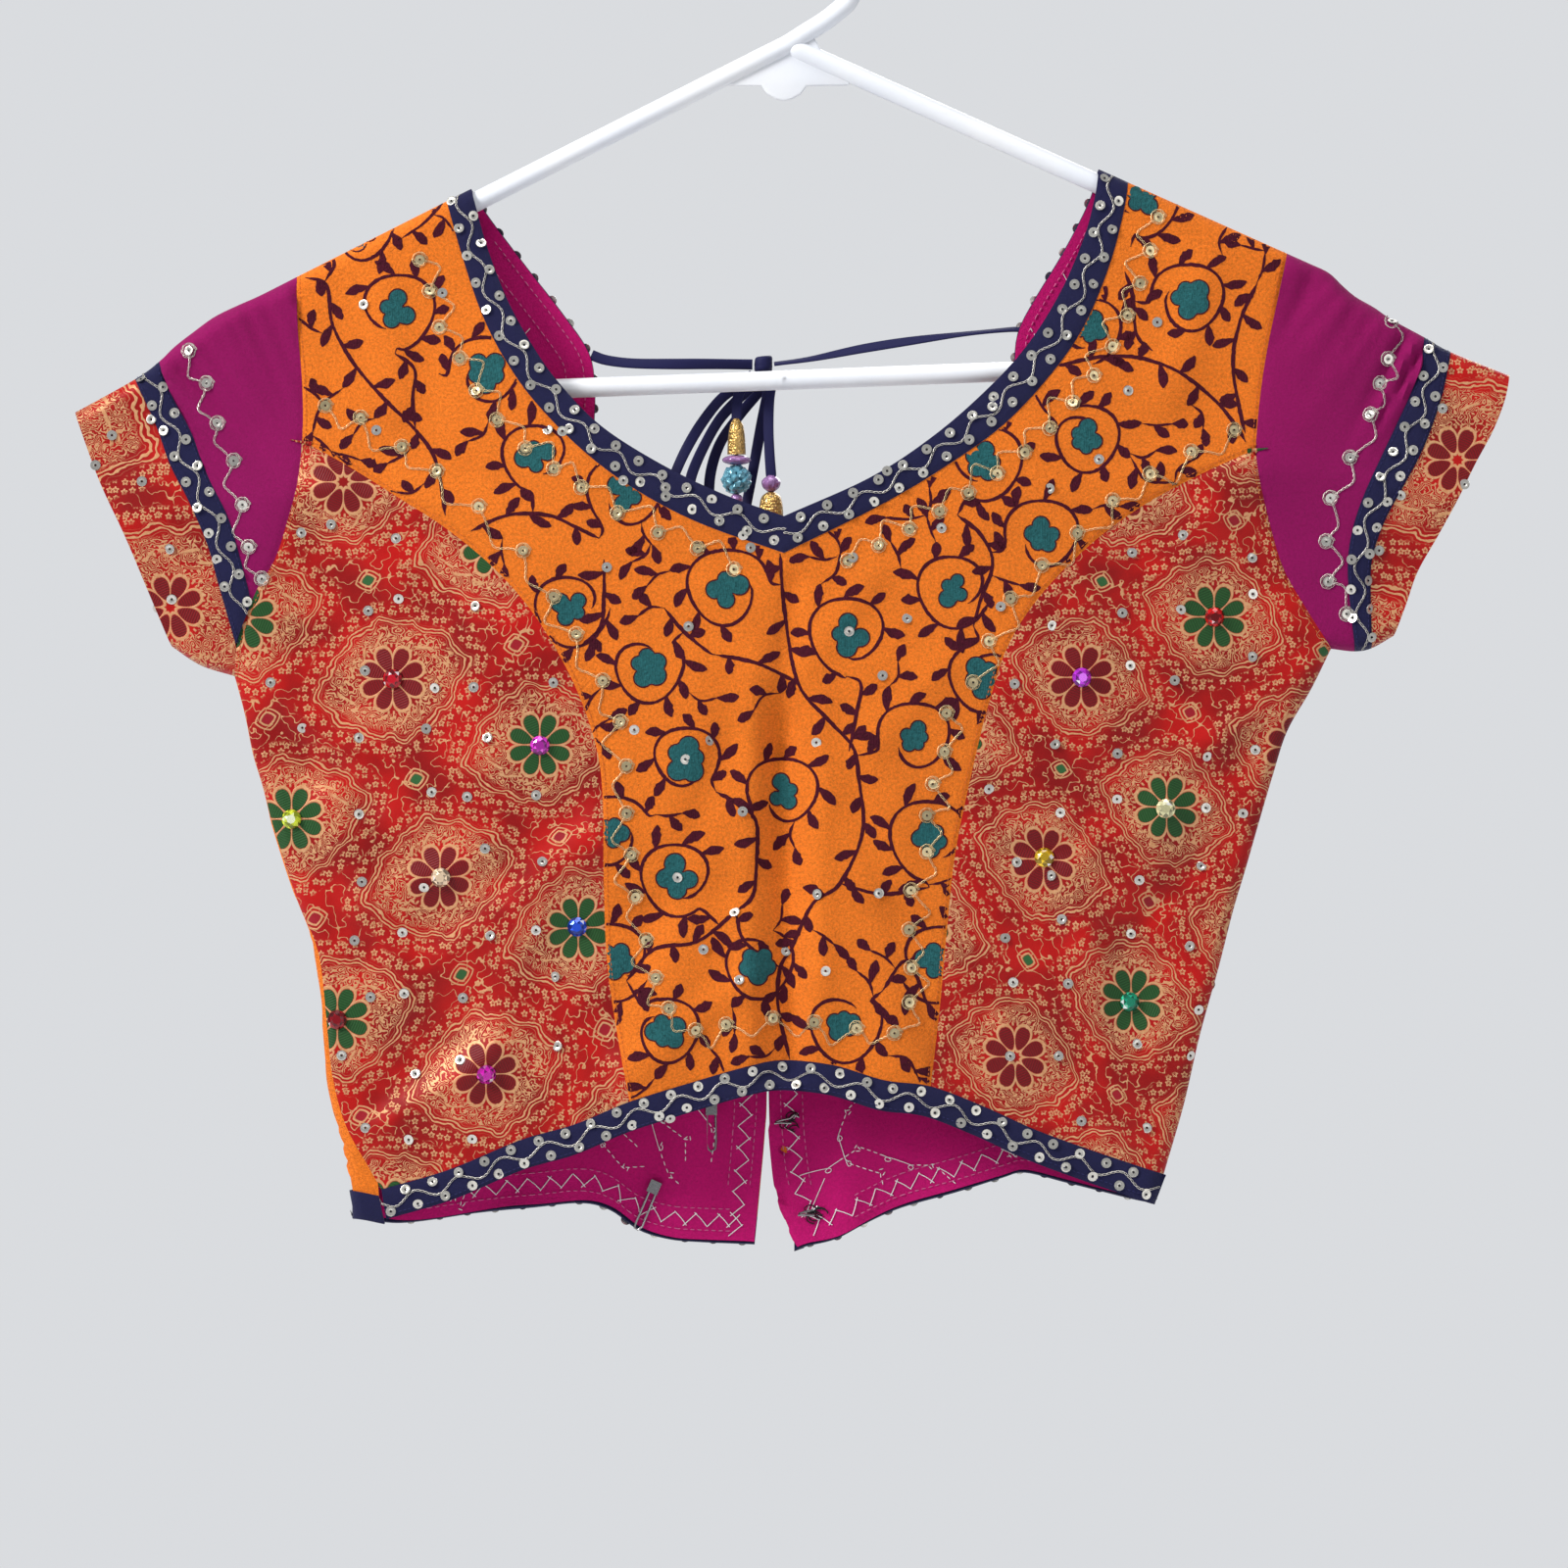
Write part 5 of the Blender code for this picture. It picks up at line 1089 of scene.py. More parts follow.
@dataclass
class Hanger:
    """The white moulded hanger: hook, arms, bar and the web with its tab under the apex."""

    sides: int = 28
    web_edge: float = 0.7

    def arc(self, middle: tuple[float, float], radius: float, start: float, end: float, steps: int) -> Line:
        """Points in the hanger's plane on an arc, from a start to an end in degrees."""
        turns = np.radians(np.linspace(start, end, steps + 1))
        return np.column_stack([middle[0] + radius * np.cos(turns), np.zeros(len(turns)),
                                middle[1] + radius * np.sin(turns)])

    def end_turn(self, side: int) -> tuple[tuple[float, float], float, float]:
        """The bend from an arm to the bar: its middle and where it starts and ends, in degrees."""
        slope = LEFT_SLOPE if side < 0 else RIGHT_SLOPE
        arm_angle, bar_angle = math.atan(slope), side * math.atan(BAR_SLOPE)

        def height(place: float) -> float:
            """The arm's middle line at x."""
            return APEX[1] + side * slope * (APEX[0] - place)

        corner_x = (BAR_MIDDLE_Z - height(0.0)) / (-side * slope - BAR_SLOPE)
        x = corner_x - side * END_R / math.tan((arm_angle + bar_angle) / 2) * math.cos(arm_angle)
        middle = (x - side * END_R * math.sin(arm_angle), height(x) - END_R * math.cos(arm_angle))
        if side < 0:
            return middle, 90 + math.degrees(arm_angle), 270 - math.degrees(bar_angle) * side
        return middle, 90 - math.degrees(arm_angle), -90 + math.degrees(bar_angle)

    def tube(self, route: np.ndarray) -> tuple[np.ndarray, list[list[int]]]:
        """A tube with rounded ends along a route in the hanger's plane."""
        line = at(route, np.arange(0, reach(route)[-1], 1.5))
        across = np.tile([0.0, 1.0, 0.0], (len(line), 1))
        widths = np.ones(len(line))
        for k, share in enumerate((0.55, 0.86, 0.97)):
            widths[k] = widths[-1 - k] = share
        return sweep(line, across, circle(TUBE_R, self.sides), widths)

    def build(self, looks: "Looks") -> None:
        left, right = self.end_turn(-1), self.end_turn(1)
        hook = self.arc(HOOK_MIDDLE, HOOK_R, 205.0, -35.0, 48)
        neck = smooth_line([hook[-1], (15.6, 0, -46.6), (6.4, 0, -52.4), (APEX[0], 0, APEX[1]),
                            (-12, 0, arm_z(-12))], 8)[1:]
        bar_start = np.array([[6.0, 0.0, BAR_MIDDLE_Z + 6.0 * BAR_SLOPE]])
        routes = [np.vstack([hook, neck, self.arc(left[0], END_R, left[1], left[2], 30), bar_start]),
                  np.vstack([[[1.2, 0.0, arm_z(1.2)]], self.arc(right[0], END_R, right[1], right[2], 30),
                             [[-6.0, 0.0, BAR_MIDDLE_Z - 6.0 * BAR_SLOPE]]])]
        points, faces = [], []
        for route in routes:
            ring, quads = self.tube(route)
            base = sum(len(p) for p in points)
            points.append(ring)
            faces += [[k + base for k in q] for q in quads]
        hanger = face_out(mesh_of("hanger_moulded", np.vstack(points), faces, 40))
        web = face_out(self.web())
        declare(dressed(hanger, looks.plastic), "hanger", "hanger")
        declare(dressed(web, looks.plastic), "hanger")

    def web(self) -> bpy.types.Object:
        """The flat web under the apex, with its rounded tab and the gusset by the stem."""
        outline = np.array([(-25.5, arm_z(-25.5)), (-24, -72.0), (-9.5, -72.2), (-7.2, -75.4), (-3.6, -77.4),
                            (-0.8, -77.9), (2.2, -77.4), (5.8, -75.4), (8.0, -72.2), (24.3, -72.0),
                            (26.6, arm_z(26.6)), (16.0, arm_z(16.0)), (12.0, -55.0), (9.0, -50.6)])
        work = bmesh.new()
        verts = [work.verts.new((x * MM, -WEB_THICK / 2 * MM, z * MM)) for x, z in outline]
        flat = work.faces.new(verts)
        grown = bmesh.ops.extrude_face_region(work, geom=[flat])
        for v in grown["geom"]:
            if isinstance(v, bmesh.types.BMVert):
                v.co.y = WEB_THICK / 2 * MM
        bmesh.ops.bevel(work, geom=list(work.edges), offset=self.web_edge * MM, segments=3, profile=0.5,
                        affect="EDGES", clamp_overlap=True)
        return from_bmesh("hanger_web", work, 35)


@dataclass
class Tie:
    """The navy tie of the back: a flat ribbon in stretches, its knot and two beaded tassels."""

    width: float = 4.2
    thickness: float = 1.1
    tail_in_tassel: float = 15.0

    def profile(self) -> Line:
        """The ribbon's rounded flat section."""
        turns = np.linspace(0, 2 * math.pi, 14, endpoint=False)
        flat = np.sign(np.cos(turns)) * np.abs(np.cos(turns)) ** 0.55
        high = np.sign(np.sin(turns)) * np.abs(np.sin(turns)) ** 0.8
        return np.column_stack([flat * self.width / 2, high * self.thickness / 2])

    def ribbon(self, name: str, looks: "Looks") -> tuple[bpy.types.Object, np.ndarray]:
        """One stretch of the ribbon, with soft twists, and the path that it follows."""
        points = smooth_line(TIE_ROUTES[name], 8)
        widths_tail = 0
        if name.startswith("tie_end"):
            steps = np.arange(1, 7) * self.tail_in_tassel / 6
            tail = np.tile(points[-1], (6, 1)) - np.column_stack([0 * steps, 0 * steps, steps])
            points, widths_tail = np.vstack([points, tail]), 6
        run = reach(points)
        line = at(points, np.linspace(0, run[-1], max(24, int(run[-1] / 1.6))))
        run = reach(line)
        way = np.gradient(line, axis=0)
        turn = 0.35 * np.sin(run / 13.0 + len(name)) + (0.9 if name == "tie_span_right" else 0.0)
        level = np.cross(way, [0, 1, 0])
        level /= np.maximum(np.linalg.norm(level, axis=1, keepdims=True), 1e-9)
        across = np.cos(turn)[:, None] * level + np.sin(turn)[:, None] * np.array([0, 1.0, 0])
        widths = np.ones(len(line))
        if widths_tail:
            widths = np.clip((run[-1] - run) / self.tail_in_tassel, 0.34, 1.0)
        made = face_out(mesh_of(name + "_ribbon", *sweep(line, across, self.profile(), widths)))
        return dressed(made, looks.navy), line

    def build(self, looks: "Looks") -> None:
        knot = self.knot(looks)
        ends = {"tie_span_left": "knot", "tie_span_right": "knot", "bow_loop_left": "object",
                "bow_loop_right": "object", "tie_end_1": "fitting", "tie_end_2": "fitting"}
        tassels = {"tie_end_1": Tassel.first(looks), "tie_end_2": Tassel.second(looks)}
        for name, far_end in ends.items():
            ribbon, line = self.ribbon(name, looks)
            if name == "tie_span_right":
                line = line[::-1]
            declare(ribbon, "navy", name)
            tuple(line[0] * MM)
            [tuple(p * MM) for p in line]

    def knot(self, looks: "Looks") -> bpy.types.Object:
        """The knot: a ribbon wound round itself."""
        turns = np.linspace(0, 4 * math.pi, 60)
        x = KNOT_MIDDLE[0] + KNOT_R[0] * 0.62 * np.cos(turns)
        y = KNOT_MIDDLE[1] + KNOT_R[1] * 0.62 * np.sin(turns)
        z = KNOT_MIDDLE[2] + np.linspace(-1.4, 1.4, 60)
        line = np.column_stack([x, y, z])
        across = np.tile([0.1, 0.0, 1.0], (60, 1))
        profile = self.profile() * [1.05, 2.3]
        made = face_out(mesh_of("tie_knot_wound", *sweep(line, across, profile)))
        return declare(dressed(made, looks.navy), "navy", "tie_knot")


Socket = bpy.types.NodeSocket


def add(tree: bpy.types.NodeTree, kind: str, inputs: dict[object, object] | None = None,
        **settings: object) -> bpy.types.Node:
    """Adds a node, sets its options and fills its inputs.

    Args:
        tree: the tree that gets the node.
        kind: the node's type.
        inputs: for a socket's name or number, another socket or a plain value.
        settings: the node's own options.

    Returns:
        The new node.
    """
    node = tree.nodes.new(kind)
    for key, value in settings.items():
        setattr(node, key, value)
    return fill(tree, node, inputs or {})


def fill(tree: bpy.types.NodeTree, node: bpy.types.Node, inputs: dict[object, object]) -> bpy.types.Node:
    """Fills a node's inputs, each with another socket or a plain value."""
    for key, value in inputs.items():
        if isinstance(value, Val):
            value = value.source
        if isinstance(value, bpy.types.Node):
            value = value.outputs[0]
        if isinstance(value, Socket):
            tree.links.new(value, node.inputs[key])
        else:
            node.inputs[key].default_value = value
    return node


@dataclass
class Val:
    """A number in a node tree, so that formulas can be written as formulas."""

    tree: bpy.types.NodeTree
    source: Socket | float

    def op(self, name: str, *others: "Val | float") -> "Val":
        """A maths node of this number and others."""
        values = dict(enumerate((self, *others)))
        return Val(self.tree, add(self.tree, "ShaderNodeMath", values, operation=name).outputs[0])

    def __add__(self, other: "Val | float") -> "Val":
        """The sum."""
        return self.op("ADD", other)

    __radd__ = __add__

    def __mul__(self, other: "Val | float") -> "Val":
        """The product."""
        return self.op("MULTIPLY", other)

    __rmul__ = __mul__

    def __sub__(self, other: "Val | float") -> "Val":
        """The difference."""
        return self.op("SUBTRACT", other)

    def __rsub__(self, other: float) -> "Val":
        """The difference from a plain number."""
        return Val(self.tree, other).op("SUBTRACT", self)

    def __truediv__(self, other: "Val | float") -> "Val":
        """The quotient."""
        return self.op("DIVIDE", other)

    def __rtruediv__(self, other: float) -> "Val":
        """The quotient of a plain number."""
        return Val(self.tree, other).op("DIVIDE", self)

    def step(self, low: float, high: float) -> "Val":
        """A smooth step from 0 at low to 1 at high. Low may be the greater."""
        if low > high:
            return 1.0 - self.step(high, low)
        node = add(self.tree, "ShaderNodeMapRange", {0: self, 1: low, 2: high},
                   interpolation_type="SMOOTHSTEP")
        return Val(self.tree, node.outputs[0])

    def band(self, low: float, high: float, soft: float) -> "Val":
        """One between low and high, with soft ends."""
        return self.step(low - soft, low + soft) * self.step(high + soft, high - soft)


@dataclass
class Painter:
    """Short names for the nodes that finishes use, in one tree."""

    tree: bpy.types.NodeTree

    def mixed(self, share: Val | float, first: object, second: object) -> Socket:
        """One colour over another."""
        node = add(self.tree, "ShaderNodeMix", {0: share, 6: self.shade_of(first), 7: self.shade_of(second)},
                   data_type="RGBA")
        return node.outputs[2]

    def shade_of(self, value: object) -> object:
        """A colour with its alpha, where it is a plain one."""
        return (*value, 1.0) if isinstance(value, tuple) and len(value) == 3 else value

    def noise(self, where: object, scale: float, detail: float = 2.0, rough: float = 0.5) -> Val:
        """Soft noise around one half."""
        node = add(self.tree, "ShaderNodeTexNoise",
                   {"Vector": where, "Scale": scale, "Detail": detail, "Roughness": rough})
        return Val(self.tree, node.outputs[0])

    def dots(self, where: object, scale: float, jitter: float = 1.0) -> tuple[Val, Socket]:
        """The distance from the nearest of many scattered points, and that point's place."""
        node = add(self.tree, "ShaderNodeTexVoronoi", {"Vector": where, "Scale": scale, "Randomness": jitter})
        return Val(self.tree, node.outputs["Distance"]), node.outputs["Position"]

    def vector(self, operation: str, *values: object) -> Socket:
        """A vector maths node's vector."""
        return add(self.tree, "ShaderNodeVectorMath", dict(enumerate(values)), operation=operation).outputs[0]

    def dot(self, a: object, b: object) -> Val:
        """The dot product."""
        node = add(self.tree, "ShaderNodeVectorMath", {0: a, 1: b}, operation="DOT_PRODUCT")
        return Val(self.tree, node.outputs["Value"])

    def parts(self, where: object) -> tuple[Val, Val]:
        """A vector's X and Y."""
        node = add(self.tree, "ShaderNodeSeparateXYZ", {0: where})
        return Val(self.tree, node.outputs[0]), Val(self.tree, node.outputs[1])

    def in_mm(self, place: object) -> Socket:
        """A place in metres as millimetres."""
        return add(self.tree, "ShaderNodeVectorMath", {0: place, "Scale": 1 / MM},
                   operation="SCALE").outputs[0]

    def cloth_mm(self) -> Socket:
        """The place on the cut cloth in millimetres."""
        return self.in_mm(add(self.tree, "ShaderNodeUVMap", uv_map="cloth"))

    def object_mm(self) -> Socket:
        """The place in the object's own space in millimetres."""
        return self.in_mm(add(self.tree, "ShaderNodeTexCoord").outputs["Object"])


def group(name: str, inputs: Sequence[tuple[str, str, object]],
          outputs: Sequence[tuple[str, str]]) -> tuple[bpy.types.NodeTree, Painter, bpy.types.Node]:
    """A new shader node group with named inputs and outputs.

    Args:
        name: the group's name.
        inputs: name, socket type and value of each.
        outputs: name and socket type of each.

    Returns:
        The tree, its painter and its input node.
    """
    tree = bpy.data.node_groups.new(name, "ShaderNodeTree")
    for title, kind, value in inputs:
        made = tree.interface.new_socket(title, in_out="INPUT", socket_type=kind)
        if value is not None:
            made.default_value = value
    for title, kind in outputs:
        tree.interface.new_socket(title, in_out="OUTPUT", socket_type=kind)
    return tree, Painter(tree), tree.nodes.new("NodeGroupInput")


def close_group(tree: bpy.types.NodeTree, values: dict[str, object]) -> bpy.types.NodeTree:
    """Joins a group's results to its outputs."""
    add(tree, "NodeGroupOutput", values)
    return tree


def weave_group() -> bpy.types.NodeTree:
    """Woven thread: fine crossing yarns with slubs. Gives a tone round 1 and a height round 0."""
    tree, paint, start = group("woven_thread", [("Place", "NodeSocketVector", None),
                                                ("Pitch", "NodeSocketFloat", 0.5),
                                                ("Slub", "NodeSocketFloat", 0.5)],
                               [("Tone", "NodeSocketFloat"), ("Height", "NodeSocketFloat")])
    place, pitch, slub = (start.outputs[k] for k in range(3))
    x, y = paint.parts(place)
    turn = 2 * math.pi / Val(tree, pitch)
    warp, weft = (x * turn).op("SINE"), (y * turn).op("SINE")
    rough = paint.noise(place, 1.6, 3.0, 0.6) - 0.5
    slow = paint.noise(place, 0.05, 3.0, 0.55) - 0.5
    pebble = paint.noise(place, 0.85, 2.0, 0.7) - 0.5
    height = warp * weft * 0.5 + (rough * 2.0 + pebble * 3.0) * Val(tree, slub)
    # Partly painted shade: the tone follows the height, so the weave's hollows are painted darker; the slow
    # term is random tone.
    tone = 1.0 + height * 0.10 + slow * 0.22 + (rough * 0.35 + pebble * 0.55) * Val(tree, slub)
    return close_group(tree, {"Tone": tone, "Height": height})


def brocade_group() -> bpy.types.NodeTree:
    """Red satin with a woven gold pattern: flowers in medallions on a slanted lattice."""
    tree, paint, start = group(
        "brocade_pattern",
        [("Place", "NodeSocketVector", None), ("Origin", "NodeSocketVector", None),
         ("Row S", "NodeSocketVector", None), ("Row T", "NodeSocketVector", None),
         ("Axis A", "NodeSocketVector", None), ("Axis H", "NodeSocketVector", None)],
        [("Colour", "NodeSocketColor"), ("Gold", "NodeSocketFloat"), ("Height", "NodeSocketFloat")])
    place, origin, row_s, row_t, axis_a, axis_h = (start.outputs[k] for k in range(6))
    off = paint.vector("SUBTRACT", place, origin)
    s, t = paint.dot(off, row_s), paint.dot(off, row_t)

    def local(shift_s: float, shift_t: float) -> tuple[Val, Val]:
        """The lattice steps from the nearest of the points shifted by this much."""
        return tuple((v - shift) - (v - shift).op("ROUND") for v, shift in ((s, shift_s), (t, shift_t)))

    def spread(ds: Val, dt: Val) -> tuple[Val, Val]:
        """Lattice steps as millimetres along X and Y."""
        a = add(tree, "ShaderNodeVectorMath", {0: axis_a, "Scale": ds}, operation="SCALE").outputs[0]
        h = add(tree, "ShaderNodeVectorMath", {0: axis_h, "Scale": dt}, operation="SCALE").outputs[0]
        return paint.parts(paint.vector("ADD", a, h))

    red_s, red_t = local(0.0, 0.0)
    green_s, green_t = local(0.5, 0.5)
    red_reach = (red_s.op("ABSOLUTE") + red_t.op("ABSOLUTE")) * 2.0
    is_red = red_reach.op("LESS_THAN", 1.0)
    ds = red_s * is_red + green_s * (1.0 - is_red)
    dt = red_t * is_red + green_t * (1.0 - is_red)
    wobble = (paint.noise(place, 0.11, 2.0) - 0.5) * 0.09
    straight = (ds.op("ABSOLUTE") + dt.op("ABSOLUTE")) * 2.0
    reach_out = straight * 0.4 + (ds * ds + dt * dt).op("SQRT") * 1.2 + wobble
    x, y = spread(ds, dt)
    radius = (x * x + y * y).op("SQRT")
    angle = y.op("ARCTAN2", x)

    # Petals: the angle folded to one petal, and an ellipse in it
    turn = 2 * math.pi / 8
    folded = ((angle / turn).op("FRACT") - 0.5) * turn
    along, side = radius * folded.op("COSINE") - 7.7, radius * folded.op("SINE")
    wide = 2.95 + along * 0.2
    oval = (along / 5.1) * (along / 5.1) + (side / wide) * (side / wide)
    petal = oval.step(0.86, 0.74)
    rim = oval.band(0.88, 1.36, 0.1)
    ribs = (along * (2 * math.pi / 0.95)).op("SINE")

    # Contour lines of noise for the ground, in two grades
    fine = paint.noise(place, 0.19, 1.6, 0.45)
    lines = (fine * 84.0).op("SINE").step(0.1, 0.6)
    grain = paint.noise(place, 0.9, 2.0, 0.6).step(0.59, 0.64)
    ground = reach_out.step(0.56, 0.52) * radius.step(13.2, 13.8) * lines.op("MAXIMUM", grain * 0.8)
    near = radius.step(13.9, 13.3) * radius.step(11.6, 12.2) * ((angle * 40.0).op("SINE").step(0.1, 0.5))
    swing = (angle * 12.0 + fine * 5.0).op("SINE") * 0.022
    ribbon_at = reach_out + swing
    ribbon = ribbon_at.band(0.555, 0.645, 0.008)
    nested = ((ribbon_at * 175.0).op("SINE")).step(-0.05, 0.45)
    second = ribbon_at.band(0.40, 0.435, 0.01) * ((angle * 30.0 + radius * 2.0).op("SINE").step(-0.3, 0.4))

    # Florets round the medallion, from scattered dots
    _, spot = paint.dots(place, 0.30, 0.55)
    gone = paint.vector("SUBTRACT", place, spot)
    gx, gy = paint.parts(gone)
    leaf = (gx * gx + gy * gy).op("SQRT")
    lobes = leaf - 0.28 * ((gy.op("ARCTAN2", gx)) * 5.0).op("SINE")
    floret = lobes.band(0.42, 1.12, 0.16)
    border = reach_out.band(0.665, 0.78, 0.02)
    scrolls = (paint.noise(place, 0.17, 1.5) - 0.5).op("ABSOLUTE").step(0.017, 0.008)
    channel = reach_out.step(0.79, 0.82)

    # Small diamonds where four medallions meet
    def diamond(ds_: Val, dt_: Val) -> tuple[Val, Val]:
        """The inside and the outlines of a small diamond."""
        size = ds_.op("ABSOLUTE") * 78.6 / 4.0 + dt_.op("ABSOLUTE") * 101.0 / 4.8
        wide, tall = ds_ * 19.6, dt_ * 21.0
        round_size = size * 0.5 + (wide * wide + tall * tall).op("SQRT") * 0.62
        return (round_size.step(0.62, 0.54),
                round_size.band(0.62, 0.82, 0.05).op("MAXIMUM", round_size.band(1.08, 1.24, 0.05)))

    red_in, red_line = diamond(*local(0.0, 0.5))
    green_in, green_line = diamond(*local(0.5, 0.0))
    clear = 1.0 - red_in.op("MAXIMUM", green_in)
    sprays = channel * scrolls

    gold = ground
    for woven in (ribbon * nested, near * 0.9, second, border * floret, sprays):
        gold = gold.op("MAXIMUM", woven)
    gold = gold.op("MAXIMUM", red_line.op("MAXIMUM", green_line)) * clear
    gold = gold * (1.0 - radius.step(12.6, 12.0)) + rim * radius.step(14.0, 13.4)
    gold = gold.op("MINIMUM", 1.0).op("MAXIMUM", 0.0)

    # Painted sheen: slow noise makes the red ground lighter in broad patches, as the satin's sheen; the
    # thread term is the weave.
    satin = paint.noise(place, 0.045, 2.0) - 0.5
    thread = (paint.parts(place)[0] * (2 * math.pi / 0.42)).op("SINE")
    red = paint.mixed((satin + 0.5 + thread * 0.06).step(0.25, 0.78),
                      (0.22, 0.001, 0.001), (0.50, 0.004, 0.002))
    flower = paint.mixed(is_red, (0.018, 0.085, 0.018), (0.21, 0.001, 0.005))
    flower = paint.mixed((ribs * 0.5 + 0.5) * 0.45, flower, (0.006, 0.012, 0.006))
    mark = paint.mixed(red_in.step(0.4, 0.6), (0.028, 0.105, 0.030), (0.30, 0.008, 0.016))
    colour = paint.mixed(petal, red, flower)
    colour = paint.mixed(1.0 - clear, colour, mark)
    tint = paint.mixed(paint.noise(place, 0.5, 2.0), (0.56, 0.25, 0.09), (0.84, 0.52, 0.27))
    colour = paint.mixed(gold * 0.84, colour, tint)
    height = gold * 0.6 + petal * 0.5 + petal * ribs * 0.25 + thread * 0.05
    return close_group(tree, {"Colour": colour, "Gold": gold, "Height": height})


@dataclass
class Looks:
    """Every finish, made once."""

    weave: bpy.types.NodeTree = field(init=False)
    brocade_pattern: bpy.types.NodeTree = field(init=False)
    made: dict[str, bpy.types.Material] = field(default_factory=dict)
    brocade: dict[Side, bpy.types.Material] = field(init=False)
    cuff: dict[Side, bpy.types.Material] = field(init=False)

    def __post_init__(self) -> None:
        """Makes the shared effects and the materials."""
        self.weave, self.brocade_pattern = weave_group(), brocade_group()
        self.navy = self.cloth("navy", (0.010, 0.010, 0.058), 0.62, 0.34, 0.5, 0.0002, sheen=0.04)
        self.magenta = self.cloth("magenta", (0.27, 0.0012, 0.095), 0.82, 0.42, 0.6, 0.00016, sheen=0.03)
        self.lining = self.cloth("lining", (0.56, 0.0040, 0.150), 0.88, 0.5, 0.7, 0.00018, sheen=0.03)
        self.crepe = self.cloth("crepe", (0.86, 0.195, 0.014), 0.85, 0.62, 1.2, 0.00026, sheen=0.03)
        self.maroon = self.cloth("maroon_print", (0.062, 0.004, 0.014), 0.9, 0.62, 1.2, 0.00026)
        self.teal = self.cloth("teal_print", (0.018, 0.112, 0.118), 0.88, 0.62, 1.5, 0.00026)
        self.brocade = {s: self.woven(f"brocade_{s.value}", LATTICES[("front", s)]) for s in Side}
        self.cuff = {s: self.woven(f"brocade_cuff_{s.value}", LATTICES[("cuff", s)]) for s in Side}
        self.plastic = self.moulded()
        self.gold = self.beads("gold_beads", (0.72, 0.44, 0.13), 0.8, 0.34, 0.9)
        self.turquoise = self.beads("turquoise_beads", (0.16, 0.44, 0.56), 0.2, 0.12, 0.45)
        self.purple_glass = self.beads("purple_glass", (0.40, 0.20, 0.46), 0.2, 0.12, 0.4)
        self.peach = self.beads("peach_bead", (0.75, 0.42, 0.30), 0.1, 0.3, 0.5)
        self.sequin = self.foil("sequin", (0.70, 0.67, 0.60), 0.85, 0.22)
        self.gold_sequin = self.foil("gold_sequin", (0.74, 0.60, 0.34), 0.85, 0.24)
        self.silver_thread = self.foil("silver_thread", (0.72, 0.68, 0.60), 0.4, 0.42)
        self.gold_thread = self.foil("gold_thread", (0.80, 0.58, 0.29), 0.4, 0.42)
        self.metal = self.foil("steel_wire", (0.34, 0.33, 0.33), 0.95, 0.24)
        self.white_thread = self.cloth("white_thread", (0.88, 0.80, 0.82), 0.85, 0.3, 0.4, 0.0001)
        self.black_thread = self.cloth("black_thread", (0.016, 0.015, 0.018), 0.8, 0.3, 0.4, 0.0001)
        self.pink_thread = self.cloth("pink_thread", (0.66, 0.16, 0.34), 0.85, 0.3, 0.4, 0.0001)

    def base(self, name: str) -> tuple[bpy.types.Material, Painter, bpy.types.Node]:
        """A new material with its painter and its shader."""
        material = bpy.data.materials.new(name)
        material.use_nodes = True
        self.made[name] = material
        return material, Painter(material.node_tree), material.node_tree.nodes["Principled BSDF"]

    def tinted(self, paint: Painter, colour: tuple[float, float, float], tone: Val) -> bpy.types.Node:
        """A colour made lighter and darker by a tone."""
        return add(paint.tree, "ShaderNodeVectorMath", {0: colour, "Scale": tone}, operation="SCALE")

    def relief(self, paint: Painter, height: object, depth: float, strength: float) -> bpy.types.Node:
        """A bump, with its depth in metres."""
        return add(paint.tree, "ShaderNodeBump", {"Height": height, "Distance": depth, "Strength": strength})

    def cloth(self, name: str, colour: tuple[float, float, float], roughness: float, pitch: float,
              slub: float, depth: float, sheen: float = 0.0) -> bpy.types.Material:
        """A woven cloth or thread.

        Args:
            name: the material's name.
            colour: its linear colour.
            roughness: how matt it is.
            pitch: the yarns' spacing in millimetres.
            slub: how uneven the yarns are.
            depth: the height of the yarns in metres.
            sheen: the fuzz of its surface.

        Returns:
            The material.
        """
        material, paint, shader = self.base(name)
        place = paint.cloth_mm() if name in ("navy", "magenta", "lining", "crepe") else paint.object_mm()
        made = add(paint.tree, "ShaderNodeGroup", {"Place": place, "Pitch": pitch, "Slub": slub},
                   node_tree=self.weave)
        fill(paint.tree, shader, {
            "Base Color": self.tinted(paint, colour, Val(paint.tree, made.outputs["Tone"])),
            "Roughness": roughness, "Specular IOR Level": 0.18, "Sheen Weight": sheen,
            "Sheen Roughness": 0.5, "Normal": self.relief(paint, made.outputs["Height"], depth, 0.9)})
        return material

    def woven(self, name: str, lattice: Lattice) -> bpy.types.Material:
        """The brocade on a lattice."""
        material, paint, shader = self.base(name)
        made = add(paint.tree, "ShaderNodeGroup", node_tree=self.brocade_pattern)
        paint.tree.links.new(paint.cloth_mm(), made.inputs["Place"])
        row_s, row_t = lattice.rows()
        for title, value in (("Origin", lattice.origin), ("Row S", row_s), ("Row T", row_t),
                             ("Axis A", lattice.axis_a), ("Axis H", lattice.axis_h)):
            made.inputs[title].default_value = (float(value[0]), float(value[1]), 0.0)
        gold = Val(paint.tree, made.outputs["Gold"])
        fill(paint.tree, shader, {
            "Base Color": made.outputs["Colour"], "Metallic": gold * 0.30, "Roughness": 0.46 - gold * 0.04,
            "Specular IOR Level": 0.22, "Sheen Weight": 0.02,
            "Normal": self.relief(paint, made.outputs["Height"], 0.00022, 0.8)})
        return material

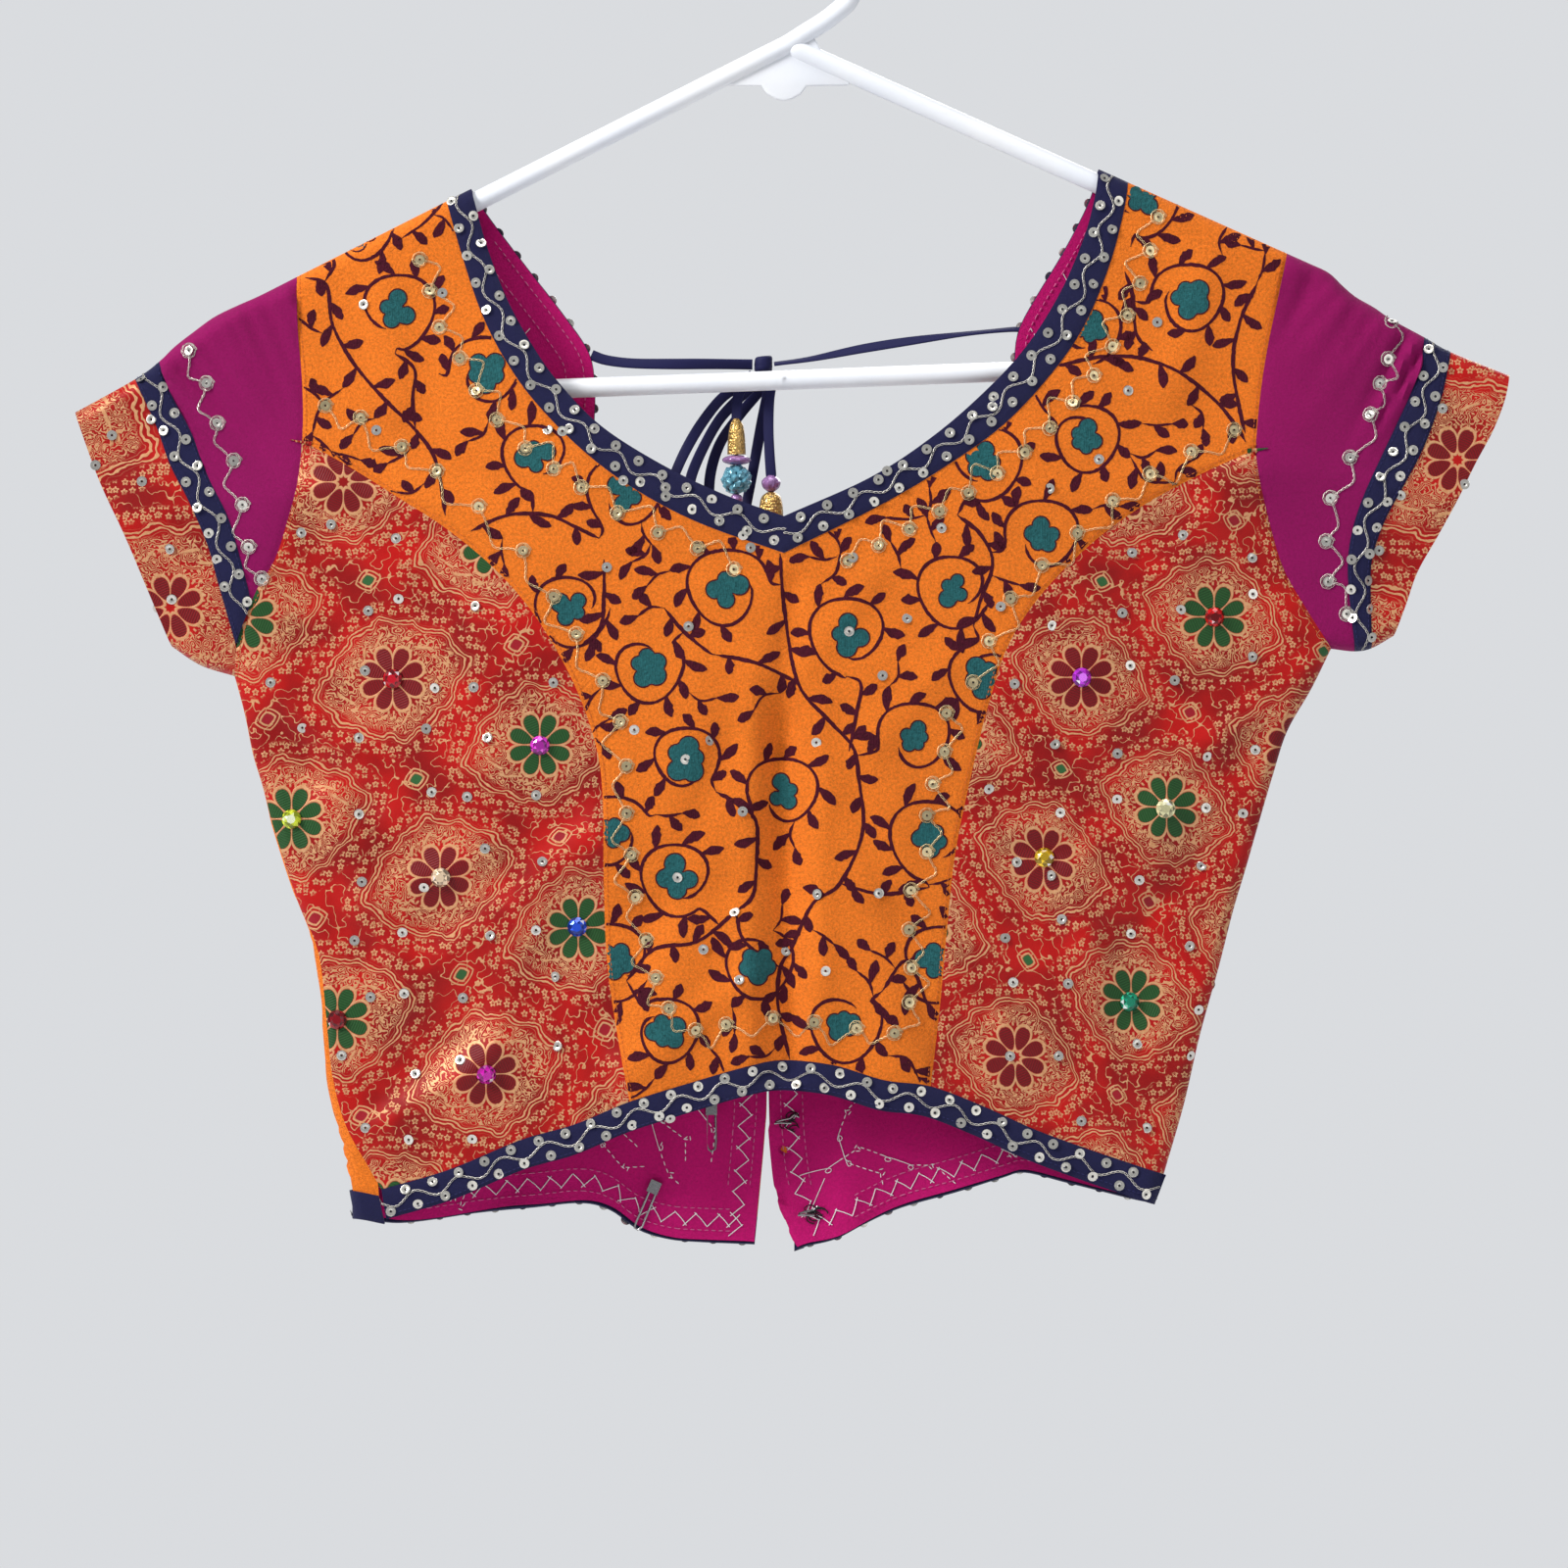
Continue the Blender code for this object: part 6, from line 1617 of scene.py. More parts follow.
    def moulded(self) -> bpy.types.Material:
        """White moulded plastic with a soft grain and slight yellowing."""
        material, paint, shader = self.base("white_plastic")
        place = paint.object_mm()
        slow, fine = paint.noise(place, 0.02, 3.0), paint.noise(place, 1.1, 3.0)
        colour = paint.mixed(slow.step(0.35, 0.7), (0.80, 0.82, 0.86), (0.86, 0.865, 0.87))
        fill(paint.tree, shader, {
            "Base Color": colour, "Roughness": 0.30 + fine * 0.12, "Subsurface Weight": 0.08,
            "Subsurface Radius": (0.004, 0.004, 0.004), "Normal": self.relief(paint, fine, 0.00005, 0.4)})
        return material

    def beads(self, name: str, colour: tuple[float, float, float], metallic: float, roughness: float,
              pitch: float) -> bpy.types.Material:
        """Glass or gilt beads as small bumps, each painted darker towards its rim, as shade between the
        beads.
        """
        material, paint, shader = self.base(name)
        # Painted shade: the colour darkens with the distance from each bump's middle, as the shade between
        # beads.
        far, _ = paint.dots(paint.object_mm(), pitch, 0.8)
        fill(paint.tree, shader, {
            "Base Color": self.tinted(paint, colour, 1.12 - far * 0.5), "Metallic": metallic,
            "Roughness": roughness, "Coat Weight": 0.4, "Normal": self.relief(paint, 1.0 - far, 0.0006, 0.9)})
        return material

    def foil(self, name: str, colour: tuple[float, float, float], metallic: float,
             roughness: float) -> bpy.types.Material:
        """Sequins, metal thread and wire, with a little tarnish."""
        material, paint, shader = self.base(name)
        place = paint.object_mm()
        dull = paint.noise(place, 0.12, 3.0).step(0.42, 0.72)
        worn = tuple(c * 0.66 for c in colour)
        fill(paint.tree, shader, {
            "Base Color": paint.mixed(dull, colour, worn), "Roughness": roughness + dull * 0.14,
            "Metallic": metallic, "Normal": self.relief(paint, paint.noise(place, 0.9, 2.0), 0.00012, 0.5)})
        return material

    def stone(self, name: str, colour: tuple[float, float, float]) -> bpy.types.Material:
        """A foil-backed cut stone: its facets are painted light and dark from a random attribute, as painted
        reflections, and a few are painted white, as painted glints.
        """
        material, paint, shader = self.base(name)
        facet_painted_light = add(paint.tree, "ShaderNodeAttribute", attribute_name="facet_painted_light")
        light = Val(paint.tree, facet_painted_light.outputs["Fac"])
        # Painted light and shade: random facets get a lighter or a darker copy of the colour, as painted
        # reflections inside the stone.
        pale = tuple(min(1.0, c * 1.45) for c in colour)
        painted_dark_tone = tuple(c * 0.3 for c in colour)
        tone = paint.mixed(light.step(0.2, 0.9), painted_dark_tone, pale)
        fill(paint.tree, shader, {
            # Painted glints: the few facets with the highest value are painted near white.
            "Base Color": paint.mixed(light.step(0.93, 1.0), tone, (0.95, 0.95, 0.95)),
            "Metallic": 0.35, "Roughness": 0.12, "Coat Weight": 0.3, "Coat Roughness": 0.04,
            "Normal": self.relief(paint, paint.noise(paint.object_mm(), 0.8, 2.0), 0.00004, 0.4)})
        return material


@dataclass
class Surface:
    """Finished cloth that trimmings are set on, felt for along Y."""

    pieces: Sequence[bpy.types.Object]
    face: Face
    tree: BVHTree = field(init=False)

    def __post_init__(self) -> None:
        """Makes a search tree of the cloth's faces."""
        points, faces = [], []
        for piece in self.pieces:
            base = len(points)
            points += [v.co.copy() for v in piece.data.vertices]
            faces += [[base + k for k in p.vertices] for p in piece.data.polygons]
        self.tree = BVHTree.FromPolygons(points, faces)

    def touch(self, places: Line, up: float | np.ndarray = 0.0) -> tuple[np.ndarray, np.ndarray, np.ndarray]:
        """Where the cloth is at flat places.

        Args:
            places: x and z in millimetres.
            up: the height above the cloth.

        Returns:
            The points in millimetres, the cloth's normals and whether there is cloth at all.
        """
        start, way = self.face.value * FEEL_FROM * MM, Vector((0, -self.face.value, 0))
        ups = np.broadcast_to(np.asarray(up, float), len(places))
        points, normals = np.zeros((len(places), 3)), np.zeros((len(places), 3))
        hit = np.zeros(len(places), bool)
        for k, (x, z) in enumerate(places):
            spot, normal, _, _ = self.tree.ray_cast(Vector((x * MM, start, z * MM)), way)
            if spot is None:
                continue
            if normal.dot(way) > 0:
                normal = -normal
            points[k], normals[k], hit[k] = np.array(spot) / MM + ups[k] * np.array(normal), normal, True
        return points, normals, hit


def stamp_tree(follow: bool) -> bpy.types.GeometryNodeTree:
    """Nodes that set a unit on every point of a mesh, or at even steps along its lines."""
    tree = bpy.data.node_groups.new("stamp_along" if follow else "stamp_at", "GeometryNodeTree")
    for title, kind in (("Geometry", "NodeSocketGeometry"), ("Unit", "NodeSocketObject"),
                        ("Pitch", "NodeSocketFloat"), ("Tilt", "NodeSocketVector"),
                        ("Seed", "NodeSocketInt"), ("Finish", "NodeSocketMaterial")):
        tree.interface.new_socket(title, in_out="INPUT", socket_type=kind)
    tree.interface.new_socket("Geometry", in_out="OUTPUT", socket_type="NodeSocketGeometry")
    start = tree.nodes.new("NodeGroupInput").outputs
    points: object = start["Geometry"]
    if follow:
        curve = add(tree, "GeometryNodeMeshToCurve", {"Mesh": points})
        points = add(tree, "GeometryNodeResampleCurve", {"Curve": curve, "Length": start["Pitch"]},
                     mode="LENGTH")
        along: object = add(tree, "GeometryNodeInputTangent")
    else:
        along = add(tree, "GeometryNodeInputNamedAttribute", {"Name": "along"}, data_type="FLOAT_VECTOR")
    facing = add(tree, "GeometryNodeInputNamedAttribute", {"Name": "facing"}, data_type="FLOAT_VECTOR")
    size = add(tree, "GeometryNodeInputNamedAttribute", {"Name": "size"}, data_type="FLOAT")
    upright = add(tree, "FunctionNodeAlignRotationToVector", {"Vector": facing}, axis="Z")
    turned = add(tree, "FunctionNodeAlignRotationToVector", {"Rotation": upright, "Vector": along},
                 axis="X", pivot_axis="Z")
    low = add(tree, "ShaderNodeVectorMath", {0: start["Tilt"], "Scale": -1.0}, operation="SCALE")
    wobble = add(tree, "FunctionNodeRandomValue", {"Min": low, "Max": start["Tilt"], "Seed": start["Seed"]},
                 data_type="FLOAT_VECTOR")
    euler = add(tree, "FunctionNodeEulerToRotation", {"Euler": wobble})
    tilted = add(tree, "FunctionNodeRotateRotation", {"Rotation": turned, "Rotate By": euler},
                 rotation_space="LOCAL")
    unit = add(tree, "GeometryNodeObjectInfo", {"Object": start["Unit"], "As Instance": True})
    stamped = add(tree, "GeometryNodeInstanceOnPoints",
                  {"Points": points, "Instance": unit.outputs["Geometry"], "Rotation": tilted, "Scale": size})
    real = add(tree, "GeometryNodeRealizeInstances", {"Geometry": stamped})
    finished = add(tree, "GeometryNodeSetMaterial", {"Geometry": real, "Material": start["Finish"]})
    add(tree, "NodeGroupOutput", {"Geometry": finished})
    return tree


def thread_tree() -> bpy.types.GeometryNodeTree:
    """Nodes that turn a mesh's lines into round threads."""
    tree = bpy.data.node_groups.new("thread_along", "GeometryNodeTree")
    for title, kind in (("Geometry", "NodeSocketGeometry"), ("Radius", "NodeSocketFloat"),
                        ("Finish", "NodeSocketMaterial")):
        tree.interface.new_socket(title, in_out="INPUT", socket_type=kind)
    tree.interface.new_socket("Geometry", in_out="OUTPUT", socket_type="NodeSocketGeometry")
    start = tree.nodes.new("NodeGroupInput").outputs
    curve = add(tree, "GeometryNodeMeshToCurve", {"Mesh": start["Geometry"]})
    profile = add(tree, "GeometryNodeCurvePrimitiveCircle", {"Resolution": 6, "Radius": start["Radius"]})
    tube = add(tree, "GeometryNodeCurveToMesh", {"Curve": curve, "Profile Curve": profile, "Fill Caps": True})
    real = add(tree, "GeometryNodeRealizeInstances", {"Geometry": tube})
    finished = add(tree, "GeometryNodeSetMaterial", {"Geometry": real, "Material": start["Finish"]})
    add(tree, "NodeGroupOutput", {"Geometry": finished})
    return tree


@dataclass
class Stamper:
    """Sets repeated small pieces and threads with Geometry Nodes, and bakes them to plain meshes."""

    at_points: bpy.types.GeometryNodeTree = field(default_factory=lambda: stamp_tree(False))
    along: bpy.types.GeometryNodeTree = field(default_factory=lambda: stamp_tree(True))
    threads: bpy.types.GeometryNodeTree = field(default_factory=thread_tree)

    def bake(self, name: str, mesh: bpy.types.Mesh, tree: bpy.types.GeometryNodeTree,
             values: dict[str, object], slot: str, smooth: bool = True) -> bpy.types.Object:
        """Runs a tree on a mesh and keeps the result as a piece."""
        source = link(name + "_source", mesh)
        modifier = source.modifiers.new("nodes", "NODES")
        modifier.node_group = tree
        for item in tree.interface.items_tree:
            if item.in_out == "INPUT" and item.name in values:
                modifier[item.identifier] = values[item.name]
        graph = bpy.context.evaluated_depsgraph_get()
        baked = bpy.data.meshes.new_from_object(source.evaluated_get(graph), preserve_all_data_layers=True,
                                                depsgraph=graph)
        baked.name = name
        bpy.data.objects.remove(source, do_unlink=True)
        if smooth:
            shade(baked, 60)
        return declare(link(name, baked), slot)

    def points_mesh(self, points: np.ndarray, edges: Sequence[tuple[int, int]], facing: np.ndarray,
                    sizes: np.ndarray, along: np.ndarray | None = None) -> bpy.types.Mesh:
        """A mesh of bare points with the attributes that the trees read."""
        mesh = bpy.data.meshes.new("marks")
        mesh.from_pydata((points * MM).tolist(), list(edges), [])
        sets = {"facing": facing, "along": np.tile([1.0, 0, 0], (len(points), 1)) if along is None else along}
        for title, rows in sets.items():
            made = mesh.attributes.new(title, "FLOAT_VECTOR", "POINT")
            made.data.foreach_set("vector", np.asarray(rows, np.float32).ravel())
        made = mesh.attributes.new("size", "FLOAT", "POINT")
        made.data.foreach_set("value", np.asarray(sizes, np.float32))
        return mesh

    def scatter(self, name: str, unit: bpy.types.Object, points: np.ndarray, facing: np.ndarray,
                finish: bpy.types.Material, slot: str, sizes: np.ndarray | float = 1.0, tilt: float = 0.3,
                spin: float = 3.1, seed: int = 1, smooth: bool = True) -> bpy.types.Object:
        """A unit at every point."""
        sizes = np.broadcast_to(np.asarray(sizes, float), len(points))
        mesh = self.points_mesh(points, [], facing, sizes)
        values = {"Unit": unit, "Tilt": (tilt, tilt, spin), "Seed": seed, "Finish": finish}
        return self.bake(name, mesh, self.at_points, values, slot, smooth)

    def chained(self, name: str, unit: bpy.types.Object, paths: Sequence[tuple[np.ndarray, np.ndarray]],
                pitch: float, finish: bpy.types.Material, slot: str, tilt: float = 0.12,
                seed: int = 2) -> bpy.types.Object:
        """A unit at even steps along paths, each given with its facing."""
        mesh = self.path_mesh(paths)
        values = {"Unit": unit, "Pitch": pitch * MM, "Tilt": (tilt, tilt, tilt), "Seed": seed,
                  "Finish": finish}
        return self.bake(name, mesh, self.along, values, slot)

    def path_mesh(self, paths: Sequence[tuple[np.ndarray, np.ndarray]]) -> bpy.types.Mesh:
        """Paths as one mesh of edges."""
        edges, count = [], 0
        for points, _ in paths:
            edges += [(count + k, count + k + 1) for k in range(len(points) - 1)]
            count += len(points)
        points, facing = np.vstack([p for p, _ in paths]), np.vstack([f for _, f in paths])
        return self.points_mesh(points, edges, facing, np.ones(count))

    def threaded(self, name: str, paths: Sequence[tuple[np.ndarray, np.ndarray]], radius: float,
                 finish: bpy.types.Material, slot: str) -> bpy.types.Object:
        """Round threads along paths."""
        values = {"Radius": radius * MM, "Finish": finish}
        return self.bake(name, self.path_mesh(paths), self.threads, values, slot)


def wheel_faces(rings: int, sides: int) -> list[list[int]]:
    """The quads of closed rings that are themselves joined in a ring."""
    return [[i * sides + k, i * sides + (k + 1) % sides, (i + 1) % rings * sides + (k + 1) % sides,
             (i + 1) % rings * sides + k] for i in range(rings) for k in range(sides)]


def sequin_unit(radius: float = 2.0, hole: float = 0.5, dish: float = 0.22) -> bpy.types.Object:
    """A round sequin with its hole, slightly dished, facing Z."""
    rings = ((hole, -0.02), (radius * 0.72, dish), (radius, dish * 0.7), (radius, dish * 0.7 - 0.12),
             (hole, -0.14))
    sides = 12
    points = [(r * math.cos(2 * math.pi * k / sides), r * math.sin(2 * math.pi * k / sides), h)
              for r, h in rings for k in range(sides)]
    return face_out(mesh_of("sequin_unit", np.array(points), wheel_faces(len(rings), sides), 40))


def knot_unit(radius: float = 0.42) -> bpy.types.Object:
    """The small stitch at a sequin's middle, set in black so that it also stands for the painted shade in the
    hole.
    """
    work = bmesh.new()
    bmesh.ops.create_icosphere(work, subdivisions=1, radius=radius * MM)
    return from_bmesh("knot_unit", work)


def link_unit(length: float = 1.05, width: float = 0.32, wire: float = 0.13) -> bpy.types.Object:
    """One loop of chain stitch, along X."""
    count, sides = 6, 3
    points = []
    for i in range(count):
        a = 2 * math.pi * i / count
        way = np.array([math.cos(a) * length, math.sin(a) * width, 0])
        out = np.array([math.cos(a), math.sin(a), 0])
        for k in range(sides):
            b = 2 * math.pi * k / sides
            points.append(way + wire * (math.cos(b) * out + math.sin(b) * np.array([0, 0, 1.0]))
                          + [0, 0, 0.12 * math.cos(a)])
    return face_out(mesh_of("link_unit", np.array(points), wheel_faces(count, sides), 80))


def px(*places: tuple[float, float]) -> Line:
    """Places in the photograph's frame as x and z in millimetres."""
    return np.array([((x - VIEW_MIDDLE) * VIEW_STEP, -(y - VIEW_TOP) * VIEW_STEP) for x, y in places], float)


# The printed vine's stems and flowers, laid out one by one. Columns: x, y in the view's own steps
STEMS = (
    ((312, 284), (334, 292), (340, 332), (362, 372), (393, 408), (425, 440), (446, 472), (456, 528)),
    ((404, 362), (424, 378), (422, 408), (425, 440)),
    ((482, 543), (519, 527), (560, 527), (588, 539), (613, 551)),
    ((617, 572), (617, 613), (613, 641), (592, 662)),
    ((678, 621), (698, 645), (723, 666), (731, 669)),
    ((796, 566), (800, 620), (814, 697), (845, 735), (870, 763), (876, 795), (880, 848), (857, 901),
     (829, 922), (808, 967), (796, 987), (794, 1028), (806, 1081)),
    ((731, 669), (771, 677), (814, 697)),
    ((976, 527), (1000, 547), (1012, 576), (1000, 612), (992, 641)),
    ((1074, 376), (1119, 366), (1159, 366), (1200, 380), (1237, 408), (1261, 437), (1270, 453)),
    ((1282, 290), (1265, 327), (1257, 372), (1265, 425), (1270, 445)),
    ((1147, 278), (1155, 302), (1159, 343), (1176, 360)),
    ((866, 767), (874, 727), (878, 698), (862, 690)),
    ((731, 808), (759, 824), (772, 840), (772, 881), (768, 914), (751, 930)),
    ((640, 1000), (668, 968), (712, 960), (751, 930)), ((857, 901), (900, 912), (948, 905)),
    ((796, 987), (760, 960), (751, 930)), ((900, 1010), (925, 980), (948, 1030)),
)
BLOOMS = (
    (405, 317), (497, 380), (548, 467), (640, 505), (584, 621), (742, 602), (661, 681), (700, 775),
    (866, 648), (973, 602), (1063, 548), (1004, 472), (1106, 449), (1212, 306), (1165, 202), (1109, 337),
    (933, 753), (800, 809), (692, 895), (949, 855), (1003, 692), (773, 982), (680, 1051), (861, 1045),
    (624, 849), (627, 978), (954, 980), (366, 236),
)


@dataclass
class VinePrint:
    """The block-printed vine: stems, spiral rings, tear leaves and small flowers, by rule."""

    surface: Surface
    seed: int
    up: float = 0.11
    stem_half: float = 0.62
    ring: float = 14.0
    leaf_pitch: float = 9.6
    ink: list[tuple[np.ndarray, list]] = field(default_factory=list)
    fill: list[tuple[np.ndarray, list]] = field(default_factory=list)

    def __post_init__(self) -> None:
        """Starts the rule's random draws."""
        self.rng = np.random.default_rng(self.seed)

    def strip(self, line: Line, widths: np.ndarray, store: list[tuple[np.ndarray, list]],
              up: float = 0.0) -> None:
        """A printed stroke along a line, with ragged edges."""
        count = len(line)
        if count < 3:
            return
        ragged = 1 + self.rng.normal(0, 0.10, (2, count))
        out = beside(line, 1.0) - line
        a, b = line + out * (widths * ragged[0])[:, None], line - out * (widths * ragged[1])[:, None]
        self.keep(np.vstack([a, line, b]), up, ([r * count + k, r * count + k + 1, (r + 1) * count + k + 1,
                                                 (r + 1) * count + k] for r in range(2)
                                                for k in range(count - 1)), store)

    def keep(self, places: Line, up: float, faces: Iterable[list[int]],
             store: list[tuple[np.ndarray, list]]) -> None:
        """Stores a printed shape, with those of its faces that have cloth under them."""
        points, _, hit = self.surface.touch(places, self.up + up)
        faces = [face for face in faces if hit[face].all()]
        if faces:
            store.append((points, faces))

    def stroke(self, line: Line, half: float, step: float = 1.1, taper: float = 3.0) -> Line:
        """A stem of even width with pointed ends."""
        points = at(line, np.arange(0, reach(line)[-1], step))
        run = reach(points)
        ends = np.clip(np.minimum(run, run[-1] - run) / taper, 0.25, 1.0)
        wave = 1 + 0.16 * np.sin(run / 3.7 + self.rng.uniform(0, 6))
        self.strip(points, half * ends * wave, self.ink)
        return points

    def leaf(self, root: np.ndarray, way: np.ndarray, length: float, bend: float) -> None:
        """A tear leaf from its root."""
        t = np.linspace(0, 1, 9)
        side = np.array([way[1], -way[0]])
        line = root + (t * length)[:, None] * way + (bend * length * t * t)[:, None] * side
        self.strip(line, 1.6 * np.sin(np.pi * np.clip(t, 0.03, 1) ** 1.35) ** 0.8 + 0.28, self.ink, 0.012)

    def leaves(self, line: Line, start_side: int = 1, one_side: int = 0) -> None:
        """Leaves along a stem, by turns on both sides or on one."""
        run = reach(line)
        side, place = start_side, self.leaf_pitch * 0.5
        while place < run[-1] - 3:
            spot = at(line, [place])[0]
            way = at(line, [min(place + 1.0, run[-1])])[0] - at(line, [max(place - 1.0, 0)])[0]
            way /= max(np.linalg.norm(way), 1e-9)
            turn = (one_side or side) * self.rng.uniform(0.75, 1.15)
            out = np.array([way[0] * math.cos(turn) + way[1] * math.sin(turn),
                            -way[0] * math.sin(turn) + way[1] * math.cos(turn)])
            self.leaf(spot, out, self.rng.uniform(6.2, 9.8), self.rng.uniform(-0.4, 0.4))
            side, place = -side, place + self.leaf_pitch * self.rng.uniform(0.8, 1.2)

    def bloom(self, middle: np.ndarray, radius: float) -> None:
        """A small flower of uneven petals, with an inked outline."""
        petals = int(self.rng.integers(4, 6))
        first = self.rng.uniform(0, 2 * math.pi)
        sizes = self.rng.uniform(0.72, 1.12, petals)
        count = 48
        turns = np.linspace(0, 2 * math.pi, count, endpoint=False)
        shape = np.full(count, 0.3)
        for k in range(petals):
            off = (turns - first - 2 * math.pi * k / (petals + 0.35) + math.pi) % (2 * math.pi) - math.pi
            root = 0.44**2 - (0.56 * np.sin(off)) ** 2
            blob = 0.56 * np.cos(off) + np.sqrt(np.maximum(root, 0))
            shape = np.maximum(shape, sizes[k] * np.where((root > 0) & (np.cos(off) > 0), blob, 0))
        rim = around(middle, radius * shape, turns)
        rings = [middle + (rim - middle) * share for share in (0.25, 0.5, 0.75, 1.0)]
        faces = [[0, 1 + k, 1 + (k + 1) % count] for k in range(count)]
        for start in range(1, 1 + 3 * count, count):
            faces += [[start + k, start + count + k, start + count + (k + 1) % count,
                       start + (k + 1) % count] for k in range(count)]
        self.keep(np.vstack([[middle]] + rings), 0.03, faces, self.fill)
        edge_line = np.vstack([rim, rim[:2]])
        self.strip(edge_line, np.full(len(edge_line), 0.26), self.ink, 0.05)

    def spiral(self, middle: np.ndarray, toward: np.ndarray, ring: float) -> None:
        """The ring round a flower: it leaves the stem, goes round and curls in to the flower."""
        way = toward - middle
        first = math.atan2(way[1], way[0])
        hand = 1 if self.rng.uniform() < 0.5 else -1
        t = np.linspace(0, 1, 64)
        turns = first + hand * t * math.radians(self.rng.uniform(330, 400))
        radii = ring * (1.0 - 0.10 * t - 0.38 * t**4) * (1 + 0.05 * np.sin(3 * turns))
        line = around(middle, radii, turns)
        if np.linalg.norm(way) > ring:
            line = np.vstack([smooth_line([toward, middle + way / np.linalg.norm(way) * ring * 1.04
                                           + hand * 0.8, line[2]], 4)[:-1], line[2:]])
        points = self.stroke(line, self.stem_half, 1.0)
        self.leaves(points[: int(len(points) * 0.86)], 1, hand)

    def lay_out(self, blooms: Line, stems: Sequence[Line], size: float = 1.0) -> None:
        """Prints flowers, their rings and the stems between them."""
        drawn = [self.stroke(smooth_line(s, 6), self.stem_half * 1.15) for s in stems]
        for line in drawn:
            self.leaves(line)
        joined = np.vstack(drawn) if drawn else blooms + [0, 20]
        for middle in blooms:
            ring = self.ring * size * self.rng.uniform(0.92, 1.16)
            nearest = joined[np.argmin(np.linalg.norm(joined - middle, axis=1))]
            gap = np.linalg.norm(nearest - middle)
            if gap > ring * 1.9:
                nearest = middle + (nearest - middle) / gap * ring * 1.3
            self.spiral(middle, nearest, ring)
            self.bloom(middle, 7.8 * size * self.rng.uniform(0.88, 1.12))
        self.fill_gaps()

    def fill_gaps(self, reach_free: float = 7.6) -> None:
        """Grows leafy twigs from the nearest stroke into places that are still bare."""
        lines = [p[:, [0, 2]] for p, _ in self.ink + self.fill]
        drawn = np.vstack(lines)
        drawn = drawn[np.abs(drawn[:, 0]) + np.abs(drawn[:, 1]) > 1]
        low, high = drawn.min(axis=0), drawn.max(axis=0)
        spots = self.rng.uniform(low - 12, high + 12, (3600, 2))
        spots = spots[self.surface.touch(spots)[2]]
        for spot in spots:
            gaps = np.linalg.norm(drawn - spot, axis=1)
            if gaps.min() < reach_free:
                continue
            root = drawn[np.argmin(gaps)]
            way = spot - root
            length = np.linalg.norm(way)
            side = np.array([way[1], -way[0]]) * self.rng.uniform(-0.3, 0.3)
            twig = smooth_line([root, root + way * 0.55 + side, spot + way / length * 3], 8)
            points = self.stroke(twig, self.stem_half * 0.85, 1.0)
            if len(points) > 3:
                self.leaves(points)
                self.leaf(points[-2], way / length, self.rng.uniform(6, 8.5), self.rng.uniform(-0.3, 0.3))
            drawn = np.vstack([drawn, points, spot[None]])

    def finish(self, name: str, looks: "Looks") -> None:
        """Makes the two printed pieces."""
        for title, store, material in (("vine", self.ink, looks.maroon), ("flowers", self.fill, looks.teal)):
            points = np.vstack([p for p, _ in store])
            faces, base = [], 0
            for p, f in store:
                faces += [[k + base for k in quad] for quad in f]
                base += len(p)
            made = dressed(mesh_of(f"{name}_{title}", points, faces, 80), material)
            work = bmesh.new()
            work.from_mesh(made.data)
            bmesh.ops.delete(work, geom=[v for v in work.verts if not v.link_faces], context="VERTS")
            away = [f for f in work.faces if f.normal.y * self.surface.face.value < 0]
            bmesh.ops.reverse_faces(work, faces=away)
            work.to_mesh(made.data)
            work.free()
            declare(made, "orange_print")


def dash_unit(length: float = 0.85, wire: float = 0.2) -> bpy.types.Object:
    """One short stitch, along X, sunk at both ends."""
    line = np.column_stack([np.linspace(-length, length, 4), np.zeros(4),
                            0.16 * np.cos(np.linspace(-1.3, 1.3, 4))])
    shape = sweep(line, np.tile([0, 1.0, 0], (4, 1)), circle(wire, 4), np.array([0.5, 1.0, 1.0, 0.5]))
    return face_out(mesh_of("dash_unit", *shape))


# Sequins with a ring of chain round them, laid out one by one. Columns: x, y in the view's own steps
NECK_RINGS = ((429, 266), (439, 298), (449, 335), (470, 367), (487, 400), (508, 430), (537, 459), (566, 480),
              (594, 499), (631, 525), (672, 545), (712, 561), (749, 582))
SEAM_RINGS = ((333, 415), (369, 427), (411, 457), (447, 482), (490, 518), (535, 563), (566, 610), (589, 648),
              (616, 695), (634, 737), (640, 782), (640, 830), (645, 872), (649, 915), (660, 959), (670, 997),
              (683, 1028), (710, 1050), (741, 1044), (788, 1038), (831, 1042), (874, 1048), (912, 1053),
              (927, 1022), (929, 987), (927, 948), (929, 908), (945, 869), (945, 832), (951, 800), (963, 767),
              (965, 728))
RIGHT_SEAM_RINGS = ((992, 697), (1008, 655), (1030, 612), (1062, 578), (1098, 545), (1134, 512), (1172, 485),
                    (1214, 462), (1258, 440))
CAP_RINGS = {
    Side.LEFT: ((194, 359), (212, 392), (223, 433), (240, 471), (249, 516), (255, 559), (268, 591)),
    Side.RIGHT: ((1419, 329), (1415, 367), (1407, 392), (1397, 424), (1376, 468), (1356, 509), (1352, 553),
                 (1354, 594), (1373, 627)),
}
CENTRE_SEQUINS = (
    (372, 312), (452, 300), (385, 440), (620, 580), (703, 640), (766, 560), (833, 758), (724, 756),
    (648, 745), (758, 828), (750, 930), (802, 970), (834, 912), (896, 911), (842, 990), (718, 968),
    (755, 999), (1070, 500), (1180, 330), (1120, 470), (1150, 400), (925, 632), (870, 570),
    (960, 540), (900, 690), (1020, 620), (560, 440), (700, 775), (692, 895), (866, 645),
)
HEM_SEQUINS = ((368, 1217), (372, 1234), (385, 1240))


@dataclass
class Marks:
    """Points that one kind of sequin is set on."""

    points: list[np.ndarray] = field(default_factory=list)
    facing: list[np.ndarray] = field(default_factory=list)

    def put(self, surface: Surface, places: Line, up: float = 0.32) -> np.ndarray:
        """Adds the places that have cloth under them."""
        points, normals, hit = surface.touch(places, up)
        self.points.append(points[hit])
        self.facing.append(normals[hit])
        return hit


